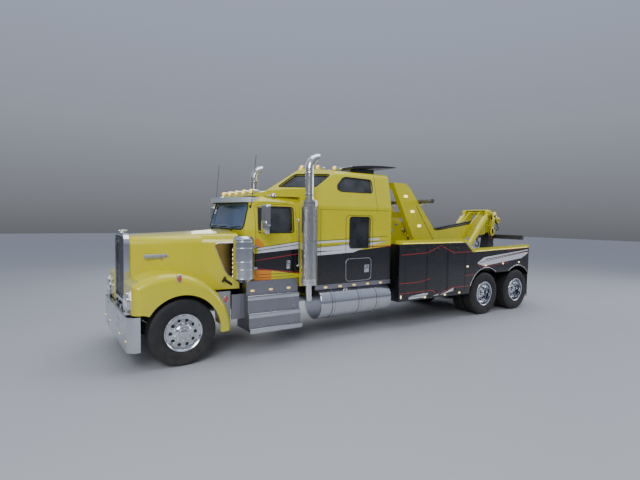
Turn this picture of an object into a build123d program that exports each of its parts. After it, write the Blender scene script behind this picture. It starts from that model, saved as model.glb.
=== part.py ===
from build123d import *
import os
from math import cos, hypot, radians, sin, sqrt

os.makedirs("parts", exist_ok=True)

# A heavy tow truck: a long-nosed conventional tractor with a sleeper, a recovery body,
# a boom, a light pylon and a folded underlift. Millimetres. +X is the truck's left side,
# +Y is the rear and +Z is up. The tyres stand on z = 0 and the middle of the length is y = 0.

# Wheels and axles
FRONT_AXLE_Y = -4400.0
WHEELBASE = 7530.0
TANDEM_SPACING = 1340.0
TYRE_RADIUS = 530.0
RIM_RADIUS = 290.0
STEER_TYRE_WIDTH = 300.0
DRIVE_TYRE_WIDTH = 285.0
KINGPIN_X = 900.0
DUAL_MIDDLE_X = 915.0
DUAL_SPACING = 330.0
TYRE_SEAT_GAP = 0.3
PIN_GAP = 0.05

# Frame
RAIL_X = 432.0
RAIL_FLANGE = 90.0
RAIL_WEB = 10.0
RAIL_LOW = 720.0
RAIL_HEIGHT = 270.0

# Body widths, from the middle to one side
HOOD_FRONT_HALF = 440.0
HOOD_REAR_HALF = 890.0
FENDER_HALF = 1220.0
CAB_HALF = 1020.0
SLEEPER_HALF = 1100.0
BODY_HALF = 1250.0

# Wall thicknesses
HOOD_WALL = 22.0
CAB_WALL = 60.0
SLEEPER_WALL = 55.0
GLASS = 10.0

# Gaps
DOOR_GAP = 7.0
GLASS_GAP = 0.3
SEAT_GAP = 0.3


def aft(distance):
    """The y of a place that far behind the front axle."""
    return FRONT_AXLE_Y + distance


def cross_plane(y):
    """A plane across the truck, drawn as X and Z, whose solids grow forward."""
    return Plane((0, y, 0), x_dir=(1, 0, 0), z_dir=(0, -1, 0))


def side_plane(x):
    """A plane along the truck, drawn as Y and Z, whose solids grow to the left."""
    return Plane.YZ.offset(x)


SIDES = (("left", 1), ("right", -1))
DRIVE_AXLES = (("front_drive", aft(WHEELBASE)), ("rear_drive", aft(WHEELBASE + TANDEM_SPACING)))
RAIL_MIDDLE_X = RAIL_X - RAIL_FLANGE / 2
RAIL_TOP = RAIL_LOW + RAIL_HEIGHT
RAIL_MIDDLE_Z = RAIL_LOW + RAIL_HEIGHT / 2
RAIL_FRONT = aft(-520)
RAIL_REAR = aft(8950)

# Heights of what the frame carries
CAB_LOW = 1250.0
SLEEPER_LOW = 1080.0
DECK_LOW = 1110.0

# Frame rails with cross members, and the mounts that carry the cab, sleeper and deck
CROSS_MEMBERS = [aft(-450), aft(2500), aft(3600), aft(4900), aft(6600), aft(8200), aft(8900)]
CROSS_MEMBER_LENGTH = 80.0
CROSS_MEMBER_HEIGHT = 190.0
# columns: y, height of what the mount carries
BODY_MOUNTS = [
    (aft(1400), CAB_LOW), (aft(2050), CAB_LOW), (aft(2700), SLEEPER_LOW), (aft(4100), SLEEPER_LOW),
    (aft(4900), DECK_LOW), (aft(6300), DECK_LOW), (aft(8200), DECK_LOW), (aft(8800), DECK_LOW),
]
MOUNT_LENGTH = 120.0
UNDERLIFT_Y = aft(9100)
UNDERLIFT_Z = 900.0
UNDERLIFT_PIN_RADIUS = 40.0
UNDERLIFT_EAR = 40.0
UNDERLIFT_EAR_GAP = 10.0
UNDERLIFT_EAR_RADIUS = 80.0
ARM_HALF = 130.0

with BuildPart() as frame_rails:
    with BuildSketch(cross_plane(RAIL_REAR)):
        with Locations((RAIL_MIDDLE_X, RAIL_MIDDLE_Z)):
            Rectangle(RAIL_FLANGE, RAIL_HEIGHT)
        with Locations((RAIL_MIDDLE_X - RAIL_WEB, RAIL_MIDDLE_Z)):
            Rectangle(RAIL_FLANGE, RAIL_HEIGHT - 2 * RAIL_WEB, mode=Mode.SUBTRACT)
    extrude(amount=RAIL_REAR - RAIL_FRONT)
    mirror(about=Plane.YZ)
    with Locations([(0, y, RAIL_MIDDLE_Z) for y in CROSS_MEMBERS]):
        Box(2 * (RAIL_X - RAIL_WEB), CROSS_MEMBER_LENGTH, CROSS_MEMBER_HEIGHT)
    for mount_y, carried_z in BODY_MOUNTS:
        with Locations((RAIL_MIDDLE_X, mount_y, (RAIL_TOP + carried_z) / 2),
                       (-RAIL_MIDDLE_X, mount_y, (RAIL_TOP + carried_z) / 2)):
            Box(RAIL_FLANGE, MOUNT_LENGTH, carried_z - RAIL_TOP)
    for ear_x in (ARM_HALF + UNDERLIFT_EAR_GAP, -ARM_HALF - UNDERLIFT_EAR_GAP - UNDERLIFT_EAR):
        with BuildSketch(side_plane(ear_x)):
            with Locations((UNDERLIFT_Y, UNDERLIFT_Z)):
                Circle(UNDERLIFT_EAR_RADIUS)
            with Locations(((CROSS_MEMBERS[-1] + UNDERLIFT_Y) / 2, UNDERLIFT_Z)):
                Rectangle(UNDERLIFT_Y - CROSS_MEMBERS[-1], 2 * UNDERLIFT_EAR_RADIUS)
            with Locations((UNDERLIFT_Y, UNDERLIFT_Z)):
                Circle(UNDERLIFT_PIN_RADIUS + PIN_GAP, mode=Mode.SUBTRACT)
        extrude(amount=UNDERLIFT_EAR)
frame_rails.part.label = "frame_rails"
export_step(frame_rails.part, "parts/frame_rails.step")

# Axles: a dropped front beam with kingpin eyes, two drive axles and their shafts
AXLE_TUBE_RADIUS = 70.0
AXLE_TUBE_END = 880.0
DRIVE_SPINDLE_RADIUS = 40.0
DRIVE_SPINDLE_END = 1000.0
DIFF_RADIUS = 185.0
DIFF_LENGTH = 280.0
SHAFT_RADIUS = 50.0
BEAM_HALF_LENGTH = 55.0
BEAM_EYE_RADIUS = 45.0
BEAM_EYE_HEIGHT = 160.0
KINGPIN_RADIUS = 25.0
BEAM_END = 870.0
SPRING_SEAT_Z = 520.0
GEARBOX_END = aft(2300)
SHAFT_START_Z = 700.0
DIFF_NOSE = 420.0


def round_bar(start, end, radius, mode=Mode.ADD):
    """A straight round bar from one point to another, added to or cut from the part being built."""
    axis = Vector(*end) - Vector(*start)
    with BuildSketch(Plane(start, z_dir=axis)) as section:
        Circle(radius)
    extrude(section.sketch, amount=axis.length, mode=mode)


with BuildPart() as axles:
    with BuildSketch(cross_plane(aft(BEAM_HALF_LENGTH))):
        with BuildLine():
            Polyline((0, 410), (520, 410), (790, 470), (BEAM_END, 470), (BEAM_END, 590),
                     (760, 590), (500, SPRING_SEAT_Z), (0, SPRING_SEAT_Z), close=True)
        make_face()
        mirror(about=Plane.YZ)
    extrude(amount=2 * BEAM_HALF_LENGTH)
    with Locations((KINGPIN_X, aft(0), TYRE_RADIUS), (-KINGPIN_X, aft(0), TYRE_RADIUS)):
        Cylinder(BEAM_EYE_RADIUS, BEAM_EYE_HEIGHT)
        Cylinder(KINGPIN_RADIUS + PIN_GAP, BEAM_EYE_HEIGHT, mode=Mode.SUBTRACT)
    for axle_name, axle_y in DRIVE_AXLES:
        round_bar((-AXLE_TUBE_END, axle_y, TYRE_RADIUS), (AXLE_TUBE_END, axle_y, TYRE_RADIUS),
                  AXLE_TUBE_RADIUS)
        round_bar((-DRIVE_SPINDLE_END, axle_y, TYRE_RADIUS), (DRIVE_SPINDLE_END, axle_y, TYRE_RADIUS),
                  DRIVE_SPINDLE_RADIUS)
        round_bar((0, axle_y - DIFF_LENGTH / 2, TYRE_RADIUS),
                  (0, axle_y + DIFF_LENGTH / 2, TYRE_RADIUS), DIFF_RADIUS)
        round_bar((0, axle_y - DIFF_NOSE, TYRE_RADIUS), (0, axle_y, TYRE_RADIUS), 1.6 * SHAFT_RADIUS)
    round_bar((0, GEARBOX_END + 5, SHAFT_START_Z), (0, DRIVE_AXLES[0][1] - DIFF_NOSE + 20, TYRE_RADIUS),
              SHAFT_RADIUS)
    round_bar((0, DRIVE_AXLES[0][1], TYRE_RADIUS), (0, DRIVE_AXLES[1][1], TYRE_RADIUS),
              SHAFT_RADIUS)
axles.part.label = "axles"
export_step(axles.part, "parts/axles.step")

# Springs: leaf packs at the front, and arms with air springs behind
SPRING_HALF = 650.0
LEAF_WIDTH = 88.0
LEAF_THICKNESS = 50.0
AIR_SPRING_RADIUS = 115.0
AIR_SPRING_AFT = 335.0
ARM_THICKNESS = 45.0
ARM_LOW_Z = 505.0
ARM_HIGH_Z = 625.0

with BuildPart() as suspension:
    with BuildSketch(side_plane(RAIL_MIDDLE_X - LEAF_WIDTH / 2)):
        with BuildLine():
            low = ThreePointArc((aft(-SPRING_HALF), 665), (aft(0), 600), (aft(SPRING_HALF), 665))
            high = ThreePointArc((aft(-SPRING_HALF), 665 + LEAF_THICKNESS / 2),
                                 (aft(0), 600 + 1.6 * LEAF_THICKNESS),
                                 (aft(SPRING_HALF), 665 + LEAF_THICKNESS / 2))
            Line(low @ 0, high @ 0)
            Line(low @ 1, high @ 1)
        make_face()
        with Locations((aft(0), (SPRING_SEAT_Z + 610) / 2)):
            Rectangle(160, 610 - SPRING_SEAT_Z)
        with Locations((aft(-SPRING_HALF + 25), (665 + RAIL_LOW) / 2),
                       (aft(SPRING_HALF - 25), (665 + RAIL_LOW) / 2)):
            Rectangle(50, RAIL_LOW - 665)
    extrude(amount=LEAF_WIDTH)
    for axle_name, axle_y in DRIVE_AXLES:
        with BuildSketch(side_plane(RAIL_MIDDLE_X - LEAF_WIDTH / 2)):
            with BuildLine():
                Polyline((axle_y - 560, RAIL_LOW), (axle_y - 560, ARM_HIGH_Z + 20),
                         (axle_y - 120, TYRE_RADIUS + AXLE_TUBE_RADIUS),
                         (axle_y + 120, TYRE_RADIUS + AXLE_TUBE_RADIUS),
                         (axle_y + 200, ARM_LOW_Z), (axle_y + 440, ARM_LOW_Z),
                         (axle_y + 440, ARM_LOW_Z + ARM_THICKNESS),
                         (axle_y + 230, ARM_LOW_Z + ARM_THICKNESS),
                         (axle_y + 150, ARM_HIGH_Z + ARM_THICKNESS),
                         (axle_y - 110, ARM_HIGH_Z + ARM_THICKNESS),
                         (axle_y - 470, RAIL_LOW), close=True)
            make_face()
        extrude(amount=LEAF_WIDTH)
        with BuildSketch(Plane.XY.offset(ARM_LOW_Z + ARM_THICKNESS)):
            with Locations((RAIL_MIDDLE_X, axle_y + AIR_SPRING_AFT)):
                Circle(AIR_SPRING_RADIUS)
        extrude(amount=RAIL_LOW - ARM_LOW_Z - ARM_THICKNESS)
    mirror(about=Plane.YZ)
suspension.part.label = "suspension"
export_step(suspension.part, "parts/suspension.step")

# Engine, gearbox and radiator as plain masses at their places
ENGINE_HALF = 300.0
with BuildPart() as engine:
    with Locations((0, aft(330), 1170)):
        Box(2 * ENGINE_HALF, 1240, 1040)
    with Locations((0, aft(330), 1760)):
        Box(1.2 * ENGINE_HALF, 1100, 160)
    with BuildSketch(cross_plane(GEARBOX_END)):
        with Locations((0, SHAFT_START_Z + 130)):
            Circle(125)
    with BuildSketch(cross_plane(aft(930))):
        with Locations((0, 880)):
            Circle(200)
    loft()
    with Locations((0, aft(-560), 1420)):
        Box(820, 90, 860)
    with Locations((0, aft(-405), 1420)):
        Cylinder(120, 230, rotation=(90, 0, 0))
engine.part.label = "engine"
export_step(engine.part, "parts/engine.step")

# Bumper: a tall plate with canted corners and boxed returns, on brackets from the rails
BUMPER_FRONT = aft(-820)
BUMPER_LOW = 320.0
BUMPER_TOP = 850.0
BUMPER_PLATE = 12.0
BUMPER_RETURN = aft(-640)
BUMPER_CORNER = 90.0
BUMPER_FLANGE = 90.0
BUMPER_FLANGE_HALF = 640.0
HOOD_HINGE_X = 280.0
HOOD_HINGE_Y = aft(-740)
HOOD_HINGE_Z = 890.0
HOOD_EAR = 25.0
HOOD_EAR_GAP = 6.0
HOOD_EAR_RADIUS = 22.0
HOOD_PIN_RADIUS = 12.0

with BuildPart() as bumper:
    with BuildSketch(Plane.XY.offset(BUMPER_LOW)):
        with BuildLine():
            Polyline((0, BUMPER_FRONT), (FENDER_HALF - BUMPER_CORNER, BUMPER_FRONT),
                     (FENDER_HALF, BUMPER_FRONT + BUMPER_CORNER), (FENDER_HALF, BUMPER_RETURN))
            offset(amount=BUMPER_PLATE, side=Side.LEFT, closed=True)
        make_face()
        mirror(about=Plane.YZ)
    extrude(amount=BUMPER_TOP - BUMPER_LOW)
    with Locations((0, BUMPER_FRONT + BUMPER_PLATE + BUMPER_FLANGE / 2, BUMPER_TOP - BUMPER_PLATE / 2),
                   (0, BUMPER_FRONT + BUMPER_PLATE + BUMPER_FLANGE / 2, BUMPER_LOW + BUMPER_PLATE / 2)):
        Box(2 * BUMPER_FLANGE_HALF, BUMPER_FLANGE, BUMPER_PLATE)
    hinge_pin_length = 2 * HOOD_EAR + HOOD_EAR_GAP
    for ear_x, pin_x in ((HOOD_HINGE_X, HOOD_HINGE_X),
                         (-HOOD_HINGE_X - HOOD_EAR, -HOOD_HINGE_X - hinge_pin_length)):
        with BuildSketch(side_plane(ear_x)):
            with Locations((HOOD_HINGE_Y, HOOD_HINGE_Z)):
                Circle(HOOD_EAR_RADIUS)
            with Locations((HOOD_HINGE_Y, (HOOD_HINGE_Z + BUMPER_TOP - BUMPER_PLATE) / 2)):
                Rectangle(2 * HOOD_EAR_RADIUS, HOOD_HINGE_Z - BUMPER_TOP + BUMPER_PLATE)
        extrude(amount=HOOD_EAR)
        round_bar((pin_x, HOOD_HINGE_Y, HOOD_HINGE_Z), (pin_x + hinge_pin_length, HOOD_HINGE_Y, HOOD_HINGE_Z),
                  HOOD_PIN_RADIUS)
    with Locations((RAIL_MIDDLE_X, (BUMPER_FRONT + BUMPER_PLATE + RAIL_FRONT) / 2, RAIL_MIDDLE_Z - 60),
                   (-RAIL_MIDDLE_X, (BUMPER_FRONT + BUMPER_PLATE + RAIL_FRONT) / 2,
                    RAIL_MIDDLE_Z - 60)):
        Box(RAIL_FLANGE, RAIL_FRONT - BUMPER_FRONT - BUMPER_PLATE, 110)
bumper.part.label = "bumper"
export_step(bumper.part, "parts/bumper.step")

# Hood with its fenders: one moulding, open underneath, behind and over the wheels
HOOD_FRONT = aft(-700)
HOOD_REAR = aft(1055)
# columns: y, half width, bottom z, shoulder z, top z, shoulder radius
HOOD_SECTIONS = [
    (HOOD_FRONT, HOOD_FRONT_HALF, 940, 1990, 2040, 150),
    (aft(480), 640, 1080, 2040, 2095, 170),
    (HOOD_REAR, HOOD_REAR_HALF, 1110, 2060, 2140, 200),
]
FENDER_FRONT = aft(-750)
FENDER_LOW = 870.0
FENDER_TAIL_LOW = 470.0
FENDER_TOE_Y = aft(620)
FENDER_INNER_X = 445.0
FENDER_CROWN = 130.0
CROWN_RADIUS = 1005.0
CROWN_CENTRE_Y = aft(-200)
CROWN_CENTRE_Z = 465.0
ARCH_LIP_RADIUS = 600.0
ARCH_RADIUS = 640.0
ARCH_LIP_X = 1190.0
GRILLE_HALF = 480.0
GRILLE_BACK = aft(-660)
GRILLE_LOW = 930.0
CLEANER_X = 1170.0
CLEANER_Y = aft(1010)
CLEANER_RADIUS = 175.0


def hood_form(inset):
    """The bonnet's main form, lofted through three sections, drawn in by the inset."""
    with BuildPart() as form:
        for y, half, bottom, shoulder, top, radius in HOOD_SECTIONS:
            reach = 0 if inset == 0 else (2 * HOOD_WALL if y > aft(0) else -2 * HOOD_WALL)
            with BuildSketch(cross_plane(y + reach)) as section:
                with BuildLine():
                    wall = Line((half - inset, bottom - 3 * inset), (half - inset, shoulder - inset))
                    crown = ThreePointArc(wall @ 1, (0, top - inset), (inset - half, shoulder - inset))
                    Line(crown @ 1, (inset - half, bottom - 3 * inset))
                    Line((inset - half, bottom - 3 * inset), wall @ 0)
                make_face()
                fillet(section.vertices().group_by(Axis.Y)[-1], radius - inset)
        loft(ruled=True)
    return form.part


def fender_form(inset):
    """A fender's form out to its rounded outer crown, drawn in by the inset."""
    radius = CROWN_RADIUS - inset
    tail_y = CROWN_CENTRE_Y + sqrt(radius ** 2 - (FENDER_TAIL_LOW - inset - CROWN_CENTRE_Z) ** 2)
    front_y = FENDER_FRONT + inset
    front_top = CROWN_CENTRE_Z + sqrt(radius ** 2 - (front_y - CROWN_CENTRE_Y) ** 2)
    with BuildPart() as form:
        with BuildSketch(side_plane(FENDER_INNER_X - 4 * inset)):
            with BuildLine():
                front = Line((front_y, FENDER_LOW - inset), (front_y, front_top))
                crown = ThreePointArc(front @ 1, (CROWN_CENTRE_Y, CROWN_CENTRE_Z + radius),
                                      (tail_y, FENDER_TAIL_LOW - inset))
                Polyline(crown @ 1, (FENDER_TOE_Y, FENDER_TAIL_LOW - inset),
                         (FENDER_FRONT + 160, FENDER_LOW - inset), front @ 0)
            make_face()
        extrude(amount=FENDER_HALF - FENDER_INNER_X + 3 * inset)
        outer_face = form.faces().sort_by(Axis.X)[-1]
        fillet(outer_face.edges().sort_by(Axis.Z)[-2:], FENDER_CROWN - inset)
    return form.part


hood_outside = hood_form(0)
hood_inside = hood_form(HOOD_WALL)
fender_outside = fender_form(0)
fender_inside = fender_form(HOOD_WALL)

with BuildPart() as hood:
    add(hood_outside)
    add(fender_outside)
    add(fender_outside.mirror(Plane.YZ))
    add(hood_inside, mode=Mode.SUBTRACT)
    add(fender_inside, mode=Mode.SUBTRACT)
    add(fender_inside.mirror(Plane.YZ), mode=Mode.SUBTRACT)
    with Locations((0, aft(0), TYRE_RADIUS)):
        Cylinder(ARCH_RADIUS, 2 * ARCH_LIP_X, rotation=(0, 90, 0), mode=Mode.SUBTRACT)
        Cylinder(ARCH_LIP_RADIUS, 3 * FENDER_HALF, rotation=(0, 90, 0), mode=Mode.SUBTRACT)
    with BuildSketch(cross_plane(GRILLE_BACK)):
        with Locations((0, GRILLE_LOW + 1000)):
            Rectangle(2 * GRILLE_HALF, 2000)
    extrude(amount=300, mode=Mode.SUBTRACT)
hood.part.label = "hood"
export_step(hood.part, "parts/hood.step")

# Grille: a chrome shell with vertical bars in front of the radiator
GRILLE_TOP = 2075.0
GRILLE_DEPTH = 80.0
GRILLE_FRAME = 55.0
GRILLE_CORNER = 190.0
GRILLE_BAR = 12.0
GRILLE_BAR_DEPTH = 28.0
GRILLE_BAR_COUNT = 19
GRILLE_BAR_PITCH = 2 * (GRILLE_HALF - GRILLE_FRAME) / (GRILLE_BAR_COUNT + 1)
GRILLE_MIDDLE_Z = (GRILLE_LOW + GRILLE_TOP) / 2

with BuildSketch(cross_plane(GRILLE_BACK)) as grille_outline:
    with Locations((0, GRILLE_MIDDLE_Z)):
        Rectangle(2 * GRILLE_HALF, GRILLE_TOP - GRILLE_LOW)
    fillet(grille_outline.vertices().group_by(Axis.Y)[-1], GRILLE_CORNER)
with BuildPart() as grille:
    with BuildSketch(cross_plane(GRILLE_BACK)):
        add(grille_outline.sketch_local)
        offset(grille_outline.sketch_local, amount=-GRILLE_FRAME, mode=Mode.SUBTRACT)
    extrude(amount=GRILLE_DEPTH)
    with BuildSketch(cross_plane(GRILLE_BACK - 20)):
        with Locations((0, GRILLE_MIDDLE_Z)):
            with GridLocations(GRILLE_BAR_PITCH, 1, GRILLE_BAR_COUNT, 1):
                Rectangle(GRILLE_BAR, GRILLE_TOP - GRILLE_LOW - GRILLE_FRAME)
        offset(grille_outline.sketch_local, amount=-GRILLE_FRAME / 2, mode=Mode.INTERSECT)
    extrude(amount=GRILLE_BAR_DEPTH)
    for ear_x in (HOOD_HINGE_X + HOOD_EAR + HOOD_EAR_GAP, -HOOD_HINGE_X - 2 * HOOD_EAR - HOOD_EAR_GAP):
        with BuildSketch(side_plane(ear_x)):
            with Locations((HOOD_HINGE_Y, HOOD_HINGE_Z)):
                Circle(HOOD_EAR_RADIUS)
            with Locations((HOOD_HINGE_Y + HOOD_EAR_RADIUS, (HOOD_HINGE_Z + GRILLE_LOW + 20) / 2)):
                Rectangle(2 * HOOD_EAR_RADIUS, GRILLE_LOW + 20 - HOOD_HINGE_Z)
            with Locations((HOOD_HINGE_Y, HOOD_HINGE_Z)):
                Circle(HOOD_PIN_RADIUS + PIN_GAP, mode=Mode.SUBTRACT)
        extrude(amount=HOOD_EAR)
grille.part.label = "grille"
export_step(grille.part, "parts/grille.step")

# Headlight pods on the fender fronts, with turn lamps on top, and the fender marker lamps
POD_LEFT = 700.0
POD_RIGHT = 1080.0
POD_LOW = 905.0
POD_TOP = 1130.0
POD_FRONT = aft(-800)
LAMP_SIZE = 150.0

with BuildPart() as headlights:
    with BuildSketch(cross_plane(FENDER_FRONT)):
        with Locations(((POD_LEFT + POD_RIGHT) / 2, (POD_LOW + POD_TOP) / 2)):
            RectangleRounded(POD_RIGHT - POD_LEFT, POD_TOP - POD_LOW, 60)
    extrude(amount=FENDER_FRONT - POD_FRONT)
    with BuildSketch(cross_plane(POD_FRONT)):
        with Locations(((POD_LEFT + POD_RIGHT) / 2, (POD_LOW + POD_TOP) / 2)):
            with GridLocations(1.12 * LAMP_SIZE, 1, 2, 1):
                RectangleRounded(LAMP_SIZE, LAMP_SIZE, 20)
    extrude(amount=-12, mode=Mode.SUBTRACT)
    with Locations((POD_RIGHT - 90, (POD_FRONT + FENDER_FRONT) / 2 - 3, POD_TOP + 35)):
        Cylinder(38, FENDER_FRONT - POD_FRONT - 6, rotation=(90, 0, 0))
    mirror(about=Plane.YZ)
headlights.part.label = "headlights"
export_step(headlights.part, "parts/headlights.step")

# Cab: a shell with a raked, bowed windscreen wall, door openings and an opening behind
CAB_REAR = aft(2200)
# columns: z, windscreen middle y, corner y, corner x, side start y, side x
CAB_SECTIONS = [
    (CAB_LOW, aft(1070), aft(1140), 880, aft(1280), CAB_HALF),
    (2140, aft(1070), aft(1140), 880, aft(1280), CAB_HALF),
    (2650, aft(1190), aft(1270), 840, aft(1370), CAB_HALF - 45),
    (2740, aft(1330), aft(1390), 780, aft(1450), CAB_HALF - 130),
]
DOOR_FRONT = aft(1300)
DOOR_REAR = aft(2130)
DOOR_LOW = 1285.0
DOOR_TOP = 2600.0
DOOR_CORNER = 90.0
DOOR_WAY_X = CAB_HALF - 115
WINDSCREEN_HALF = 770.0
WINDSCREEN_LOW = 2205.0
WINDSCREEN_TOP = 2590.0
WINDSCREEN_CORNER = 60.0
PASSAGE_HALF = 430.0
PASSAGE_LOW = 1420.0
PASSAGE_TOP = 2580.0


def cab_form(inset):
    """The cab's form through four level sections, drawn in by the inset."""
    with BuildPart() as form:
        for index, (z, middle_y, corner_y, corner_x, side_y, side_x) in enumerate(CAB_SECTIONS):
            level = z + inset if index == 0 else (z - inset if index == 3 else z)
            with BuildSketch(Plane.XY.offset(level)):
                with BuildLine():
                    bow = ThreePointArc((inset - corner_x, corner_y + inset), (0, middle_y + inset),
                                        (corner_x - inset, corner_y + inset))
                    Polyline(bow @ 1, (side_x - inset, side_y + inset / 2),
                             (side_x - inset, CAB_REAR - inset), (inset - side_x, CAB_REAR - inset),
                             (inset - side_x, side_y + inset / 2), bow @ 0)
                make_face()
        loft(ruled=True)
    return form.part


def rounded_side_opening(y0, y1, z0, z1, radius, x0, x1):
    """A block with rounded corners that crosses a side wall from x0 to x1."""
    with BuildPart() as block:
        with BuildSketch(side_plane(x0)):
            with Locations(((y0 + y1) / 2, (z0 + z1) / 2)):
                RectangleRounded(y1 - y0, z1 - z0, radius)
        extrude(amount=x1 - x0)
    return block.part


def rounded_cross_opening(half, z0, z1, radius, y0, y1):
    """A block with rounded corners that crosses a front or back wall from y0 to y1."""
    with BuildPart() as block:
        with BuildSketch(cross_plane(y1)):
            with Locations((0, (z0 + z1) / 2)):
                RectangleRounded(2 * half, z1 - z0, radius)
        extrude(amount=y1 - y0)
    return block.part


cab_outside = cab_form(0)
cab_inside = cab_form(CAB_WALL)
door_way = rounded_side_opening(DOOR_FRONT, DOOR_REAR, DOOR_LOW, DOOR_TOP, DOOR_CORNER,
                                DOOR_WAY_X, CAB_HALF + 100)
windscreen_hole = rounded_cross_opening(WINDSCREEN_HALF, WINDSCREEN_LOW, WINDSCREEN_TOP,
                                        WINDSCREEN_CORNER, aft(950), aft(1500))
passage = rounded_cross_opening(PASSAGE_HALF, PASSAGE_LOW, PASSAGE_TOP, 80, aft(2050), aft(2400))

with BuildPart() as cab_shell:
    add(cab_outside)
    add(cab_inside, mode=Mode.SUBTRACT)
    add(door_way, mode=Mode.SUBTRACT)
    add(door_way.mirror(Plane.YZ), mode=Mode.SUBTRACT)
    add(windscreen_hole, mode=Mode.SUBTRACT)
    add(passage, mode=Mode.SUBTRACT)
cab_shell.part.label = "cab_shell"
export_step(cab_shell.part, "parts/cab_shell.step")

# Doors cut from the same cab wall, each with its window opening and pane
DOOR_GLASS_FRONT = DOOR_FRONT + 70
DOOR_GLASS_REAR = DOOR_REAR - 70
DOOR_GLASS_LOW = 2100.0
DOOR_GLASS_TOP = 2545.0
GLASS_CORNER = 60.0

for side, sign in SIDES:
    with BuildPart() as door:
        add(cab_outside)
        add(cab_inside, mode=Mode.SUBTRACT)
        add(rounded_side_opening(DOOR_FRONT + DOOR_GAP, DOOR_REAR - DOOR_GAP, DOOR_LOW + DOOR_GAP,
                                 DOOR_TOP - DOOR_GAP, DOOR_CORNER - DOOR_GAP, DOOR_WAY_X,
                                 CAB_HALF + 100), mode=Mode.INTERSECT)
        add(rounded_side_opening(DOOR_GLASS_FRONT, DOOR_GLASS_REAR, DOOR_GLASS_LOW, DOOR_GLASS_TOP,
                                 GLASS_CORNER, DOOR_WAY_X, CAB_HALF + 100), mode=Mode.SUBTRACT)
        if sign < 0:
            mirror(about=Plane.YZ, mode=Mode.REPLACE)
    door.part.label = f"door_{side}"
    export_step(door.part, f"parts/door_{side}.step")
    with BuildPart() as pane:
        add(cab_form(CAB_WALL / 2 - GLASS / 2))
        add(cab_form(CAB_WALL / 2 + GLASS / 2), mode=Mode.SUBTRACT)
        add(rounded_side_opening(DOOR_GLASS_FRONT + GLASS_GAP, DOOR_GLASS_REAR - GLASS_GAP,
                                 DOOR_GLASS_LOW + GLASS_GAP, DOOR_GLASS_TOP - GLASS_GAP,
                                 GLASS_CORNER - GLASS_GAP, DOOR_WAY_X, CAB_HALF + 100),
            mode=Mode.INTERSECT)
        if sign < 0:
            mirror(about=Plane.YZ, mode=Mode.REPLACE)
    pane.part.label = f"door_glass_{side}"
    export_step(pane.part, f"parts/door_glass_{side}.step")

# Sleeper: a shell whose raised roof has a front of two swept-back planes, over a cap on the cab
SLEEPER_FRONT = CAB_REAR + 5
SLEEPER_REAR = aft(4420)
SLEEPER_ROOF_MIDDLE = 3390.0
SLEEPER_ROOF_EDGE = 3300.0
SLEEPER_SEAM_Z = 2600.0
SLEEPER_ROOF_HALF = 960.0
SLEEPER_NECK = aft(2560)
CAP_LOW = 2745.0
CAP_FRONT = aft(1300)
CAP_KNEE = (aft(1560), 2840.0)
CAP_FOOT_Z = 2890.0
CAP_REAR = (aft(2700), 2925.0)
# The front planes: y on the middle line at a height, then y gained per x and per z
NOSE_Z = 2980.0
NOSE_Y = aft(2110)
NOSE_SWEEP = 0.49
NOSE_RAKE = 1.59
NOSE_STEEPNESS = sqrt(1 + NOSE_SWEEP ** 2 + NOSE_RAKE ** 2)


def nose_y(z):
    """Where the two front planes meet, on the middle line at that height."""
    return NOSE_Y + NOSE_RAKE * (z - NOSE_Z)


def ahead_of_nose(inset):
    """What the swept-back front leaves off above the cap, for a form drawn in by the inset."""
    low, rise, reach = 2500.0, 1100.0, SLEEPER_HALF + 100
    middle = nose_y(low) + inset * NOSE_STEEPNESS
    with BuildPart() as cut:
        with BuildSketch(Plane.XY.offset(low)):
            with BuildLine():
                Polyline((0, middle), (reach, middle + NOSE_SWEEP * reach), (reach, middle - 3000),
                         (-reach, middle - 3000), (-reach, middle + NOSE_SWEEP * reach), close=True)
            make_face()
        extrude(amount=rise * sqrt(1 + NOSE_RAKE ** 2), dir=(0, NOSE_RAKE, 1))
        with BuildSketch(side_plane(-reach)):
            with BuildLine():
                Polyline((CAP_FRONT - 200, CAP_FOOT_Z - inset), (nose_y(CAP_FOOT_Z), CAP_FOOT_Z - inset),
                         (CAP_REAR[0], CAP_REAR[1] - inset), (CAP_REAR[0] + 900, CAP_REAR[1] - inset),
                         (CAP_REAR[0] + 900, low + rise), (CAP_FRONT - 200, low + rise), close=True)
            make_face()
        extrude(amount=2 * reach, mode=Mode.INTERSECT)
    return cut.part


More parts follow.
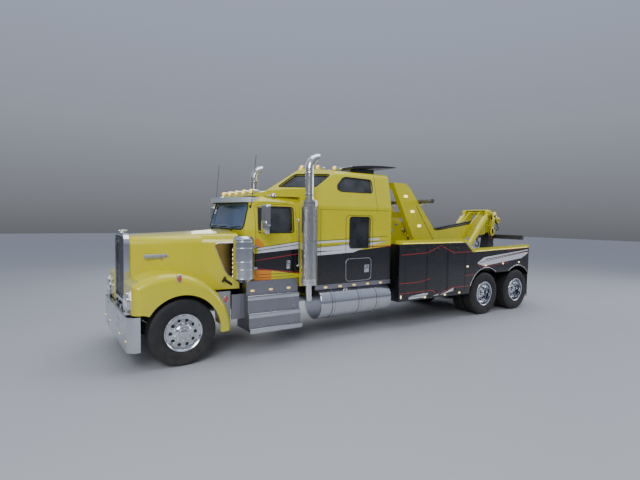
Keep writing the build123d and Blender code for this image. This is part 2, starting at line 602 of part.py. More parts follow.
def sleeper_form(inset):
    """The sleeper's form, where its side, end and plan outlines meet, drawn in by the inset."""
    with BuildPart() as form:
        with BuildSketch(side_plane(-SLEEPER_HALF - 50)) as outline:
            with BuildLine():
                Polyline((SLEEPER_FRONT, SLEEPER_LOW), (SLEEPER_REAR, SLEEPER_LOW),
                         (SLEEPER_REAR, SLEEPER_ROOF_MIDDLE), (nose_y(SLEEPER_ROOF_MIDDLE), SLEEPER_ROOF_MIDDLE),
                         (nose_y(CAP_FOOT_Z), CAP_FOOT_Z), CAP_KNEE, (CAP_FRONT, CAP_LOW + 20),
                         (CAP_FRONT, CAP_LOW), (SLEEPER_FRONT, CAP_LOW), close=True)
            make_face()
            fillet(outline.vertices().sort_by(Axis.Y)[-2:], 110)
            if inset:
                offset(amount=-inset, kind=Kind.INTERSECTION)
        extrude(amount=2 * SLEEPER_HALF + 100)
        with BuildSketch(cross_plane(SLEEPER_REAR)) as end:
            with BuildLine():
                side = Polyline((-SLEEPER_ROOF_HALF, SLEEPER_ROOF_EDGE), (-SLEEPER_HALF, SLEEPER_SEAM_Z),
                                (-SLEEPER_HALF, SLEEPER_LOW), (SLEEPER_HALF, SLEEPER_LOW),
                                (SLEEPER_HALF, SLEEPER_SEAM_Z), (SLEEPER_ROOF_HALF, SLEEPER_ROOF_EDGE))
                ThreePointArc(side @ 1, (0, SLEEPER_ROOF_MIDDLE), side @ 0)
            make_face()
            fillet(end.vertices().group_by(Axis.Y)[-1], 150)
            if inset:
                offset(amount=-inset, kind=Kind.INTERSECTION)
        extrude(amount=SLEEPER_REAR - CAP_FRONT + 50, mode=Mode.INTERSECT)
        with BuildSketch(Plane.XY.offset(SLEEPER_LOW - 10)) as plan:
            with BuildLine():
                half = Polyline((CAB_HALF - 220, CAP_FRONT), (CAB_HALF - 110, CAP_KNEE[0]),
                                (CAB_HALF - 10, SLEEPER_FRONT), (SLEEPER_HALF, SLEEPER_NECK),
                                (SLEEPER_HALF, SLEEPER_REAR), (-SLEEPER_HALF, SLEEPER_REAR),
                                (-SLEEPER_HALF, SLEEPER_NECK), (10 - CAB_HALF, SLEEPER_FRONT),
                                (110 - CAB_HALF, CAP_KNEE[0]), (220 - CAB_HALF, CAP_FRONT), close=True)
            make_face()
            if inset:
                offset(amount=-inset, kind=Kind.INTERSECTION)
        extrude(amount=SLEEPER_ROOF_MIDDLE, mode=Mode.INTERSECT)
        add(ahead_of_nose(inset), mode=Mode.SUBTRACT)
    return form.part


sleeper_outside = sleeper_form(0)
sleeper_inside = sleeper_form(SLEEPER_WALL)
# columns: name, points of the opening as distance behind the front axle and height
SLEEPER_WINDOWS = [
    ("upper", [(3030, 2995), (3230, 3185), (3935, 3165), (3935, 2905), (3090, 2905)]),
    ("middle", [(3320, 1780), (3320, 2390), (3830, 2390), (3830, 1780)]),
]
WINDOW_CORNER = 45.0
# The pane in each front plane: x and height of its corners
NOSE_WINDOW = [(140, 2992), (100, 3270), (925, 3222), (990, 2950)]
NOSE_WINDOW_CORNER = 50.0


def nose_window(gap):
    """A prism square to the left front plane with its window's rounded outline."""
    facing = Plane((0, NOSE_Y, NOSE_Z), x_dir=(1, NOSE_SWEEP, 0), z_dir=(-NOSE_SWEEP, 1, -NOSE_RAKE))
    corners = [facing.to_local_coords(Vector(x, nose_y(z) + NOSE_SWEEP * x, z)) for x, z in NOSE_WINDOW]
    with BuildPart() as block:
        with BuildSketch(facing) as outline:
            with BuildLine():
                Polyline(*[(corner.X, corner.Y) for corner in corners], close=True)
            make_face()
            fillet(outline.vertices(), NOSE_WINDOW_CORNER)
            if gap:
                offset(amount=-gap)
        extrude(amount=120, both=True)
    return block.part


def sleeper_window(points, gap):
    """A prism through one side of the sleeper with a window's rounded outline."""
    with BuildPart() as block:
        with BuildSketch(side_plane(SLEEPER_HALF - 400)) as outline:
            with BuildLine():
                Polyline(*[(aft(d), z) for d, z in points], close=True)
            make_face()
            fillet(outline.vertices(), WINDOW_CORNER)
            if gap:
                offset(amount=-gap)
        extrude(amount=500)
    return block.part


with BuildPart() as sleeper_shell:
    add(sleeper_outside)
    add(sleeper_inside, mode=Mode.SUBTRACT)
    for name, points in SLEEPER_WINDOWS:
        window_hole = sleeper_window(points, 0)
        add(window_hole, mode=Mode.SUBTRACT)
        add(window_hole.mirror(Plane.YZ), mode=Mode.SUBTRACT)
    for hole in (nose_window(0), nose_window(0).mirror(Plane.YZ)):
        add(hole, mode=Mode.SUBTRACT)
    add(passage, mode=Mode.SUBTRACT)
sleeper_shell.part.label = "sleeper_shell"
export_step(sleeper_shell.part, "parts/sleeper_shell.step")

# Fixed panes: the bowed windscreen and the sleeper's windows
with BuildPart() as fixed_glass:
    add(sleeper_form(SLEEPER_WALL / 2 - GLASS / 2))
    add(sleeper_form(SLEEPER_WALL / 2 + GLASS / 2), mode=Mode.SUBTRACT)
    with BuildPart(mode=Mode.PRIVATE) as window_blocks:
        for name, points in SLEEPER_WINDOWS:
            window_block = sleeper_window(points, GLASS_GAP)
            add(window_block)
            add(window_block.mirror(Plane.YZ))
        add(nose_window(GLASS_GAP))
        add(nose_window(GLASS_GAP).mirror(Plane.YZ))
    add(window_blocks.part, mode=Mode.INTERSECT)
    pane_inside = cab_form(CAB_WALL / 2 + GLASS / 2)
    with BuildPart(mode=Mode.PRIVATE) as windscreen:
        add(cab_form(CAB_WALL / 2 - GLASS / 2))
        add(pane_inside, mode=Mode.SUBTRACT)
        add(rounded_cross_opening(WINDSCREEN_HALF - GLASS_GAP, WINDSCREEN_LOW + GLASS_GAP,
                                  WINDSCREEN_TOP - GLASS_GAP, WINDSCREEN_CORNER - GLASS_GAP,
                                  aft(950), aft(1500)), mode=Mode.INTERSECT)
    add(windscreen.part)
fixed_glass.part.label = "fixed_glass"
export_step(fixed_glass.part, "parts/fixed_glass.step")

# Cab interior: a firewall box and dash, a wheel on its column, and two seats; a bunk behind
CAB_FLOOR = CAB_LOW + CAB_WALL
SLEEPER_FLOOR = SLEEPER_LOW + SLEEPER_WALL
SEAT_X = 520.0
SEAT_HALF = 260.0
DASH_HALF = 780.0
DASH_REAR = aft(1440)
STEERING_X = SEAT_X
BUNK_HALF = 980.0

with BuildPart(Plane((STEERING_X, DASH_REAR + 95, 1990), z_dir=(0, 2, 1))) as steering_wheel:
    Torus(225, 15)
    Box(430, 40, 16)
    Cylinder(60, 24)

with BuildPart() as cab_interior:
    with BuildSketch(side_plane(-DASH_HALF)):
        with BuildLine():
            Polyline((aft(1215), CAB_FLOOR), (aft(1300), CAB_FLOOR), (aft(1340), 1680),
                     (DASH_REAR, 1750), (DASH_REAR, 1960), (aft(1380), 2080), (aft(1215), 2080),
                     close=True)
        make_face()
    extrude(amount=2 * DASH_HALF)
    round_bar((STEERING_X, DASH_REAR - 40, 1920), (STEERING_X, DASH_REAR + 90, 1985), 28)
    for seat_x in (SEAT_X, -SEAT_X):
        with BuildSketch(side_plane(seat_x - SEAT_HALF)):
            with BuildLine():
                Polyline((aft(1690), CAB_FLOOR), (aft(2010), CAB_FLOOR), (aft(2010), 1560),
                         (aft(2110), 1650), (aft(2130), 2300), (aft(2040), 2330), (aft(1990), 1760),
                         (aft(1560), 1740), (aft(1550), 1620), (aft(1690), 1580), close=True)
            make_face()
        extrude(amount=2 * SEAT_HALF)
    with BuildSketch(side_plane(-BUNK_HALF)):
        with BuildLine():
            Polyline((aft(3450), SLEEPER_FLOOR), (aft(4340), SLEEPER_FLOOR), (aft(4340), 1700),
                     (aft(3400), 1700), (aft(3400), 1520), (aft(3450), 1520), close=True)
        make_face()
    extrude(amount=2 * BUNK_HALF)
    add(steering_wheel.part)
cab_interior.part.label = "cab_interior"
export_step(cab_interior.part, "parts/cab_interior.step")

# Visor: a bowed sheet over the windscreen with a turned-down lip
VISOR_TOP = 2722.0
VISOR_DEPTH = 92.0
VISOR_LOW = VISOR_TOP - VISOR_DEPTH
VISOR_SHEET = 12.0
VISOR_HALF = 900.0


def visor_plan(inset):
    """The visor's plan from its bowed front edge back into the cab."""
    with BuildSketch(Plane.XY.offset(VISOR_LOW)) as plan:
        with BuildLine():
            bow = ThreePointArc((inset - VISOR_HALF, aft(1300)), (0, aft(935) + inset),
                                (VISOR_HALF - inset, aft(1300)))
            Polyline(bow @ 1, (VISOR_HALF - inset, aft(1430)), (inset - VISOR_HALF, aft(1430)), bow @ 0)
        make_face()
    return plan.sketch


with BuildPart() as visor:
    extrude(visor_plan(0), amount=VISOR_TOP - VISOR_LOW)
    extrude(visor_plan(VISOR_SHEET), amount=VISOR_TOP - VISOR_LOW - VISOR_SHEET, mode=Mode.SUBTRACT)
    add(cab_outside, mode=Mode.SUBTRACT)
visor.part.label = "visor"
export_step(visor.part, "parts/visor.step")

# Air cleaners beside the cowl, each on two brackets from the cab corner
CLEANER_LOW = 1270.0
CLEANER_TOP = 2050.0
CLEANER_CROWN = 70.0
CLEANER_FOOT_RADIUS = 75.0

with BuildPart() as air_cleaners:
    with BuildSketch(cross_plane(CLEANER_Y)):
        with BuildLine():
            Polyline((CLEANER_X, CLEANER_LOW - 15), (CLEANER_X + CLEANER_FOOT_RADIUS, CLEANER_LOW - 15),
                     (CLEANER_X + CLEANER_RADIUS, CLEANER_LOW + 50),
                     (CLEANER_X + CLEANER_RADIUS, CLEANER_TOP - CLEANER_CROWN))
            ThreePointArc((CLEANER_X + CLEANER_RADIUS, CLEANER_TOP - CLEANER_CROWN),
                          (CLEANER_X + 0.8 * CLEANER_RADIUS, CLEANER_TOP - 0.3 * CLEANER_CROWN),
                          (CLEANER_X + 0.5 * CLEANER_RADIUS, CLEANER_TOP))
            Polyline((CLEANER_X + 0.5 * CLEANER_RADIUS, CLEANER_TOP), (CLEANER_X, CLEANER_TOP),
                     (CLEANER_X, CLEANER_LOW - 15))
        make_face()
    revolve(axis=Axis((CLEANER_X, CLEANER_Y, 0), (0, 0, 1)))
    with Locations((CLEANER_X - 130, CLEANER_Y + 165, 1480), (CLEANER_X - 130, CLEANER_Y + 165, 1860)):
        Box(220, 210, 40)
    mirror(about=Plane.YZ)
    add(cab_outside, mode=Mode.SUBTRACT)
air_cleaners.part.label = "air_cleaners"
export_step(air_cleaners.part, "parts/air_cleaners.step")

# Exhaust stacks behind the cab, with mufflers, half guards and raked tips
STACK_X = 1200.0
STACK_Y = aft(2290)
MUFFLER_RADIUS = 110.0
MUFFLER_LOW = 1130.0
MUFFLER_TOP = 2700.0
STACK_RADIUS = 80.0
STACK_BEND_Z = 3270.0
STACK_BEND_RADIUS = 200.0
STACK_BEND_ANGLE = 80.0
STACK_TIP = 80.0
STACK_CUT_LOW = (aft(2372), 3245.0)
STACK_CUT_HIGH = (aft(2505), 3600.0)
STACK_FOOT_Z = 880.0
GUARD_RADIUS = 157.0
GUARD_SHEET = 6.0

with BuildPart() as exhaust_stacks:
    round_bar((STACK_X, STACK_Y, MUFFLER_LOW), (STACK_X, STACK_Y, MUFFLER_TOP), MUFFLER_RADIUS)
    round_bar((STACK_X, STACK_Y, STACK_FOOT_Z), (STACK_X, STACK_Y, MUFFLER_LOW), 0.75 * STACK_RADIUS)
    round_bar((RAIL_X + 8, STACK_Y, STACK_FOOT_Z), (STACK_X + 0.5 * STACK_RADIUS, STACK_Y, STACK_FOOT_Z),
              0.75 * STACK_RADIUS)
    with BuildLine(side_plane(STACK_X)) as stack_path:
        rise = Line((STACK_Y, MUFFLER_TOP - 20), (STACK_Y, STACK_BEND_Z))
        bend = JernArc(rise @ 1, (0, 1), STACK_BEND_RADIUS, -STACK_BEND_ANGLE)
        Line(bend @ 1, bend @ 1 + (bend % 1) * STACK_TIP)
    with BuildSketch(Plane((STACK_X, STACK_Y, MUFFLER_TOP - 20))):
        Circle(STACK_RADIUS)
        Circle(STACK_RADIUS - GUARD_SHEET, mode=Mode.SUBTRACT)
    sweep(path=stack_path.line)
    with BuildSketch(side_plane(STACK_X - GUARD_RADIUS)):
        with BuildLine():
            Polyline(STACK_CUT_LOW, STACK_CUT_HIGH, (STACK_CUT_HIGH[0] + 400, STACK_CUT_HIGH[1]),
                     (STACK_CUT_HIGH[0] + 400, STACK_CUT_LOW[1]), close=True)
        make_face()
    extrude(amount=2 * GUARD_RADIUS, mode=Mode.SUBTRACT)
    with BuildSketch(Plane.XY.offset(MUFFLER_LOW)):
        with Locations((STACK_X, STACK_Y)):
            Circle(GUARD_RADIUS)
            Circle(GUARD_RADIUS - GUARD_SHEET, mode=Mode.SUBTRACT)
        with Locations((STACK_X - GUARD_RADIUS, STACK_Y)):
            Rectangle(2 * GUARD_RADIUS, 3 * GUARD_RADIUS, mode=Mode.SUBTRACT)
    extrude(amount=MUFFLER_TOP - MUFFLER_LOW - 20)
    with Locations([(STACK_X, STACK_Y, z) for z in (MUFFLER_LOW + 60, MUFFLER_TOP - 90)]):
        Box(30, 2 * GUARD_RADIUS - GUARD_SHEET, 40)
    with Locations([(STACK_X - 120, STACK_Y, z) for z in (1500, 2400)]):
        Box(150, 60, 60)
    mirror(about=Plane.YZ)
    add(sleeper_outside, mode=Mode.SUBTRACT)
exhaust_stacks.part.label = "exhaust_stacks"
export_step(exhaust_stacks.part, "parts/exhaust_stacks.step")

# Steps under the doors, with the bright panel above them and the sill under the sleeper
STEP_FRONT = aft(1100)
STEP_REAR = aft(2120)
SILL_X = 1110.0
# columns: outer x, tread z
STEP_TREADS = [(1160, 1000), (1220, 700), (1280, 450)]
STEP_INNER = 700.0
STEP_BOTTOM = 400.0
SPLASH_FRONT = aft(870)
SPLASH_LOW = 600.0
SPLASH_TOP = 1030.0
SPLASH_X = 1010.0

with BuildPart() as steps:
    with BuildSketch(cross_plane(STEP_REAR)):
        with BuildLine():
            Polyline((STEP_INNER, CAB_LOW), (SILL_X - 10, CAB_LOW), (SILL_X - 10, STEP_TREADS[0][1]),
                     (STEP_TREADS[0][0], STEP_TREADS[0][1]), (STEP_TREADS[0][0], STEP_TREADS[1][1]),
                     (STEP_TREADS[1][0], STEP_TREADS[1][1]), (STEP_TREADS[1][0], STEP_TREADS[2][1]),
                     (STEP_TREADS[2][0], STEP_TREADS[2][1]), (STEP_TREADS[2][0], STEP_BOTTOM),
                     (STEP_INNER, STEP_BOTTOM), close=True)
        make_face()
    extrude(amount=STEP_REAR - STEP_FRONT)
    with Locations(((RAIL_X + STEP_INNER) / 2, aft(1250), 850), ((RAIL_X + STEP_INNER) / 2, aft(1950), 850)):
        Box(STEP_INNER - RAIL_X, 80, 120)
    with Locations((SPLASH_X - 15, (SPLASH_FRONT + STEP_FRONT + 20) / 2, (SPLASH_LOW + SPLASH_TOP) / 2)):
        Box(30, STEP_FRONT + 20 - SPLASH_FRONT, SPLASH_TOP - SPLASH_LOW)
    with Locations(((SILL_X + 1030) / 2, (aft(2500) + SLEEPER_REAR) / 2, SLEEPER_LOW - 45)):
        Box(SILL_X - 1030, SLEEPER_REAR - aft(2500), 90)
    mirror(about=Plane.YZ)
steps.part.label = "steps"
export_step(steps.part, "parts/steps.step")

# Fuel tanks on brackets from the rails
TANK_X = 860.0
TANK_Z = 700.0
TANK_RADIUS = 322.0
TANK_FRONT = aft(2610)
TANK_REAR = aft(4400)
TANK_BANDS = [aft(2900), aft(3550), aft(4020)]
BAND_WIDTH = 60.0
BAND_THICKNESS = 5.0

with BuildPart() as fuel_tanks:
    round_bar((TANK_X, TANK_FRONT, TANK_Z), (TANK_X, TANK_REAR, TANK_Z), TANK_RADIUS)
    fillet(fuel_tanks.edges(), 25)
    for band_y in TANK_BANDS:
        round_bar((TANK_X, band_y - BAND_WIDTH / 2, TANK_Z), (TANK_X, band_y + BAND_WIDTH / 2, TANK_Z),
                  TANK_RADIUS + BAND_THICKNESS)
        with Locations(((RAIL_X + TANK_X) / 2, band_y, RAIL_MIDDLE_Z - 60)):
            Box(TANK_X - RAIL_X, BAND_WIDTH, 150)
    mirror(about=Plane.YZ)
fuel_tanks.part.label = "fuel_tanks"
export_step(fuel_tanks.part, "parts/fuel_tanks.step")

# Knuckles: a yoke round the beam's eye, the kingpin, a backing plate and a stub axle
YOKE_RADIUS = 45.0
YOKE_PLATE = 30.0
YOKE_GAP = 5.0
WEB_NEAR = 50.0
WEB_FAR = 75.0
BACKING_START = 80.0
BACKING_END = 150.0
BACKING_RADIUS = 200.0
STUB_RADIUS = 40.0
STUB_SHOULDER = 170.0
STUB_TIP_RADIUS = 30.0
STUB_END = 230.0
YOKE_INNER = BEAM_EYE_HEIGHT / 2 + YOKE_GAP
YOKE_OUTER = YOKE_INNER + YOKE_PLATE

for side, sign in SIDES:
    with BuildPart() as knuckle:
        with BuildSketch(Plane.XY.offset(TYRE_RADIUS - YOKE_OUTER)) as yoke_plan:
            with Locations((KINGPIN_X, aft(0))):
                Circle(YOKE_RADIUS)
            with Locations((KINGPIN_X + WEB_FAR / 2, aft(0))):
                Rectangle(WEB_FAR, 2 * YOKE_RADIUS)
        extrude(amount=2 * YOKE_OUTER)
        with Locations((KINGPIN_X + WEB_NEAR - 100, aft(0), TYRE_RADIUS)):
            Box(200, 3 * YOKE_RADIUS, 2 * YOKE_INNER, mode=Mode.SUBTRACT)
        round_bar((KINGPIN_X, aft(0), TYRE_RADIUS - YOKE_OUTER),
                  (KINGPIN_X, aft(0), TYRE_RADIUS + YOKE_OUTER), KINGPIN_RADIUS)
        round_bar((KINGPIN_X + BACKING_START, aft(0), TYRE_RADIUS),
                  (KINGPIN_X + BACKING_END, aft(0), TYRE_RADIUS), BACKING_RADIUS)
        round_bar((KINGPIN_X + WEB_NEAR + 10, aft(0), TYRE_RADIUS),
                  (KINGPIN_X + STUB_SHOULDER, aft(0), TYRE_RADIUS), STUB_RADIUS)
        round_bar((KINGPIN_X + STUB_SHOULDER, aft(0), TYRE_RADIUS),
                  (KINGPIN_X + STUB_END, aft(0), TYRE_RADIUS), STUB_TIP_RADIUS)
        if sign < 0:
            mirror(about=Plane.YZ, mode=Mode.REPLACE)
    knuckle.part.label = f"knuckle_{side}"
    export_step(knuckle.part, f"parts/knuckle_{side}.step")

# Wheels: single tyres that steer, and twin tyres on each drive axle
STEER_TYRE_X = KINGPIN_X + STEER_TYRE_WIDTH / 2
RIM_WALL = 20.0
DISC_THICKNESS = 16.0
STEER_DISC_X = 1160.0
STEER_HUB_START = KINGPIN_X + STUB_SHOULDER + 10
STEER_HUB_END = 1215.0
STEER_HUB_RADIUS = 100.0
DRIVE_HUB_START = AXLE_TUBE_END + 5
DRIVE_HUB_END = 1110.0
DRIVE_HUB_RADIUS = 115.0
DRIVE_DISC_THICKNESS = 30.0
DRUM_START = 720.0
DRUM_RADIUS = 200.0
HAND_HOLE_RADIUS = 27.0
HAND_HOLE_CIRCLE = 195.0
HAND_HOLE_COUNT = 10


def tyre_ring(middle_x, width, axle_y):
    """A plain tyre standing on the ground, turned about its axle."""
    with BuildPart() as ring:
        with BuildSketch(cross_plane(axle_y)):
            with BuildLine():
                Polyline((middle_x - 0.42 * width, TYRE_RADIUS + RIM_RADIUS + TYRE_SEAT_GAP),
                         (middle_x - 0.5 * width, TYRE_RADIUS + 425),
                         (middle_x - 0.43 * width, 2 * TYRE_RADIUS),
                         (middle_x + 0.43 * width, 2 * TYRE_RADIUS),
                         (middle_x + 0.5 * width, TYRE_RADIUS + 425),
                         (middle_x + 0.42 * width, TYRE_RADIUS + RIM_RADIUS + TYRE_SEAT_GAP), close=True)
            make_face()
        revolve(axis=Axis((0, axle_y, TYRE_RADIUS), (1, 0, 0)))
    return ring.part


def hand_holes(axle_y, x0, x1):
    """The ring of holes through a wheel disc."""
    with BuildPart() as holes:
        with BuildSketch(Plane((x0, axle_y, TYRE_RADIUS), z_dir=(1, 0, 0))):
            with PolarLocations(HAND_HOLE_CIRCLE, HAND_HOLE_COUNT):
                Circle(HAND_HOLE_RADIUS)
        extrude(amount=x1 - x0)
    return holes.part


for side, sign in SIDES:
    with BuildPart() as tyre:
        add(tyre_ring(STEER_TYRE_X, STEER_TYRE_WIDTH, aft(0)))
        if sign < 0:
            mirror(about=Plane.YZ, mode=Mode.REPLACE)
    tyre.part.label = f"tyre_front_{side}"
    export_step(tyre.part, f"parts/tyre_front_{side}.step")
    with BuildPart() as rim:
        barrel_start = (STEER_TYRE_X - 0.5 * STEER_TYRE_WIDTH + 8, aft(0), TYRE_RADIUS)
        barrel_end = (STEER_TYRE_X + 0.5 * STEER_TYRE_WIDTH - 8, aft(0), TYRE_RADIUS)
        round_bar(barrel_start, barrel_end, RIM_RADIUS)
        round_bar(barrel_start, barrel_end, RIM_RADIUS - RIM_WALL, mode=Mode.SUBTRACT)
        round_bar((STEER_DISC_X - DISC_THICKNESS / 2, aft(0), TYRE_RADIUS),
                  (STEER_DISC_X + DISC_THICKNESS / 2, aft(0), TYRE_RADIUS), RIM_RADIUS - RIM_WALL / 2)
        add(hand_holes(aft(0), STEER_DISC_X - 50, STEER_DISC_X + 50), mode=Mode.SUBTRACT)
        round_bar((STEER_HUB_START, aft(0), TYRE_RADIUS), (STEER_HUB_END, aft(0), TYRE_RADIUS),
                  STEER_HUB_RADIUS)
        round_bar((STEER_HUB_START, aft(0), TYRE_RADIUS),
                  (KINGPIN_X + STUB_END + 5, aft(0), TYRE_RADIUS), STUB_TIP_RADIUS + PIN_GAP,
                  mode=Mode.SUBTRACT)
        if sign < 0:
            mirror(about=Plane.YZ, mode=Mode.REPLACE)
    rim.part.label = f"rim_front_{side}"
    export_step(rim.part, f"parts/rim_front_{side}.step")
    for axle_name, axle_y in DRIVE_AXLES:
        with BuildPart() as tyre:
            for twin_x in (DUAL_MIDDLE_X - DUAL_SPACING / 2, DUAL_MIDDLE_X + DUAL_SPACING / 2):
                add(tyre_ring(twin_x, DRIVE_TYRE_WIDTH, axle_y))
            if sign < 0:
                mirror(about=Plane.YZ, mode=Mode.REPLACE)
        tyre.part.label = f"tyres_{axle_name}_{side}"
        export_step(tyre.part, f"parts/tyres_{axle_name}_{side}.step")
        with BuildPart() as rim:
            barrel_reach = DUAL_SPACING / 2 + DRIVE_TYRE_WIDTH / 2 - 8
            barrel_start = (DUAL_MIDDLE_X - barrel_reach, axle_y, TYRE_RADIUS)
            barrel_end = (DUAL_MIDDLE_X + barrel_reach, axle_y, TYRE_RADIUS)
            round_bar(barrel_start, barrel_end, RIM_RADIUS)
            round_bar(barrel_start, barrel_end, RIM_RADIUS - RIM_WALL, mode=Mode.SUBTRACT)
            round_bar((DUAL_MIDDLE_X - DRIVE_DISC_THICKNESS / 2, axle_y, TYRE_RADIUS),
                      (DUAL_MIDDLE_X + DRIVE_DISC_THICKNESS / 2, axle_y, TYRE_RADIUS),
                      RIM_RADIUS - RIM_WALL / 2)
            add(hand_holes(axle_y, DUAL_MIDDLE_X - 50, DUAL_MIDDLE_X + 50), mode=Mode.SUBTRACT)
            round_bar((DUAL_MIDDLE_X - 20, axle_y, TYRE_RADIUS), (DRIVE_HUB_END, axle_y, TYRE_RADIUS),
                      DRIVE_HUB_RADIUS)
            round_bar((DRUM_START, axle_y, TYRE_RADIUS), (DUAL_MIDDLE_X - 10, axle_y, TYRE_RADIUS),
                      DRUM_RADIUS - 40)
            round_bar((DRUM_START, axle_y, TYRE_RADIUS), (DRIVE_HUB_START, axle_y, TYRE_RADIUS),
                      AXLE_TUBE_RADIUS + 8, mode=Mode.SUBTRACT)
            round_bar((DRUM_START, axle_y, TYRE_RADIUS),
                      (DRIVE_SPINDLE_END + 5, axle_y, TYRE_RADIUS), DRIVE_SPINDLE_RADIUS + PIN_GAP,
                      mode=Mode.SUBTRACT)
            if sign < 0:
                mirror(about=Plane.YZ, mode=Mode.REPLACE)
        rim.part.label = f"rims_{axle_name}_{side}"
        export_step(rim.part, f"parts/rims_{axle_name}_{side}.step")

# Mirrors on the doors: two arms, a tall head and a round mirror under it
MIRROR_INNER_X = 1200.0
MIRROR_OUTER_X = 1400.0
MIRROR_Y = aft(1360)
MIRROR_DEPTH = 80.0
MIRROR_LOW = 2200.0
MIRROR_TOP = 2580.0
SPOT_RADIUS = 70.0
SPOT_Z = 2140.0
MIRROR_ARM_RADIUS = 12.0
MIRROR_ARM_Y = aft(1335)

for side, sign in SIDES:
    with BuildPart() as mirror_set:
        with BuildSketch(cross_plane(MIRROR_Y + MIRROR_DEPTH / 2)):
            with Locations(((MIRROR_INNER_X + MIRROR_OUTER_X) / 2, (MIRROR_LOW + MIRROR_TOP) / 2)):
                RectangleRounded(MIRROR_OUTER_X - MIRROR_INNER_X, MIRROR_TOP - MIRROR_LOW, 40)
        extrude(amount=MIRROR_DEPTH)
        fillet(mirror_set.faces().sort_by(Axis.Y)[0].edges(), 25)
        with BuildSketch(cross_plane(MIRROR_Y + MIRROR_DEPTH / 2)):
            with Locations(((MIRROR_INNER_X + MIRROR_OUTER_X) / 2, SPOT_Z)):
                Circle(SPOT_RADIUS)
        extrude(amount=MIRROR_DEPTH / 2)
        with Locations(((MIRROR_INNER_X + MIRROR_OUTER_X) / 2, MIRROR_Y - 5, MIRROR_LOW - 40)):
            Box(24, 50, 120)
        for arm_z in (MIRROR_TOP - 40, SPOT_Z - 20):
            round_bar((CAB_HALF - 140, MIRROR_ARM_Y, arm_z), (MIRROR_INNER_X + 100, MIRROR_ARM_Y, arm_z),
                      MIRROR_ARM_RADIUS)
        add(cab_outside, mode=Mode.SUBTRACT)
        if sign < 0:
            mirror(about=Plane.YZ, mode=Mode.REPLACE)
    mirror_set.part.label = f"mirror_{side}"
    export_step(mirror_set.part, f"parts/mirror_{side}.step")

# Roof wing on two fins over the sleeper
WING_HALF = 880.0
FIN_X = 620.0
with BuildPart() as roof_wing:
    with BuildSketch(side_plane(-WING_HALF)):
        with BuildLine():
            nose = ThreePointArc((aft(3560), 3397), (aft(3520), 3417), (aft(3560), 3440))
            back = ThreePointArc(nose @ 1, (aft(4150), 3497), (aft(4730), 3507))
            Polyline(back @ 1, (aft(4730), 3491), nose @ 0)
        make_face()
    extrude(amount=2 * WING_HALF)
    for fin_x in (FIN_X, -FIN_X):
        with Locations((fin_x, aft(3990), 3340)):
            Box(16, 640, 200)
    add(sleeper_outside, mode=Mode.SUBTRACT)
roof_wing.part.label = "roof_wing"
export_step(roof_wing.part, "parts/roof_wing.step")

# Recovery body: side boxes with wheel arches and lockers, the deck between and the boom's mounts
BODY_FRONT = aft(4540)
BODY_REAR = aft(9390)
BODY_INNER_X = 800.0
BODY_LOW = 590.0
BODY_REAR_LOW = 760.0
BODY_TOP = 1830.0
BODY_STEP_FRONT = aft(6700)
BODY_STEP_REAR = aft(7000)
BODY_REAR_TOP = 1590.0
BODY_TAIL_TOP = 1650.0
ARCH_OPENING = 650.0
ARCH_VALLEY_Z = 1045.0
DECK_PLATE = 40.0
DECK_TOP = DECK_LOW + DECK_PLATE
TAIL_SLOT_HALF = 200.0
TAIL_SLOT_START = aft(8850)
LOCKER_SEAMS = [aft(4700), aft(5390), aft(6080), aft(6730)]
LOCKER_LOW = 660.0
LOCKER_TOP = 1770.0
LOCKER_POST = 12.0
LOCKER_DOOR = 28.0
LOCKER_GAP = 7.0
LOCKER_BACK = 840.0
BOOM_PIVOT_Y = aft(6050)
BOOM_PIVOT_Z = 1790.0
BOOM_HALF = 190.0
BOOM_SIDE_GAP = 40.0
BOOM_EAR = 40.0
BOOM_PIN_RADIUS = 45.0
LIFT_X = 380.0
LIFT_BASE_Y = aft(7750)
LIFT_BASE_Z = 1450.0
LIFT_EYE_HALF = 50.0
LIFT_EAR = 20.0
LIFT_EAR_GAP = 8.0
LIFT_PIN_RADIUS = 30.0
EAR_RADIUS = 75.0
DRIVE_MIDDLE_Y = (DRIVE_AXLES[0][1] + DRIVE_AXLES[1][1]) / 2


def standing_ear(x, thickness, y, z, radius, foot_z, foot_half, pin_radius):
    """A plate that stands on the deck round a pin, added to the part being built."""
    with BuildSketch(side_plane(x)) as outline:
        with Locations((y, z)):
            Circle(radius)
        with BuildLine():
            Polyline((y - foot_half, foot_z), (y + foot_half, foot_z), (y + radius, z),
                     (y - radius, z), close=True)
        make_face()
        with Locations((y, z)):
            Circle(pin_radius, mode=Mode.SUBTRACT)
    extrude(outline.sketch, amount=thickness)


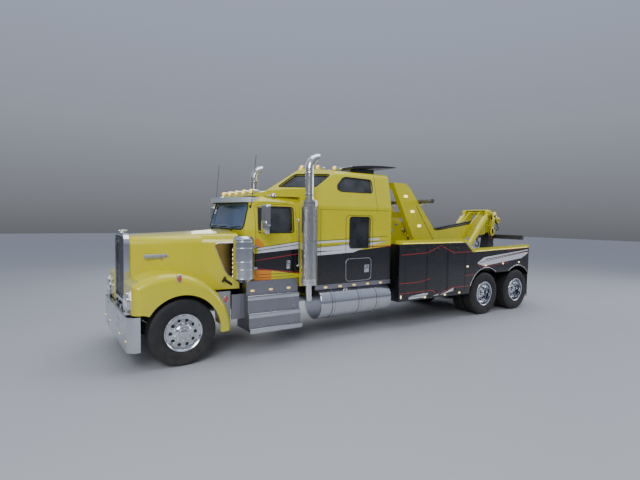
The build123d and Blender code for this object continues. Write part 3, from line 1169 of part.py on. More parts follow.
with BuildPart() as wrecker_body:
    with BuildSketch(side_plane(BODY_INNER_X)):
        with BuildLine():
            Polyline((BODY_FRONT, BODY_LOW), (DRIVE_AXLES[0][1], BODY_LOW),
                     (DRIVE_AXLES[1][1], BODY_REAR_LOW), (BODY_REAR, BODY_REAR_LOW),
                     (BODY_REAR, BODY_TAIL_TOP), (BODY_STEP_REAR, BODY_REAR_TOP),
                     (BODY_STEP_FRONT, BODY_TOP), (BODY_FRONT, BODY_TOP), close=True)
        make_face()
        with Locations(*[(axle_y, TYRE_RADIUS) for name, axle_y in DRIVE_AXLES]):
            Circle(ARCH_OPENING, mode=Mode.SUBTRACT)
        with Locations((DRIVE_MIDDLE_Y, ARCH_VALLEY_Z - 300)):
            Rectangle(TANDEM_SPACING, 600, mode=Mode.SUBTRACT)
    extrude(amount=BODY_HALF - BODY_INNER_X)
    for bay in range(3):
        bay_front, bay_rear = LOCKER_SEAMS[bay] + LOCKER_POST, LOCKER_SEAMS[bay + 1] - LOCKER_POST
        with Locations(((LOCKER_BACK + BODY_HALF + 10) / 2, (bay_front + bay_rear) / 2,
                        (LOCKER_LOW + LOCKER_TOP) / 2)):
            Box(BODY_HALF + 10 - LOCKER_BACK, bay_rear - bay_front, LOCKER_TOP - LOCKER_LOW,
                mode=Mode.SUBTRACT)
    mirror(about=Plane.YZ)
    with Locations((0, (BODY_FRONT + TAIL_SLOT_START) / 2, DECK_LOW + DECK_PLATE / 2)):
        Box(2 * BODY_INNER_X, TAIL_SLOT_START - BODY_FRONT, DECK_PLATE)
    with Locations((0, BODY_FRONT + 25, (DECK_TOP + BODY_TOP) / 2)):
        Box(2 * BODY_INNER_X, 50, BODY_TOP - DECK_TOP)
    for ear_x in (BOOM_HALF + BOOM_SIDE_GAP, -BOOM_HALF - BOOM_SIDE_GAP - BOOM_EAR):
        standing_ear(ear_x, BOOM_EAR, BOOM_PIVOT_Y, BOOM_PIVOT_Z, 130, DECK_TOP, 300,
                     BOOM_PIN_RADIUS + PIN_GAP)
    for ear_x in (LIFT_X - LIFT_EYE_HALF - LIFT_EAR_GAP - LIFT_EAR, LIFT_X + LIFT_EYE_HALF + LIFT_EAR_GAP,
                  -LIFT_X - LIFT_EYE_HALF - LIFT_EAR_GAP - LIFT_EAR,
                  -LIFT_X + LIFT_EYE_HALF + LIFT_EAR_GAP):
        standing_ear(ear_x, LIFT_EAR, LIFT_BASE_Y, LIFT_BASE_Z, EAR_RADIUS, DECK_TOP, 130,
                     LIFT_PIN_RADIUS + PIN_GAP)
wrecker_body.part.label = "wrecker_body"
export_step(wrecker_body.part, "parts/wrecker_body.step")

# Tail of the deck: a wing and an end plate on each side of the underlift's slot
TAIL_PLATE = 40.0
with BuildPart() as tail_deck:
    with Locations(((TAIL_SLOT_HALF + BODY_INNER_X) / 2, (TAIL_SLOT_START + BODY_REAR) / 2,
                    DECK_LOW + DECK_PLATE / 2)):
        Box(BODY_INNER_X - TAIL_SLOT_HALF, BODY_REAR - TAIL_SLOT_START, DECK_PLATE)
    with Locations(((TAIL_SLOT_HALF + BODY_INNER_X) / 2, BODY_REAR - TAIL_PLATE / 2,
                    (BODY_REAR_LOW + DECK_LOW) / 2)):
        Box(BODY_INNER_X - TAIL_SLOT_HALF, TAIL_PLATE, DECK_LOW - BODY_REAR_LOW)
    mirror(about=Plane.YZ)
tail_deck.part.label = "tail_deck"
export_step(tail_deck.part, "parts/tail_deck.step")

# Locker doors, three on each side, hinged at their front edges
LOCKER_NAMES = ("front", "middle", "rear")
for side, sign in SIDES:
    for bay, bay_name in enumerate(LOCKER_NAMES):
        bay_front, bay_rear = LOCKER_SEAMS[bay] + LOCKER_POST, LOCKER_SEAMS[bay + 1] - LOCKER_POST
        with BuildPart() as locker_door:
            with Locations((sign * (BODY_HALF - LOCKER_DOOR / 2), (bay_front + bay_rear) / 2,
                            (LOCKER_LOW + LOCKER_TOP) / 2)):
                Box(LOCKER_DOOR, bay_rear - bay_front - 2 * LOCKER_GAP,
                    LOCKER_TOP - LOCKER_LOW - 2 * LOCKER_GAP)
            with Locations((sign * BODY_HALF, bay_front + LOCKER_GAP, (LOCKER_LOW + LOCKER_TOP) / 2)):
                Cylinder(LOCKER_GAP - SEAT_GAP, LOCKER_TOP - LOCKER_LOW - 2 * LOCKER_GAP)
        locker_door.part.label = f"locker_{bay_name}_{side}"
        export_step(locker_door.part, f"parts/locker_{bay_name}_{side}.step")

# Bright rails along the top of the body, stepping down over the wheels
RAIL_CAP_WIDTH = 130.0
RAIL_CAP_HEIGHT = 85.0
with BuildPart() as deck_rails:
    with BuildSketch(side_plane(BODY_HALF - RAIL_CAP_WIDTH)):
        with BuildLine():
            Polyline((BODY_FRONT, BODY_TOP), (BODY_STEP_FRONT, BODY_TOP), (BODY_STEP_REAR, BODY_REAR_TOP),
                     (BODY_REAR, BODY_TAIL_TOP), (BODY_REAR, BODY_TAIL_TOP + RAIL_CAP_HEIGHT),
                     (BODY_STEP_REAR + 35, BODY_REAR_TOP + RAIL_CAP_HEIGHT),
                     (BODY_STEP_FRONT + 35, BODY_TOP + RAIL_CAP_HEIGHT),
                     (BODY_FRONT, BODY_TOP + RAIL_CAP_HEIGHT), close=True)
        make_face()
    extrude(amount=RAIL_CAP_WIDTH)
    mirror(about=Plane.YZ)
deck_rails.part.label = "deck_rails"
export_step(deck_rails.part, "parts/deck_rails.step")

# Pylon: two raked legs that rise from the deck, with beams across the middle and top
PYLON_INNER = 430.0
PYLON_LEG = 140.0
PYLON_FOOT_FRONT = aft(5640)
PYLON_FOOT_REAR = aft(6550)
PYLON_RAKE_Z = 1900.0
PYLON_TOP_Z = 3210.0
PYLON_TOP_FRONT = aft(4950)
PYLON_TOP_REAR = aft(5340)
PYLON_KINK = (aft(5500), 3090.0)

with BuildPart() as pylon:
    with BuildSketch(side_plane(PYLON_INNER)):
        with BuildLine():
            Polyline((PYLON_FOOT_FRONT, DECK_TOP), (PYLON_FOOT_REAR, DECK_TOP),
                     (PYLON_FOOT_REAR, PYLON_RAKE_Z), PYLON_KINK, (PYLON_TOP_REAR, PYLON_TOP_Z),
                     (PYLON_TOP_FRONT, PYLON_TOP_Z), (PYLON_FOOT_FRONT, PYLON_RAKE_Z), close=True)
        make_face()
    extrude(amount=PYLON_LEG)
    mirror(about=Plane.YZ)
    with Locations((0, (PYLON_TOP_FRONT + PYLON_TOP_REAR) / 2, PYLON_TOP_Z - 60)):
        Box(2 * PYLON_INNER, 260, 120)
    with Locations((0, aft(5620), 2480)):
        Box(2 * PYLON_INNER, 160, 140)
pylon.part.label = "pylon"
export_step(pylon.part, "parts/pylon.step")

# Light bar across the pylon's rear edges, on two brackets
LIGHT_BAR_HALF = 950.0
LIGHT_BAR_Y = aft(5850)
LIGHT_BAR_Z = 2810.0
with BuildPart() as light_bar:
    with Locations((0, LIGHT_BAR_Y, LIGHT_BAR_Z)):
        Box(2 * LIGHT_BAR_HALF, 110, 80)
    fillet(light_bar.edges().filter_by(Axis.X), 20)
    with Locations((PYLON_INNER + PYLON_LEG / 2, LIGHT_BAR_Y - 60, LIGHT_BAR_Z - 55),
                   (-PYLON_INNER - PYLON_LEG / 2, LIGHT_BAR_Y - 60, LIGHT_BAR_Z - 55)):
        Box(70, 200, 30)
    add(pylon.part, mode=Mode.SUBTRACT)
light_bar.part.label = "light_bar"
export_step(light_bar.part, "parts/light_bar.step")

# Winches: two drums in a frame ahead of the boom's foot
WINCH_DRUMS = [aft(5100), aft(5540)]
WINCH_Z = 2100.0
WINCH_HALF = 330.0
WINCH_PLATE = 25.0
DRUM_BARREL_RADIUS = 130.0
FLANGE_RADIUS = 205.0

with BuildPart() as winch:
    for plate_x in (WINCH_HALF - WINCH_PLATE, -WINCH_HALF):
        with BuildSketch(side_plane(plate_x)):
            with BuildLine():
                Polyline((WINCH_DRUMS[0] - 180, DECK_TOP), (WINCH_DRUMS[1] + 160, DECK_TOP),
                         (WINCH_DRUMS[1] + 110, WINCH_Z + 60), (WINCH_DRUMS[1], WINCH_Z + 110),
                         (WINCH_DRUMS[0], WINCH_Z + 110), (WINCH_DRUMS[0] - 110, WINCH_Z + 60), close=True)
            make_face()
        extrude(amount=WINCH_PLATE)
    with Locations((0, (WINCH_DRUMS[0] + WINCH_DRUMS[1]) / 2, 1600)):
        Box(2 * WINCH_HALF - 10, 360, 120)
    for drum_y in WINCH_DRUMS:
        round_bar((5 - WINCH_HALF, drum_y, WINCH_Z), (WINCH_HALF - 5, drum_y, WINCH_Z), DRUM_BARREL_RADIUS)
        for flange_x in (-WINCH_HALF + WINCH_PLATE, -10, WINCH_HALF - WINCH_PLATE - 20):
            round_bar((flange_x, drum_y, WINCH_Z), (flange_x + 20, drum_y, WINCH_Z), FLANGE_RADIUS)
winch.part.label = "winch"
export_step(winch.part, "parts/winch.step")

# Mud flaps behind the rear tyres
MUDFLAP_Y = DRIVE_AXLES[1][1] + TYRE_RADIUS + 18
MUDFLAP_SHEET = 12.0
MUDFLAP_WIDTH = 600.0
MUDFLAP_LOW = 310.0
MUDFLAP_TOP = 965.0
with BuildPart() as mudflaps:
    with Locations((DUAL_MIDDLE_X, MUDFLAP_Y, (MUDFLAP_LOW + MUDFLAP_TOP) / 2)):
        Box(MUDFLAP_WIDTH, MUDFLAP_SHEET, MUDFLAP_TOP - MUDFLAP_LOW)
    with Locations((DUAL_MIDDLE_X, (BODY_REAR + MUDFLAP_Y) / 2, MUDFLAP_TOP - 20)):
        Box(MUDFLAP_WIDTH, MUDFLAP_Y - BODY_REAR, 40)
    mirror(about=Plane.YZ)
mudflaps.part.label = "mudflaps"
export_step(mudflaps.part, "parts/mudflaps.step")

# Small lamps: cab roof, fender tops, sills, body sides and tail
ROOF_LAMP_XS = (-600, -300, 0, 300, 600)
SILL_LAMP_YS = [aft(2740 + 350 * count) for count in range(5)]
TAIL_LAMP_XS = (930, 1030, 1130)
with BuildPart() as lamps:
    for lamp_x in ROOF_LAMP_XS:
        with BuildSketch(side_plane(lamp_x - 45)):
            with BuildLine():
                Polyline((aft(1120), VISOR_TOP), (aft(1270), VISOR_TOP), (aft(1260), VISOR_TOP + 60),
                         (aft(1180), VISOR_TOP + 60), close=True)
            make_face()
        extrude(amount=90)
    for sign in (1, -1):
        for lamp_y in SILL_LAMP_YS:
            with Locations((sign * (SILL_X + 6), lamp_y, SLEEPER_LOW - 50)):
                Box(12, 60, 30)
        for lamp_x in TAIL_LAMP_XS:
            with Locations((sign * lamp_x, BODY_REAR + 8, 1180)):
                Cylinder(42, 16, rotation=(90, 0, 0))
lamps.part.label = "lamps"
export_step(lamps.part, "parts/lamps.step")

# Boom: a hollow base section on a pin, with a bracket and bar for the lift rods
BOOM_ANGLE = 7.5
BOOM_PLATE = 16.0
BOOM_HEIGHT_HALF = 180.0
BOOM_HEEL = 150.0
BOOM_BASE_LENGTH = 2870.0
LIFT_HEAD_SETBACK = 77.0
LIFT_HEAD_ALONG = BOOM_BASE_LENGTH - LIFT_HEAD_SETBACK
LIFT_HEAD_ACROSS = 449.0
LIFT_HEAD_X = 262.0
SLIDE_GAP = 9.0
PAD_LENGTH = 120.0


def boom_plane(x):
    """The boom's own side plane: drawn along it and square up from it."""
    slope = radians(BOOM_ANGLE)
    return Plane((x, BOOM_PIVOT_Y, BOOM_PIVOT_Z), x_dir=(0, cos(slope), sin(slope)), z_dir=(1, 0, 0))


def boom_point(x, along, across):
    """A point given along and square up from the boom's middle line."""
    return boom_plane(x).from_local_coords((along, across, 0))


with BuildPart() as boom_base:
    with BuildSketch(boom_plane(-BOOM_HALF)):
        with Locations(((BOOM_BASE_LENGTH - BOOM_HEEL) / 2, 0)):
            Rectangle(BOOM_BASE_LENGTH + BOOM_HEEL, 2 * BOOM_HEIGHT_HALF)
    extrude(amount=2 * BOOM_HALF)
    with BuildSketch(boom_plane(BOOM_PLATE - BOOM_HALF)):
        with Locations((BOOM_BASE_LENGTH / 2 + 150, 0)):
            Rectangle(BOOM_BASE_LENGTH, 2 * (BOOM_HEIGHT_HALF - BOOM_PLATE))
    extrude(amount=2 * (BOOM_HALF - BOOM_PLATE), mode=Mode.SUBTRACT)
    round_bar((-BOOM_HALF - BOOM_SIDE_GAP - BOOM_EAR, BOOM_PIVOT_Y, BOOM_PIVOT_Z),
              (BOOM_HALF + BOOM_SIDE_GAP + BOOM_EAR, BOOM_PIVOT_Y, BOOM_PIVOT_Z), BOOM_PIN_RADIUS)
    round_bar((5 - BOOM_HALF - BOOM_SIDE_GAP, BOOM_PIVOT_Y, BOOM_PIVOT_Z),
              (BOOM_HALF + BOOM_SIDE_GAP - 5, BOOM_PIVOT_Y, BOOM_PIVOT_Z), 1.8 * BOOM_PIN_RADIUS)
    for leg_x in (BOOM_HALF - 45, -BOOM_HALF + 5):
        with BuildSketch(boom_plane(leg_x)):
            with BuildLine():
                Polyline((LIFT_HEAD_ALONG - 543, BOOM_HEIGHT_HALF), (LIFT_HEAD_ALONG - 143, BOOM_HEIGHT_HALF),
                         (LIFT_HEAD_ALONG + 60, LIFT_HEAD_ACROSS - 20),
                         (LIFT_HEAD_ALONG + 20, LIFT_HEAD_ACROSS + 60),
                         (LIFT_HEAD_ALONG - 60, LIFT_HEAD_ACROSS + 40), close=True)
            make_face()
        extrude(amount=40)
    round_bar(boom_point(-LIFT_HEAD_X, LIFT_HEAD_ALONG, LIFT_HEAD_ACROSS),
              boom_point(LIFT_HEAD_X, LIFT_HEAD_ALONG, LIFT_HEAD_ACROSS), 50)
boom_base.part.label = "boom_base"
export_step(boom_base.part, "parts/boom_base.step")

# Boom inner section with its head and sheaves
SECTION_PLATE = 14.0
SECTION_HALF = BOOM_HALF - BOOM_PLATE - SLIDE_GAP
SECTION_HEIGHT_HALF = BOOM_HEIGHT_HALF - BOOM_PLATE - SLIDE_GAP
SECTION_START = 600.0
SECTION_REACH = 320.0
SECTION_END = BOOM_BASE_LENGTH + SECTION_REACH
HEAD_SHEAVE_RADIUS = 125.0
HEAD_SHEAVE_ALONG = SECTION_END - 100
HEAD_SHEAVE_ACROSS = 330.0

with BuildPart() as boom_section:
    with BuildSketch(boom_plane(-SECTION_HALF)):
        with Locations(((SECTION_START + SECTION_END) / 2, 0)):
            Rectangle(SECTION_END - SECTION_START, 2 * SECTION_HEIGHT_HALF)
    extrude(amount=2 * SECTION_HALF)
    with BuildSketch(boom_plane(SECTION_PLATE - SECTION_HALF)):
        with Locations(((SECTION_START + SECTION_END) / 2, 0)):
            Rectangle(SECTION_END - SECTION_START, 2 * (SECTION_HEIGHT_HALF - SECTION_PLATE))
    extrude(amount=2 * (SECTION_HALF - SECTION_PLATE), mode=Mode.SUBTRACT)
    for plate_x in (-SECTION_HALF, SECTION_HALF - 25):
        with BuildSketch(boom_plane(plate_x)):
            with BuildLine():
                Polyline((SECTION_END - 290, SECTION_HEIGHT_HALF), (SECTION_END, SECTION_HEIGHT_HALF),
                         (SECTION_END + 70, 300), (SECTION_END + 40, 420), (SECTION_END - 60, 470),
                         (SECTION_END - 210, 450), (SECTION_END - 260, 330), close=True)
            make_face()
        extrude(amount=25)
    for sheave_x in (-115, 25):
        round_bar(boom_point(sheave_x, HEAD_SHEAVE_ALONG, HEAD_SHEAVE_ACROSS),
                  boom_point(sheave_x + 90, HEAD_SHEAVE_ALONG, HEAD_SHEAVE_ACROSS), HEAD_SHEAVE_RADIUS)
    round_bar(boom_point(-SECTION_HALF + 5, HEAD_SHEAVE_ALONG, HEAD_SHEAVE_ACROSS),
              boom_point(SECTION_HALF - 5, HEAD_SHEAVE_ALONG, HEAD_SHEAVE_ACROSS), 35)
    round_bar(boom_point(5 - SECTION_HALF, SECTION_END - 40, 0), boom_point(SECTION_HALF - 5, SECTION_END - 40, 0), 30)
    with BuildSketch(boom_plane(SEAT_GAP - BOOM_HALF + BOOM_PLATE)):
        with Locations((SECTION_START + PAD_LENGTH / 2, 0)):
            Rectangle(PAD_LENGTH, 2 * (BOOM_HEIGHT_HALF - BOOM_PLATE - SEAT_GAP))
    extrude(amount=2 * (BOOM_HALF - BOOM_PLATE - SEAT_GAP))
boom_section.part.label = "boom_section"
export_step(boom_section.part, "parts/boom_section.step")

# Lift cylinders: barrels on the deck's pins, rods that reach the boom's bar
LIFT_HEAD = boom_point(0, LIFT_HEAD_ALONG, LIFT_HEAD_ACROSS)
LIFT_LENGTH = hypot(LIFT_HEAD.Y - LIFT_BASE_Y, LIFT_HEAD.Z - LIFT_BASE_Z)
BARREL_RADIUS = 85.0
BARREL_BORE = 62.0
BARREL_START = 100.0
ROD_SHOWN = 200.0
BARREL_END = LIFT_LENGTH - ROD_SHOWN
GLAND_LENGTH = 50.0
ROD_RADIUS = 45.0
ROD_GAP = 0.5
ROD_START = 330.0
ROD_EYE_RADIUS = 75.0
ROD_EYE_GAP = 6.0
ROD_PIN_END = 475.0


def lift_point(x, distance):
    """A point on a lift cylinder's middle line, that far from its lower pin."""
    share = distance / LIFT_LENGTH
    return (x, LIFT_BASE_Y + (LIFT_HEAD.Y - LIFT_BASE_Y) * share,
            LIFT_BASE_Z + (LIFT_HEAD.Z - LIFT_BASE_Z) * share)


with BuildPart() as lift_barrels:
    round_bar(lift_point(LIFT_X, BARREL_START), lift_point(LIFT_X, BARREL_END), BARREL_RADIUS)
    round_bar(lift_point(LIFT_X, BARREL_START + 40), lift_point(LIFT_X, BARREL_END - GLAND_LENGTH),
              BARREL_BORE, mode=Mode.SUBTRACT)
    round_bar(lift_point(LIFT_X, BARREL_END - GLAND_LENGTH - 5), lift_point(LIFT_X, BARREL_END + 5),
              ROD_RADIUS + ROD_GAP, mode=Mode.SUBTRACT)
    round_bar(lift_point(LIFT_X, 0), lift_point(LIFT_X, BARREL_START + 10), LIFT_EYE_HALF - 5)
    round_bar((LIFT_X - LIFT_EYE_HALF, LIFT_BASE_Y, LIFT_BASE_Z),
              (LIFT_X + LIFT_EYE_HALF, LIFT_BASE_Y, LIFT_BASE_Z), EAR_RADIUS - 5)
    round_bar((LIFT_X - LIFT_EYE_HALF - LIFT_EAR_GAP - LIFT_EAR, LIFT_BASE_Y, LIFT_BASE_Z),
              (LIFT_X + LIFT_EYE_HALF + LIFT_EAR_GAP + LIFT_EAR, LIFT_BASE_Y, LIFT_BASE_Z),
              LIFT_PIN_RADIUS)
    mirror(about=Plane.YZ)
lift_barrels.part.label = "lift_barrels"
export_step(lift_barrels.part, "parts/lift_barrels.step")

with BuildPart() as lift_rods:
    round_bar(lift_point(LIFT_X, ROD_START), lift_point(LIFT_X, LIFT_LENGTH - 20), ROD_RADIUS)
    round_bar(lift_point(LIFT_X - LIFT_EYE_HALF, LIFT_LENGTH), lift_point(LIFT_X + LIFT_EYE_HALF, LIFT_LENGTH),
              ROD_EYE_RADIUS)
    round_bar(lift_point(LIFT_HEAD_X + ROD_EYE_GAP, LIFT_LENGTH), lift_point(ROD_PIN_END, LIFT_LENGTH), 42)
    mirror(about=Plane.YZ)
lift_rods.part.label = "lift_rods"
export_step(lift_rods.part, "parts/lift_rods.step")

# Underlift: an arm hinged behind the frame, folded up, with a stinger and a crossbar
UNDERLIFT_LEAN = 12.0
ARM_DEPTH_HALF = 120.0
ARM_HEEL = 80.0
ARM_LENGTH = 1000.0
ARM_PLATE = 16.0
STINGER_END = 1135.0
STINGER_START = 250.0
SWING_ALONG = 1075.0
CROSSBAR_HALF = 950.0
CROSSBAR_NEAR = 192.0
SWING_NECK_RADIUS = 56.0
SWING_PIN_RADIUS = 30.0
SWING_GAP = 6.0
CROSSBAR_REAR_Y = aft(9620)
CROSSBAR_HEIGHT_HALF = 55.0
SOCKET_X = 860.0
SOCKET_RADIUS = 25.5


def arm_plane(x):
    """The underlift's own side plane: drawn along the arm, and forward of it."""
    lean = radians(UNDERLIFT_LEAN)
    return Plane((x, UNDERLIFT_Y, UNDERLIFT_Z), x_dir=(0, sin(lean), cos(lean)), z_dir=(1, 0, 0))


def arm_point(x, along, behind):
    """A point given along the underlift's arm and square behind it."""
    return arm_plane(x).from_local_coords((along, -behind, 0))


with BuildPart() as underlift_arm:
    with BuildSketch(arm_plane(-ARM_HALF)):
        with Locations(((ARM_LENGTH - ARM_HEEL) / 2, 0)):
            Rectangle(ARM_LENGTH + ARM_HEEL, 2 * ARM_DEPTH_HALF)
    extrude(amount=2 * ARM_HALF)
    with BuildSketch(arm_plane(ARM_PLATE - ARM_HALF)):
        with Locations((ARM_LENGTH / 2 + 100, 0)):
            Rectangle(ARM_LENGTH, 2 * (ARM_DEPTH_HALF - ARM_PLATE))
    extrude(amount=2 * (ARM_HALF - ARM_PLATE), mode=Mode.SUBTRACT)
    arm_pin_end = ARM_HALF + UNDERLIFT_EAR_GAP + UNDERLIFT_EAR
    round_bar((-arm_pin_end, UNDERLIFT_Y, UNDERLIFT_Z), (arm_pin_end, UNDERLIFT_Y, UNDERLIFT_Z),
              UNDERLIFT_PIN_RADIUS)
underlift_arm.part.label = "underlift_arm"
export_step(underlift_arm.part, "parts/underlift_arm.step")

STINGER_HALF = ARM_HALF - ARM_PLATE - SLIDE_GAP
STINGER_DEPTH_HALF = ARM_DEPTH_HALF - ARM_PLATE - SLIDE_GAP
with BuildPart() as stinger:
    with BuildSketch(arm_plane(-STINGER_HALF)):
        with Locations(((STINGER_START + STINGER_END) / 2, 0)):
            Rectangle(STINGER_END - STINGER_START, 2 * STINGER_DEPTH_HALF)
    extrude(amount=2 * STINGER_HALF)
    with BuildSketch(arm_plane(SEAT_GAP - ARM_HALF + ARM_PLATE)):
        with Locations((STINGER_START + PAD_LENGTH / 2, 0)):
            Rectangle(PAD_LENGTH, 2 * (ARM_DEPTH_HALF - ARM_PLATE - SEAT_GAP))
    extrude(amount=2 * (ARM_HALF - ARM_PLATE - SEAT_GAP))
    round_bar(arm_point(0, SWING_ALONG, STINGER_DEPTH_HALF - 10),
              arm_point(0, SWING_ALONG, CROSSBAR_NEAR - SWING_GAP), SWING_NECK_RADIUS)
    round_bar(arm_point(0, SWING_ALONG, CROSSBAR_NEAR - SWING_GAP),
              arm_point(0, SWING_ALONG, CROSSBAR_NEAR + 60), SWING_PIN_RADIUS)
stinger.part.label = "stinger"
export_step(stinger.part, "parts/stinger.step")

lean = radians(UNDERLIFT_LEAN)
CROSSBAR_FAR = (CROSSBAR_REAR_Y - UNDERLIFT_Y
                - (SWING_ALONG + CROSSBAR_HEIGHT_HALF) * sin(lean)) / cos(lean)
with BuildPart() as crossbar:
    with BuildSketch(arm_plane(-CROSSBAR_HALF)):
        with Locations((SWING_ALONG, -(CROSSBAR_NEAR + CROSSBAR_FAR) / 2)):
            Rectangle(2 * CROSSBAR_HEIGHT_HALF, CROSSBAR_FAR - CROSSBAR_NEAR)
    extrude(amount=2 * CROSSBAR_HALF)
    round_bar(arm_point(0, SWING_ALONG, CROSSBAR_NEAR - 5), arm_point(0, SWING_ALONG, CROSSBAR_NEAR + 65),
              SWING_PIN_RADIUS + PIN_GAP, mode=Mode.SUBTRACT)
    for socket_x in (SOCKET_X, -SOCKET_X):
        round_bar(arm_point(socket_x, SWING_ALONG - 60, (CROSSBAR_NEAR + CROSSBAR_FAR) / 2),
                  arm_point(socket_x, SWING_ALONG + 60, (CROSSBAR_NEAR + CROSSBAR_FAR) / 2),
                  SOCKET_RADIUS, mode=Mode.SUBTRACT)
crossbar.part.label = "crossbar"
export_step(crossbar.part, "parts/crossbar.step")
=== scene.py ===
# %% [markdown]
# # A heavy tow truck, dressed for the studio
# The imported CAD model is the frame: every piece made here is in metres in that frame and
# rides on one of its bodies, so it moves when the door, boom or wheel it sits on moves.
# New shapes are surfaces worked out with numpy, and finishes are node groups built once.

# %% Load the frame and keep the CAD model's box
import bpy
import bmesh
import numpy as np
from mathutils import Matrix, Vector
from mathutils.bvhtree import BVHTree


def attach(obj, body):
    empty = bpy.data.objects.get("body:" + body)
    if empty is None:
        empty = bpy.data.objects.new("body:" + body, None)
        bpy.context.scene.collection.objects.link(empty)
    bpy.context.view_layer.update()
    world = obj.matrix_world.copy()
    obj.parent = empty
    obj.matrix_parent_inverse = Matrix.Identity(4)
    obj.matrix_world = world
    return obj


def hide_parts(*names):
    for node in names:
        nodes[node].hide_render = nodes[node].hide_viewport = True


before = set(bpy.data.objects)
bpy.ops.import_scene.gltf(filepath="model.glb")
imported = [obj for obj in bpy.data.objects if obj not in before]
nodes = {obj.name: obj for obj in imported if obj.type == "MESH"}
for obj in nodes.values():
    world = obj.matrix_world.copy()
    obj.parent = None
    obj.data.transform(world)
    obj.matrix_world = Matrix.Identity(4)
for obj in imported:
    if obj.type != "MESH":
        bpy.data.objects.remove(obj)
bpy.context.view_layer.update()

# %% [markdown]
# Places along a truck are easiest to read as distances behind the front axle. The left side
# is +X, the rear is +Y, and most parts come in a left and a right copy.

# %% Places and directions
FRONT_AXLE_Y = -4.4
DRIVE_AXLES = {"front_drive": 3.13, "rear_drive": 4.47}
WHEEL_Z = 0.53
SIDES = {"left": 1.0, "right": -1.0}
ACROSS = np.array([1.0, 0.0, 0.0])
LENGTHWAYS = np.array([0.0, 1.0, 0.0])
UPRIGHT = np.array([0.0, 0.0, 1.0])
FORWARD = np.array([0.0, -1.0, 0.0])


def aft(distance):
    """The y of a place that far behind the front axle."""
    return FRONT_AXLE_Y + np.asarray(distance, float)


print("axles at y:", FRONT_AXLE_Y, *DRIVE_AXLES.values())


# %% [markdown]
# ## Studio
# A truck with this much chrome is lit by what it reflects. A wide pale sky above and a pale
# floor below leave the metal a dark line only at the horizon, which draws its shape.

# %% Floor, sky and lights
def studio_floor(reach=60.0, side=5):
    """A flat square grid of side x side points at z = 0, from -reach to reach both ways."""
    steps = np.linspace(-reach, reach, side)
    x, y = np.meshgrid(steps, steps)
    points = np.stack([x, y, np.zeros_like(x)], axis=-1).reshape(-1, 3)
    first = np.arange(side - 1)
    corner = (first[:, None] * side + first).reshape(-1, 1)
    mesh = bpy.data.meshes.new("studio_floor")
    mesh.from_pydata(points.tolist(), [], (corner + np.array([0, 1, side + 1, side])).tolist())
    floor = bpy.data.objects.new("studio_floor", mesh)
    bpy.context.scene.collection.objects.link(floor)
    return floor


floor = studio_floor()
floor_finish = bpy.data.materials.new("pale_floor")
floor_finish.use_nodes = True
floor_shader = floor_finish.node_tree.nodes["Principled BSDF"]
floor_shader.inputs["Base Color"].default_value = (0.43, 0.44, 0.47, 1)
floor_shader.inputs["Roughness"].default_value = 0.55
floor.data.materials.append(floor_finish)

# place from straight down (0) to straight up (1), and the sky's colour there
SKY_TONES = ((0.0, (0.16, 0.17, 0.19, 1)), (0.47, (0.18, 0.19, 0.21, 1)), (0.51, (0.30, 0.31, 0.34, 1)),
             (0.60, (0.50, 0.54, 0.64, 1)), (0.75, (0.62, 0.70, 0.90, 1)), (1.0, (0.85, 0.90, 1.0, 1)))
SKY_STRENGTH = 0.62
world = bpy.data.worlds.new("studio_sky")
bpy.context.scene.world = world
world.use_nodes = True
sky = world.node_tree
direction = sky.nodes.new("ShaderNodeTexCoord")
height = sky.nodes.new("ShaderNodeSeparateXYZ")
shades = sky.nodes.new("ShaderNodeValToRGB")
shades.color_ramp.elements[0].color = SKY_TONES[0][1]
shades.color_ramp.elements[1].color = SKY_TONES[-1][1]
for place, tone in SKY_TONES[1:-1]:
    shades.color_ramp.elements.new(place).color = tone
to_unit = sky.nodes.new("ShaderNodeMapRange")
to_unit.inputs["From Min"].default_value = -1.0
sky.links.new(direction.outputs["Generated"], height.inputs[0])
sky.links.new(height.outputs["Z"], to_unit.inputs[0])
sky.links.new(to_unit.outputs[0], shades.inputs[0])
sky.links.new(shades.outputs[0], sky.nodes["Background"].inputs["Color"])
sky.nodes["Background"].inputs["Strength"].default_value = SKY_STRENGTH


def soft_light(name, place, target, size, energy, tint=(1.0, 1.0, 1.0)):
    """A square lamp of that size whose -Z axis looks from its place to its target."""
    lamp = bpy.data.lights.new(name, "AREA")
    lamp.shape, lamp.size, lamp.energy, lamp.color = "SQUARE", size, energy, tint
    stand = bpy.data.objects.new(name, lamp)
    back = np.array(place, float) - np.array(target, float)
    back /= np.linalg.norm(back)
    side = np.cross(UPRIGHT, back)
    side /= np.linalg.norm(side)
    matrix = np.eye(4)
    matrix[:3] = np.stack([side, np.cross(back, side), back, place], axis=1)
    stand.matrix_world = Matrix(matrix.tolist())
    bpy.context.scene.collection.objects.link(stand)


soft_light("key_light", (11, -11, 8.5), (0, -1.5, 1.2), 7.0, 1150, (1.0, 0.98, 0.94))
soft_light("roof_light", (1, 0, 11), (0.5, 0, 0), 9.0, 620, (0.93, 0.96, 1.0))
soft_light("far_light", (-11, 3, 7), (0, 0, 1.5), 7.0, 420)
soft_light("tail_light_fill", (6, 13, 6), (0, 3, 1.2), 6.0, 380)

# %% [markdown]
# ## Camera
# The camera stands where the photograph was taken, ahead of the truck's left corner. Its
# place and turn were found by matching wheel centres and edges of the cab.

# %% Camera from its yaw, pitch and roll
CAMERA_PLACE = np.array([7.930, -6.310, 2.335])
CAMERA_TURNS = np.radians([56.540, 2.710, 0.785])
PHOTO_WIDTH, FOCAL_LENGTH = 640.0, 430.0
SENSOR_WIDTH = 36.0


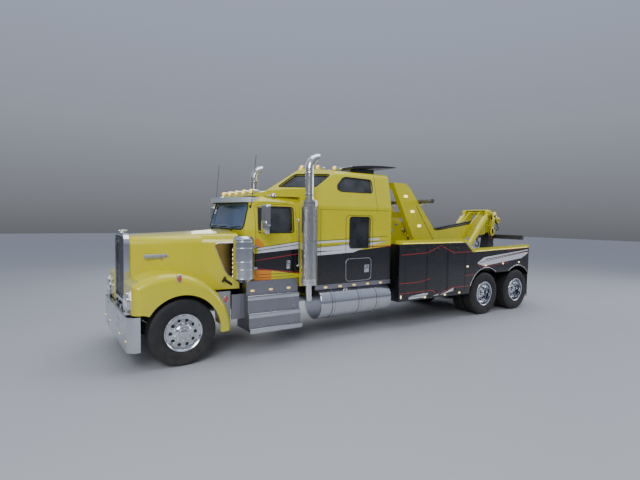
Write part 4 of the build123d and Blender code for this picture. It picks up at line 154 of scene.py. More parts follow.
def camera_axes(yaw, pitch, roll):
    """Right, up and ahead: a heading turned by yaw, tipped down by pitch, then rolled."""
    ahead = np.array([-np.sin(yaw), np.cos(yaw), 0.0])
    right = np.array([np.cos(yaw), np.sin(yaw), 0.0])
    looking = ahead * np.cos(pitch) - UPRIGHT * np.sin(pitch)
    up = UPRIGHT * np.cos(pitch) + ahead * np.sin(pitch)
    return right * np.cos(roll) + up * np.sin(roll), up * np.cos(roll) - right * np.sin(roll), looking


camera_right, camera_up, camera_ahead = camera_axes(*CAMERA_TURNS)
camera_data = bpy.data.cameras.new("photo_camera")
camera_data.sensor_width = SENSOR_WIDTH
camera_data.lens = SENSOR_WIDTH * FOCAL_LENGTH / PHOTO_WIDTH
camera = bpy.data.objects.new("photo_camera", camera_data)
stand_matrix = np.eye(4)
stand_matrix[:3] = np.stack([camera_right, camera_up, -camera_ahead, CAMERA_PLACE], axis=1)
camera.matrix_world = Matrix(stand_matrix.tolist())
bpy.context.scene.collection.objects.link(camera)
bpy.context.scene.camera = camera
print("lens:", round(camera_data.lens, 2), "mm")

# %% [markdown]
# ## Making surfaces
# Each form is a grid of points with the faces between them. A few kinds do for a truck: a
# block with rounded edges, a turned profile, a tube, a swept section and a flat plate. A
# piece joins many forms into one mesh, so a ring of wheel nuts is still one object.

# %% Grids, joining and pieces
def grid_faces(rows, cols, wrap=True):
    """Quads between neighbouring rows and columns; wrap joins the last column to the first."""
    row = np.arange(rows - 1)[:, None]
    col = np.arange(cols if wrap else cols - 1)[None, :]
    after = (col + 1) % cols
    quads = [row * cols + col, row * cols + after, (row + 1) * cols + after, (row + 1) * cols + col]
    return np.stack(quads, axis=-1).reshape(-1, 4)


def full_turn(steps):
    """Equal angles round a circle."""
    return np.linspace(0, 2 * np.pi, steps, endpoint=False)


def unit(vector):
    """The vector, or each row of vectors, divided by its length."""
    vector = np.asarray(vector, float)
    return vector / np.linalg.norm(vector, axis=-1, keepdims=True)


def mirrored(forms):
    """The same forms on the other side of the truck: x changes its sign."""
    return [(points * (-1, 1, 1), faces) for points, faces in forms]


def both_sides(forms):
    """The forms and their mirror images."""
    return list(forms) + mirrored(forms)


MERGE_DISTANCE, SLIVER_LENGTH = 1e-5, 1e-6


def piece(name, forms, look, sharp=35, body="chassis"):
    """Joins forms into one smooth mesh with outward faces; look is its material and a slot, and the slot is
    not used.
    """
    material, slot = look
    points = np.concatenate([form[0] for form in forms])
    starts = np.cumsum([0] + [len(form[0]) for form in forms])
    faces = [face for start, form in zip(starts, forms)
             for group in form[1] for face in (np.atleast_2d(group) + start).tolist()]
    mesh = bpy.data.meshes.new(name)
    mesh.from_pydata(points.tolist(), [], faces)
    shape = bmesh.new()
    shape.from_mesh(mesh)
    bmesh.ops.remove_doubles(shape, verts=shape.verts, dist=MERGE_DISTANCE)
    bmesh.ops.dissolve_degenerate(shape, edges=shape.edges, dist=SLIVER_LENGTH)
    bmesh.ops.recalc_face_normals(shape, faces=shape.faces)
    shape.to_mesh(mesh)
    shape.free()
    mesh.shade_smooth()
    mesh.set_sharp_from_angle(angle=np.radians(sharp))
    mesh.materials.append(material)
    made = bpy.data.objects.new(name, mesh)
    bpy.context.scene.collection.objects.link(made)
    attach(made, body)
    print(f"{name}: {len(mesh.polygons)} faces")
    return made


# %% Blocks and turned forms
def rounded_block(centre, size, radius, steps=3, axes=None):
    """A box with round edges: points of a ball of that radius, each pushed out to its own corner."""
    quarter = np.linspace(0, np.pi / 2, steps + 1)
    turn = np.concatenate([quarter + k * np.pi / 2 for k in range(4)])
    rise = np.concatenate([np.pi / 2 - quarter, -quarter])
    sign_x = np.repeat([1, -1, -1, 1], steps + 1)
    sign_y = np.repeat([1, 1, -1, -1], steps + 1)
    sign_z = np.repeat([1, -1], steps + 1)
    ball = np.stack([np.cos(rise)[:, None] * np.cos(turn), np.cos(rise)[:, None] * np.sin(turn),
                     np.sin(rise)[:, None] * np.ones_like(turn)], axis=-1)
    corner = np.stack([np.broadcast_to(sign_x, ball.shape[:2]), np.broadcast_to(sign_y, ball.shape[:2]),
                       np.broadcast_to(sign_z[:, None], ball.shape[:2])], axis=-1)
    points = (corner * (np.asarray(size) / 2 - radius) + radius * ball).reshape(-1, 3)
    if axes is not None:
        points = points @ unit(np.asarray(axes, float))
    caps = np.arange(4) * (steps + 1)
    faces = [grid_faces(2 * steps + 2, 4 * steps + 4), caps, caps + (2 * steps + 1) * (4 * steps + 4)]
    return points + np.asarray(centre, float), faces


def axes_about(axis):
    """Two unit vectors square to an axis and to each other."""
    axis = unit(axis)
    helper = UPRIGHT if abs(axis[2]) < 0.9 else LENGTHWAYS
    first = unit(np.cross(helper, axis))
    return first, np.cross(axis, first)


def turned(profile, centre, axis=(1, 0, 0), segments=32, closed=False):
    """A profile of (radius, distance along the axis) turned about the axis, as on a lathe."""
    profile = np.asarray(profile, float)
    if closed:
        profile = np.concatenate([profile, profile[:1]])
    first, second = axes_about(axis)
    turn = full_turn(segments)
    ring = np.cos(turn)[:, None] * first + np.sin(turn)[:, None] * second
    points = profile[:, 0][:, None, None] * ring + profile[:, 1][:, None, None] * unit(axis)
    return points.reshape(-1, 3) + np.asarray(centre, float), [grid_faces(len(profile), segments)]


def around(form, centre, axis, count, start=0.0):
    """Copies of a form turned about an axis by equal angles."""
    first, second = axes_about(axis)
    basis = np.stack([first, second, unit(axis)])
    local = (form[0] - centre) @ basis.T
    angles = start + np.arange(count) * 2 * np.pi / count
    cos, sin = np.cos(angles)[:, None], np.sin(angles)[:, None]
    spun = np.stack([local[:, 0] * cos - local[:, 1] * sin, local[:, 0] * sin + local[:, 1] * cos,
                     np.broadcast_to(local[:, 2], (count, len(local)))], axis=-1)
    return [(points @ basis + centre, form[1]) for points in spun]


# %% Tubes, swept sections and plates
def parabolas(start, bend, end, steps):
    """Rows of points from start to end that a parabola's weights pull towards the bend."""
    share = np.linspace(0, 1, steps + 1)[None, :, None]
    return ((1 - share) ** 2 * start[:, None] + 2 * share * (1 - share) * bend[:, None]
            + share ** 2 * end[:, None])


def curve_through(corners, steps=6):
    """A smooth line from the first corner to the last: parabolas between the runs' middles."""
    corners = np.asarray(corners, float)
    middles = (corners[:-1] + corners[1:]) / 2
    start = np.concatenate([corners[:1], middles[1:]])[: len(corners) - 2]
    end = np.concatenate([middles[1:-1] if len(corners) > 3 else middles[1:1], corners[-1:]])
    arcs = parabolas(start, corners[1:-1], end, steps)
    return np.concatenate([corners[:1], arcs[:, 1:].reshape(-1, 3)])


def swept(path, section, upward=None, closed=False):
    """A section of (side, up) points carried along a path, square to it, with flat ends."""
    path, section = np.asarray(path, float), np.asarray(section, float)
    heading = unit(np.gradient(path, axis=0)) if not closed else \
        unit(np.roll(path, -1, axis=0) - np.roll(path, 1, axis=0))
    if upward is None:
        upward = np.linalg.svd(path - path.mean(axis=0) + 1e-9)[2][2]
    side = unit(np.cross(heading, upward))
    up = np.cross(side, heading)
    points = path[:, None] + section[None, :, :1] * side[:, None] + section[None, :, 1:] * up[:, None]
    rows, cols = len(path), len(section)
    if closed:
        points = np.concatenate([points, points[:1]])
        return points.reshape(-1, 3), [grid_faces(rows + 1, cols)]
    ends = [np.arange(cols), np.arange(cols) + (rows - 1) * cols]
    return points.reshape(-1, 3), [grid_faces(rows, cols)] + ends


def circle(radius, segments=10):
    """Points round a circle."""
    turn = full_turn(segments)
    return radius * np.stack([np.cos(turn), np.sin(turn)], axis=-1)


def tube(path, radius, segments=10, closed=False):
    """A round bar along a path."""
    return swept(path, circle(radius, segments), closed=closed)


def rounded_outline(corners, radius, steps=5):
    """A closed outline whose corners are cut by parabolas that start a radius from each corner."""
    corners = np.asarray(corners, float)
    before, after = np.roll(corners, 1, axis=0), np.roll(corners, -1, axis=0)
    start = corners + unit(before - corners) * radius
    end = corners + unit(after - corners) * radius
    return parabolas(start, corners, end, steps).reshape(-1, corners.shape[1])


def plate(outline, origin, side, up, thickness, bevel=0.002):
    """A flat outline given thickness along side x up, with a small bevel round both faces."""
    outline = np.asarray(outline, float)
    side, up = unit(side), unit(up)
    out = np.cross(side, up)
    before = unit(outline - np.roll(outline, 1, axis=0))
    after = unit(np.roll(outline, -1, axis=0) - outline)
    inward = np.stack([-(before + after)[:, 1], (before + after)[:, 0]], axis=-1)
    area = np.sum(outline[:, 0] * np.roll(outline[:, 1], -1) - np.roll(outline[:, 0], -1) * outline[:, 1])
    inward = unit(inward + 1e-12) * bevel * np.sign(area)
    loops = [(outline + inward, 0), (outline, bevel), (outline, thickness - bevel),
             (outline + inward, thickness)]
    points = np.concatenate([np.asarray(origin, float) + loop[:, :1] * side + loop[:, 1:] * up
                             + level * out for loop, level in loops])
    count = len(outline)
    return points, [grid_faces(4, count), np.arange(count), np.arange(count) + 3 * count]


# %% [markdown]
# ## Finishes
# A finish starts from a few effects that many materials share: road dust that gathers low
# down, the faint ripple of sprayed paint, smudges on bright metal, and the coloured bands
# of the livery. Each effect is one node group with named inputs, placed in each material.

# %% Small helpers for node trees
# a socket's id_data is the node tree that it belongs to
def put(socket, value):
    """Links a socket to another one, or sets its value."""
    if isinstance(value, bpy.types.NodeSocket):
        socket.id_data.links.new(value, socket)
    else:
        socket.default_value = value


def put_all(inputs, **values):
    """Links or sets inputs by name; underscores stand for spaces."""
    for label, value in values.items():
        put(inputs[label.replace("_", " ")], value)


def put_in_order(node, places, *values):
    """Links or sets the inputs at those places of a node."""
    for place, value in zip(places, values):
        put(node.inputs[place], value)
    return node.outputs


def beside(socket, kind):
    """A new node in the tree of a socket."""
    return socket.id_data.nodes.new(f"ShaderNode{kind}")


def math(operation, *values):
    """One Math node, in the tree of the first value that is a socket."""
    node = beside(next(value for value in values if isinstance(value, bpy.types.NodeSocket)), "Math")
    node.operation = operation
    return put_in_order(node, range(3), *values)[0]


def mixed(share, first, second):
    """A colour between two colours."""
    node = beside(share, "Mix")
    node.data_type = "RGBA"
    return put_in_order(node, (0, 6, 7), share, first, second)[2]


def ranged(value, low, high, to_low=0.0, to_high=1.0):
    """A value taken from one range to another and kept inside it."""
    return put_in_order(beside(value, "MapRange"), range(5), value, low, high, to_low, to_high)[0]


def split(position):
    """The X, Y and Z of a position."""
    return put_in_order(beside(position, "SeparateXYZ"), (0,), position)


def cloud(position, scale, detail=4.0, stretch=None):
    """Noise over the position, stretched where a streak is wanted."""
    if stretch is not None:
        mapping = beside(position, "Mapping")
        put_all(mapping.inputs, Scale=stretch, Vector=position)
        position = mapping.outputs[0]
    node = beside(position, "TexNoise")
    put_all(node.inputs, Vector=position, Scale=scale, Detail=detail)
    return node.outputs[0]


def effect(name, inputs, outputs):
    """An empty node group with named inputs (name, kind, value) and outputs (name, kind)."""
    group = bpy.data.node_groups.new(name, "ShaderNodeTree")
    for label, kind, value in inputs:
        socket = group.interface.new_socket(label, in_out="INPUT", socket_type=f"NodeSocket{kind}")
        if value is not None:
            socket.default_value = value
    for label, kind in outputs:
        group.interface.new_socket(label, in_out="OUTPUT", socket_type=f"NodeSocket{kind}")
    return group, group.nodes.new("NodeGroupInput").outputs, group.nodes.new("NodeGroupOutput").inputs


def place_effect(group, **values):
    """A group node in its position's tree, with its inputs linked or set by name."""
    node = beside(values["Position"], "Group")
    node.node_tree = group
    put_all(node.inputs, **values)
    return node.outputs


print("helpers ready")


# %% Road dust and paint skin
# dust = Amount x (1 - Z / Top) x (speckle + 0.35), so it thins out towards Top
DUST_COLOUR = (0.20, 0.18, 0.15, 1)
dust_effect, source, result = effect(
    "road_dust", [("Position", "Vector", None), ("Colour", "Color", (1, 1, 1, 1)),
                  ("Roughness", "Float", 0.3), ("Top", "Float", 1.2), ("Amount", "Float", 0.5)],
    [("Colour", "Color"), ("Roughness", "Float")])
low_down = math("DIVIDE", split(source["Position"])["Z"], source["Top"])
fade = ranged(math("SUBTRACT", 1.0, low_down), 0.0, 1.0)
speckle = ranged(cloud(source["Position"], 9.0, 8.0), 0.35, 0.75)
dusty = math("MULTIPLY", math("MULTIPLY", fade, source["Amount"]),
             math("ADD", speckle, 0.35))
duller = math("MULTIPLY", dusty, 0.5)
put_all(result, Colour=mixed(dusty, source["Colour"], DUST_COLOUR),
        Roughness=math("ADD", source["Roughness"], duller))

# sprayed paint: a slow change of tone, a film that dulls the gloss, and a fine ripple as height
skin_effect, source, result = effect(
    "paint_skin", [("Position", "Vector", None), ("Colour", "Color", (1, 1, 1, 1)),
                   ("Roughness", "Float", 0.25)],
    [("Colour", "Color"), ("Roughness", "Float"), ("Height", "Float")])
shade = ranged(cloud(source["Position"], 0.9, 2.0), 0.3, 0.8, 0.0, 0.10)
film = ranged(cloud(source["Position"], 4.0, 6.0), 0.3, 0.8, 0.0, 0.12)
put_all(result, Colour=mixed(shade, source["Colour"], (0, 0, 0, 1)),
        Roughness=math("ADD", source["Roughness"], film),
        Height=cloud(source["Position"], 160.0, 2.0))

# %% Smudged metal
# blotches of a duller grey, and upright streaks that add to the roughness
SMUDGE_COLOUR = (0.30, 0.29, 0.27, 1)
smudge_effect, source, result = effect(
    "smudged_metal", [("Position", "Vector", None), ("Colour", "Color", (0.8, 0.8, 0.8, 1)),
                      ("Roughness", "Float", 0.08), ("Streak", "Float", 0.1)],
    [("Colour", "Color"), ("Roughness", "Float"), ("Height", "Float")])
blotch = cloud(source["Position"], 3.5, 8.0)
streaks = cloud(source["Position"], 30.0, 4.0, (1.0, 1.0, 0.06))
dimmed = ranged(blotch, 0.4, 0.8, 0.0, 0.25)
rubbed = math("ADD", ranged(blotch, 0.35, 0.8, 0.0, 0.16),
              math("MULTIPLY", streaks, source["Streak"]))
put_all(result, Colour=mixed(dimmed, source["Colour"], SMUDGE_COLOUR),
        Roughness=math("ADD", source["Roughness"], rubbed), Height=streaks)

# %% Livery band
# the mask is 1 where a place lies between Start and End, between two straight lines, and
# at least Side away from the truck's middle
band_effect, source, result = effect(
    "livery_band", [("Position", "Vector", None), ("Under", "Color", (1, 1, 1, 1)),
                    ("Band", "Color", (0, 0, 0, 1)), ("Start", "Float", 0.0), ("End", "Float", 1.0),
                    ("Start Low", "Float", 0.0), ("Start High", "Float", 0.1), ("End Low", "Float", 0.0),
                    ("End High", "Float", 0.1), ("Side", "Float", 0.99)],
    [("Colour", "Color")])
spot = split(source["Position"])
length_share = math("DIVIDE", math("SUBTRACT", spot["Y"], source["Start"]),
                    math("SUBTRACT", source["End"], source["Start"]))


def band_edge(start_name, end_name):
    """The height of a band's edge at this place: a straight line between its two ends."""
    climb = math("SUBTRACT", source[end_name], source[start_name])
    return math("MULTIPLY_ADD", climb, length_share, source[start_name])


in_band = math("GREATER_THAN", spot["Z"], band_edge("Start Low", "End Low"))
for test in (math("LESS_THAN", spot["Z"], band_edge("Start High", "End High")),
             math("GREATER_THAN", math("ABSOLUTE", spot["X"]), source["Side"]),
             math("GREATER_THAN", length_share, 0.0),
             math("LESS_THAN", length_share, 1.0)):
    in_band = math("MULTIPLY", in_band, test)
put_all(result, Colour=mixed(in_band, source["Under"], source["Band"]))

# %% Tread plate
# two sets of lugs on the diagonals x + y and x - y, each in every second square
tread_effect, source, result = effect(
    "tread_plate", [("Position", "Vector", None), ("Pitch", "Float", 0.04)], [("Height", "Float")])
spot = split(source["Position"])
diagonals = [math("DIVIDE", math(operation, spot["X"], spot["Y"]), source["Pitch"])
             for operation in ("ADD", "SUBTRACT")]


def lug(along, over):
    """Long bumps in rows: narrow one way, long the other, in every second square."""
    narrow = math("PINGPONG", along, 0.5)
    long = math("PINGPONG", math("ADD", over, 0.5), 0.5)
    return math("MULTIPLY", ranged(narrow, 0.30, 0.42),
                ranged(long, 0.10, 0.22))


put_all(result, Height=math("MAXIMUM", lug(*diagonals), lug(*diagonals[::-1])))
print("effects:", [group.name for group in bpy.data.node_groups])


# %% Materials from the effects
def new_material(name):
    """A material, its shader's inputs and its Object position."""
    material = bpy.data.materials.new(name)
    material.use_nodes = True
    shader = material.node_tree.nodes["Principled BSDF"].inputs
    return material, shader, beside(shader[0], "TexCoord").outputs["Object"]


def relief(shader, height, strength, distance=0.001):
    """A Bump node that feeds the shader's normal."""
    bump = beside(height, "Bump")
    put_all(bump.inputs, Strength=strength, Distance=distance, Height=height)
    put(shader["Normal"], bump.outputs[0])


def dusted(shader, position, colour, roughness, top, amount):
    """A colour and a roughness go to the shader through road dust."""
    dirt = place_effect(dust_effect, Position=position, Colour=colour, Roughness=roughness, Top=top,
                        Amount=amount)
    put_all(shader, Base_Color=dirt["Colour"], Roughness=dirt["Roughness"])


def paint(name, colour, bands=(), roughness=0.22, dust_top=1.5, dust=0.5, coat=0.8, side=0.99):
    """Gloss paint with a clear coat: bands over a ground colour, then skin and dust."""
    material, shader, position = new_material(name)
    tone = colour
    for band_colour, start, end, start_low, start_high, end_low, end_high in bands:
        tone = place_effect(band_effect, Position=position, Under=tone, Band=band_colour,
                            Start=aft(start), End=aft(end), Start_Low=start_low, Start_High=start_high,
                            End_Low=end_low, End_High=end_high, Side=side)["Colour"]
    skin = place_effect(skin_effect, Position=position, Colour=tone, Roughness=roughness)
    dusted(shader, position, skin["Colour"], skin["Roughness"], dust_top, dust)
    relief(shader, skin["Height"], 0.05, 0.0004)
    put_all(shader, Coat_Weight=coat, Coat_Roughness=0.04)
    return material


def bright_metal(name, colour, roughness, streak=0.1, dust_top=1.2, dust=0.4):
    """Polished or plated metal with smudges, and dust low down."""
    material, shader, position = new_material(name)
    skin = place_effect(smudge_effect, Position=position, Colour=colour, Roughness=roughness, Streak=streak)
    dusted(shader, position, skin["Colour"], skin["Roughness"], dust_top, dust)
    put_all(shader, Metallic=1.0)
    relief(shader, skin["Height"], 0.03, 0.0004)
    return material


def matt(name, colour, roughness, grain, depth, dust_top=1.2, dust=0.6):
    """Rubber, plastic or cast metal: a grain of that scale in its relief, and dust."""
    material, shader, position = new_material(name)
    bumps = cloud(position, grain, 6.0)
    worn = ranged(cloud(position, 3.0, 5.0), 0.3, 0.7, 0.0, 0.35)
    darker = tuple(0.45 * level for level in colour[:3]) + (1,)
    dusted(shader, position, mixed(worn, colour, darker), roughness, dust_top, dust)
    relief(shader, bumps, depth)
    return material


def lens(name, colour, glow):
    """A lamp lens: ribbed coloured plastic that gives off a little light."""
    material, shader, position = new_material(name)
    ribs = cloud(position, 60.0, 1.0)
    tone = mixed(ranged(ribs, 0.3, 0.7, 0.0, 0.12), colour, (1, 1, 1, 1))
    put_all(shader, Base_Color=tone, Emission_Color=tone, Emission_Strength=glow, Roughness=0.15,
            Coat_Weight=1.0)
    relief(shader, ribs, 0.3)
    return material


WINDSCREEN_END = aft(1.8)
FILM_COLOUR = (0.5, 0.55, 0.6, 1)


def glazing(name, tint, transmission, roughness=0.03, front=None):
    """Window glass: tinted, with a faint film; front is the tint of the windscreen."""
    material, shader, position = new_material(name)
    film = cloud(position, 2.5, 6.0)
    if front is not None:
        tint = mixed(math("LESS_THAN", split(position)["Y"], WINDSCREEN_END), tint, front)
    put_all(shader, Base_Color=mixed(ranged(film, 0.3, 0.8, 0.0, 0.2), tint, FILM_COLOUR),
            Roughness=ranged(film, 0.3, 0.8, roughness, roughness + 0.05),
            Transmission_Weight=transmission, IOR=1.5)
    return material


print("dusty finishes: paint, bright metal, matt; clear ones: lens, glazing")


YELLOW = (0.66, 0.60, 0.004, 1)
BLACK = (0.006, 0.006, 0.009, 1)
WHITE = (0.72, 0.74, 0.78, 1)
RED = (0.42, 0.02, 0.02, 1)
# this orange is no paint of the truck: it is the glow of the air cleaner's amber lamps, painted onto the door
PAINTED_LAMP_GLOW = (0.78, 0.27, 0.01, 1)

# %% [markdown]
# ## Livery
# The cab and sleeper are yellow over black, with white stripes that climb to the rear. A
# stripe on a real truck is masked and sprayed, so its edges are sharp lines on the panel:
# here each band is the space between two straight lines in the panel's own place.

# %% Bands of the cab and the recovery body
# columns: colour, start, end, low and high at the start, low and high at the end
CAB_BANDS = [
    (BLACK, 1.28, 2.21, 1.46, 1.72, 1.33, 1.80),
    (BLACK, 1.28, 2.21, 1.24, 1.50, 1.24, 1.36),
    # painted glow of the air cleaner's amber lamps, low on the door
    (PAINTED_LAMP_GLOW, 1.28, 1.62, 1.24, 1.44, 1.24, 1.405),
    (YELLOW, 1.62, 2.21, 1.24, 1.405, 1.24, 1.315),
    (RED, 1.28, 2.21, 1.452, 1.468, 1.325, 1.341),
    (RED, 1.28, 2.21, 1.59, 1.602, 1.69, 1.702),
    (WHITE, 1.34, 2.21, 1.725, 1.765, 1.79, 1.862),
    (BLACK, 1.34, 2.21, 1.765, 1.777, 1.862, 1.874),
    (WHITE, 1.34, 2.21, 1.777, 1.815, 1.874, 1.918),
    (BLACK, 1.30, 2.21, 1.815, 1.826, 1.918, 1.930),
    # painted glow of the air cleaner's amber lamps, high on the door
    (PAINTED_LAMP_GLOW, 1.30, 1.46, 1.83, 2.02, 1.84, 1.90),
    (BLACK, 2.55, 4.43, 1.07, 1.655, 1.07, 1.795),
    (WHITE, 2.50, 3.40, 1.650, 1.712, 1.687, 1.845),
    (BLACK, 2.50, 3.12, 1.708, 1.734, 1.742, 1.746),
    (WHITE, 2.50, 3.40, 1.732, 1.797, 1.745, 1.872),
    (WHITE, 3.40, 3.78, 1.685, 1.872, 1.795, 1.886),
    (WHITE, 3.78, 4.30, 1.800, 1.884, 1.900, 1.903),
    (BLACK, 2.50, 4.30, 1.797, 1.810, 1.902, 1.911),
    (BLACK, 2.50, 4.29, 1.832, 1.842, 1.906, 1.912),
    (WHITE, 2.50, 4.10, 1.882, 1.918, 1.930, 1.968),
    (BLACK, 2.50, 4.34, 1.918, 1.931, 2.003, 2.013),
    (RED, 3.74, 4.43, 1.780, 1.800, 1.788, 1.808),
]
BODY_BANDS = [
    (RED, 4.60, 5.42, 1.592, 1.606, 1.622, 1.636),
    (RED, 5.42, 5.84, 1.622, 1.640, 1.772, 1.790),
    (RED, 5.84, 6.29, 1.772, 1.790, 1.596, 1.614),
    (RED, 6.29, 7.13, 1.596, 1.610, 1.602, 1.616),
    (RED, 4.57, 5.16, 0.978, 0.992, 0.976, 0.990),
    (RED, 5.16, 5.50, 0.976, 0.990, 1.034, 1.048),
    (RED, 6.71, 7.02, 1.020, 1.034, 1.036, 1.050),
    (RED, 4.56, 5.57, 0.757, 0.771, 0.764, 0.778),
    (RED, 5.57, 5.78, 0.764, 0.778, 0.664, 0.678),
    (RED, 5.78, 6.27, 0.664, 0.678, 0.772, 0.786),
    (RED, 6.27, 6.86, 0.772, 0.786, 0.771, 0.785),
    (WHITE, 4.84, 5.29, 0.625, 0.682, 0.628, 0.722),
    (WHITE, 5.29, 5.44, 0.628, 0.722, 0.690, 0.722),
    (WHITE, 5.62, 5.80, 0.640, 0.645, 0.640, 0.672),
    (WHITE, 5.86, 6.30, 0.640, 0.652, 0.700, 0.770),
    (WHITE, 7.19, 7.44, 1.300, 1.335, 1.232, 1.450),
    (WHITE, 7.44, 9.05, 1.232, 1.450, 1.371, 1.575),
    (WHITE, 9.05, 9.34, 1.371, 1.575, 1.490, 1.601),
    (BLACK, 7.25, 9.39, 1.322, 1.336, 1.540, 1.556),
    (RED, 7.50, 9.39, 1.395, 1.404, 1.566, 1.578),
    (BLACK, 7.50, 9.39, 1.383, 1.395, 1.556, 1.566),
    (RED, 7.19, 7.45, 1.256, 1.272, 1.200, 1.216),
    (RED, 7.45, 8.48, 1.200, 1.214, 1.280, 1.292),
    (RED, 8.38, 9.20, 1.600, 1.612, 1.640, 1.652),
]
# the cab's bands hold two of painted lamp glow beside the real livery
cab_paint = paint("cab_livery_and_painted_glow", YELLOW, CAB_BANDS, dust=0.2)
body_paint = paint("body_livery", BLACK, BODY_BANDS, dust_top=1.2, dust=0.10, coat=0.6, side=1.245)
yellow_paint = paint("yellow_gloss", YELLOW, dust=0.35)
hood_paint = paint("hood_gloss", YELLOW, dust=0.3)
frame_paint = matt("frame_black", (0.014, 0.014, 0.016, 1), 0.5, 60.0, 0.15, 1.2, 0.3)
print("bands:", len(CAB_BANDS) + len(BODY_BANDS))

# %% Metals, rubbers, lamps and glass
chrome = bright_metal("chrome", (0.72, 0.74, 0.79, 1), 0.04, 0.02, 1.2, 0.10)
polished = bright_metal("polished_aluminium", (0.70, 0.72, 0.77, 1), 0.07, 0.04, 0.9, 0.08)
brushed = bright_metal("brushed_steel", (0.50, 0.50, 0.53, 1), 0.26, 0.20, 1.2, 0.15)
dark_steel = matt("dark_steel", (0.030, 0.030, 0.034, 1), 0.42, 90.0, 0.2, 1.2, 0.15)
tyre_rubber = matt("tyre_rubber", (0.009, 0.0095, 0.013, 1), 0.62, 220.0, 0.15, 1.1, 0.16)
soft_rubber = matt("black_rubber", (0.014, 0.014, 0.015, 1), 0.6, 150.0, 0.1)
engine_finish = matt("cast_engine", (0.12, 0.12, 0.11, 1), 0.6, 40.0, 0.4)
cabin_trim = matt("cabin_vinyl", (0.045, 0.040, 0.040, 1), 0.65, 300.0, 0.3, 0.2, 0.0)
amber = lens("amber_lens", (1.0, 0.60, 0.0, 1), 1.1)
warm_white = lens("warm_white_lens", (1.0, 0.78, 0.22, 1), 2.0)
red_lens = lens("red_lens", (0.45, 0.010, 0.008, 1), 0.12)
red_amber = lens("red_amber_lens", (0.36, 0.03, 0.006, 1), 0.03)
clear_lens = lens("clear_lens", (0.75, 0.80, 0.85, 1), 0.15)
strip_light = lens("rail_strip_light", (1.0, 0.86, 0.12, 1), 1.1)
mirror_glass = bright_metal("mirror_glass", (0.80, 0.84, 0.88, 1), 0.02, 0.0)
plate_paint = paint("blank_plate", (0.42, 0.50, 0.62, 1), roughness=0.35)
smoked = lens("smoked_lens", (0.020, 0.014, 0.012, 1), 0.0)
bright_lens = lens("bright_lens", (0.95, 0.93, 0.86, 1), 0.9)
white_tape = matt("white_tape", (0.72, 0.72, 0.76, 1), 0.4, 200.0, 0.05, 1.2, 0.1)
shackle_red = matt("shackle_red", (0.30, 0.012, 0.010, 1), 0.35, 80.0, 0.1)
# the visor's blue tint is a painted reflection of the blue sky; stainless steel is not blue
visor_sky_tinted_metal = bright_metal("visor_metal_painted_sky_tint", (0.84, 0.90, 1.0, 1), 0.42, 0.05)
steel_rope = matt("steel_rope", (0.16, 0.16, 0.155, 1), 0.42, 400.0, 0.35)
seat_cloth = matt("seat_vinyl", (0.060, 0.050, 0.045, 1), 0.6, 500.0, 0.25, 0.2, 0.0)
bunk_cloth = matt("bunk_cloth", (0.16, 0.14, 0.13, 1), 0.85, 700.0, 0.4, 0.2, 0.0)
gauge_face = lens("gauge_face", (0.02, 0.03, 0.04, 1), 0.05)
dark_glass = glazing("dark_side_glass", (0.012, 0.013, 0.018, 1), 0.25)
cab_glass = glazing("cab_glass", (0.012, 0.013, 0.018, 1), 0.25, front=(0.07, 0.14, 0.30, 1))
screen_edge = glazing("windscreen_edge", (0.05, 0.10, 0.22, 1), 0.0)

# what most pieces are made of: the material and its slot
CHROME, POLISHED, BRUSHED = (chrome, "chrome"), (polished, "polished"), (brushed, "polished")
RUBBER, DARK_STEEL = (soft_rubber, "trim"), (dark_steel, "engine_paint")
YELLOW_GLOSS = (yellow_paint, "yellow_paint")
print("metals, rubbers, lamps and glass made")

# %% Finishes of the hood recess, with its painted glow and painted shade, the steps and the lift rods
def recess_painted_glow_and_shade():
    """Metal tinted bronze as painted glow of the air cleaner's amber lamps, turning black towards the rear of
    the recess as painted shade.
    """
    material, shader, position = new_material("recess_painted_glow_and_shade_metal")
    # painted shade: from the bronze of the painted lamp glow to near black towards the recess's rear
    deep = ranged(split(position)["Y"], aft(0.78), aft(0.92))
    put_all(shader, Base_Color=mixed(deep, (0.36, 0.24, 0.06, 1), (0.02, 0.012, 0.008, 1)),
            Roughness=ranged(cloud(position, 5.0), 0.3, 0.8, 0.12, 0.3), Metallic=0.8)
    return material


def tread_finish():
    """Smudged metal with the tread plate's lugs as its relief."""
    material, shader, position = new_material("tread_plate_metal")
    skin = place_effect(smudge_effect, Position=position, Colour=(0.34, 0.34, 0.38, 1), Roughness=0.20,
                        Streak=0.15)
    put_all(shader, Base_Color=skin["Colour"], Roughness=skin["Roughness"], Metallic=1.0)
    relief(shader, place_effect(tread_effect, Position=position, Pitch=0.035)["Height"], 0.6, 0.002)
    return material


def rod_finish(paint_from=2.42):
    """A bright rod below a height and a painted eye above it."""
    material, shader, position = new_material("lift_rod_finish")
    painted = math("GREATER_THAN", split(position)["Z"], paint_from)
    put_all(shader, Base_Color=mixed(painted, (0.84, 0.86, 0.90, 1), YELLOW),
            Metallic=math("SUBTRACT", 1.0, painted), Roughness=ranged(painted, 0.0, 1.0, 0.05, 0.25))
    return material


recess_painted_glow_and_shade_metal, tread_metal, rod_metal = recess_painted_glow_and_shade(), tread_finish(), rod_finish()
print("materials:", len(bpy.data.materials))

# %% [markdown]
# Every CAD node whose shape is right stays, and only its material changes. The list below
# gives each node its finish, by the beginning of its name.

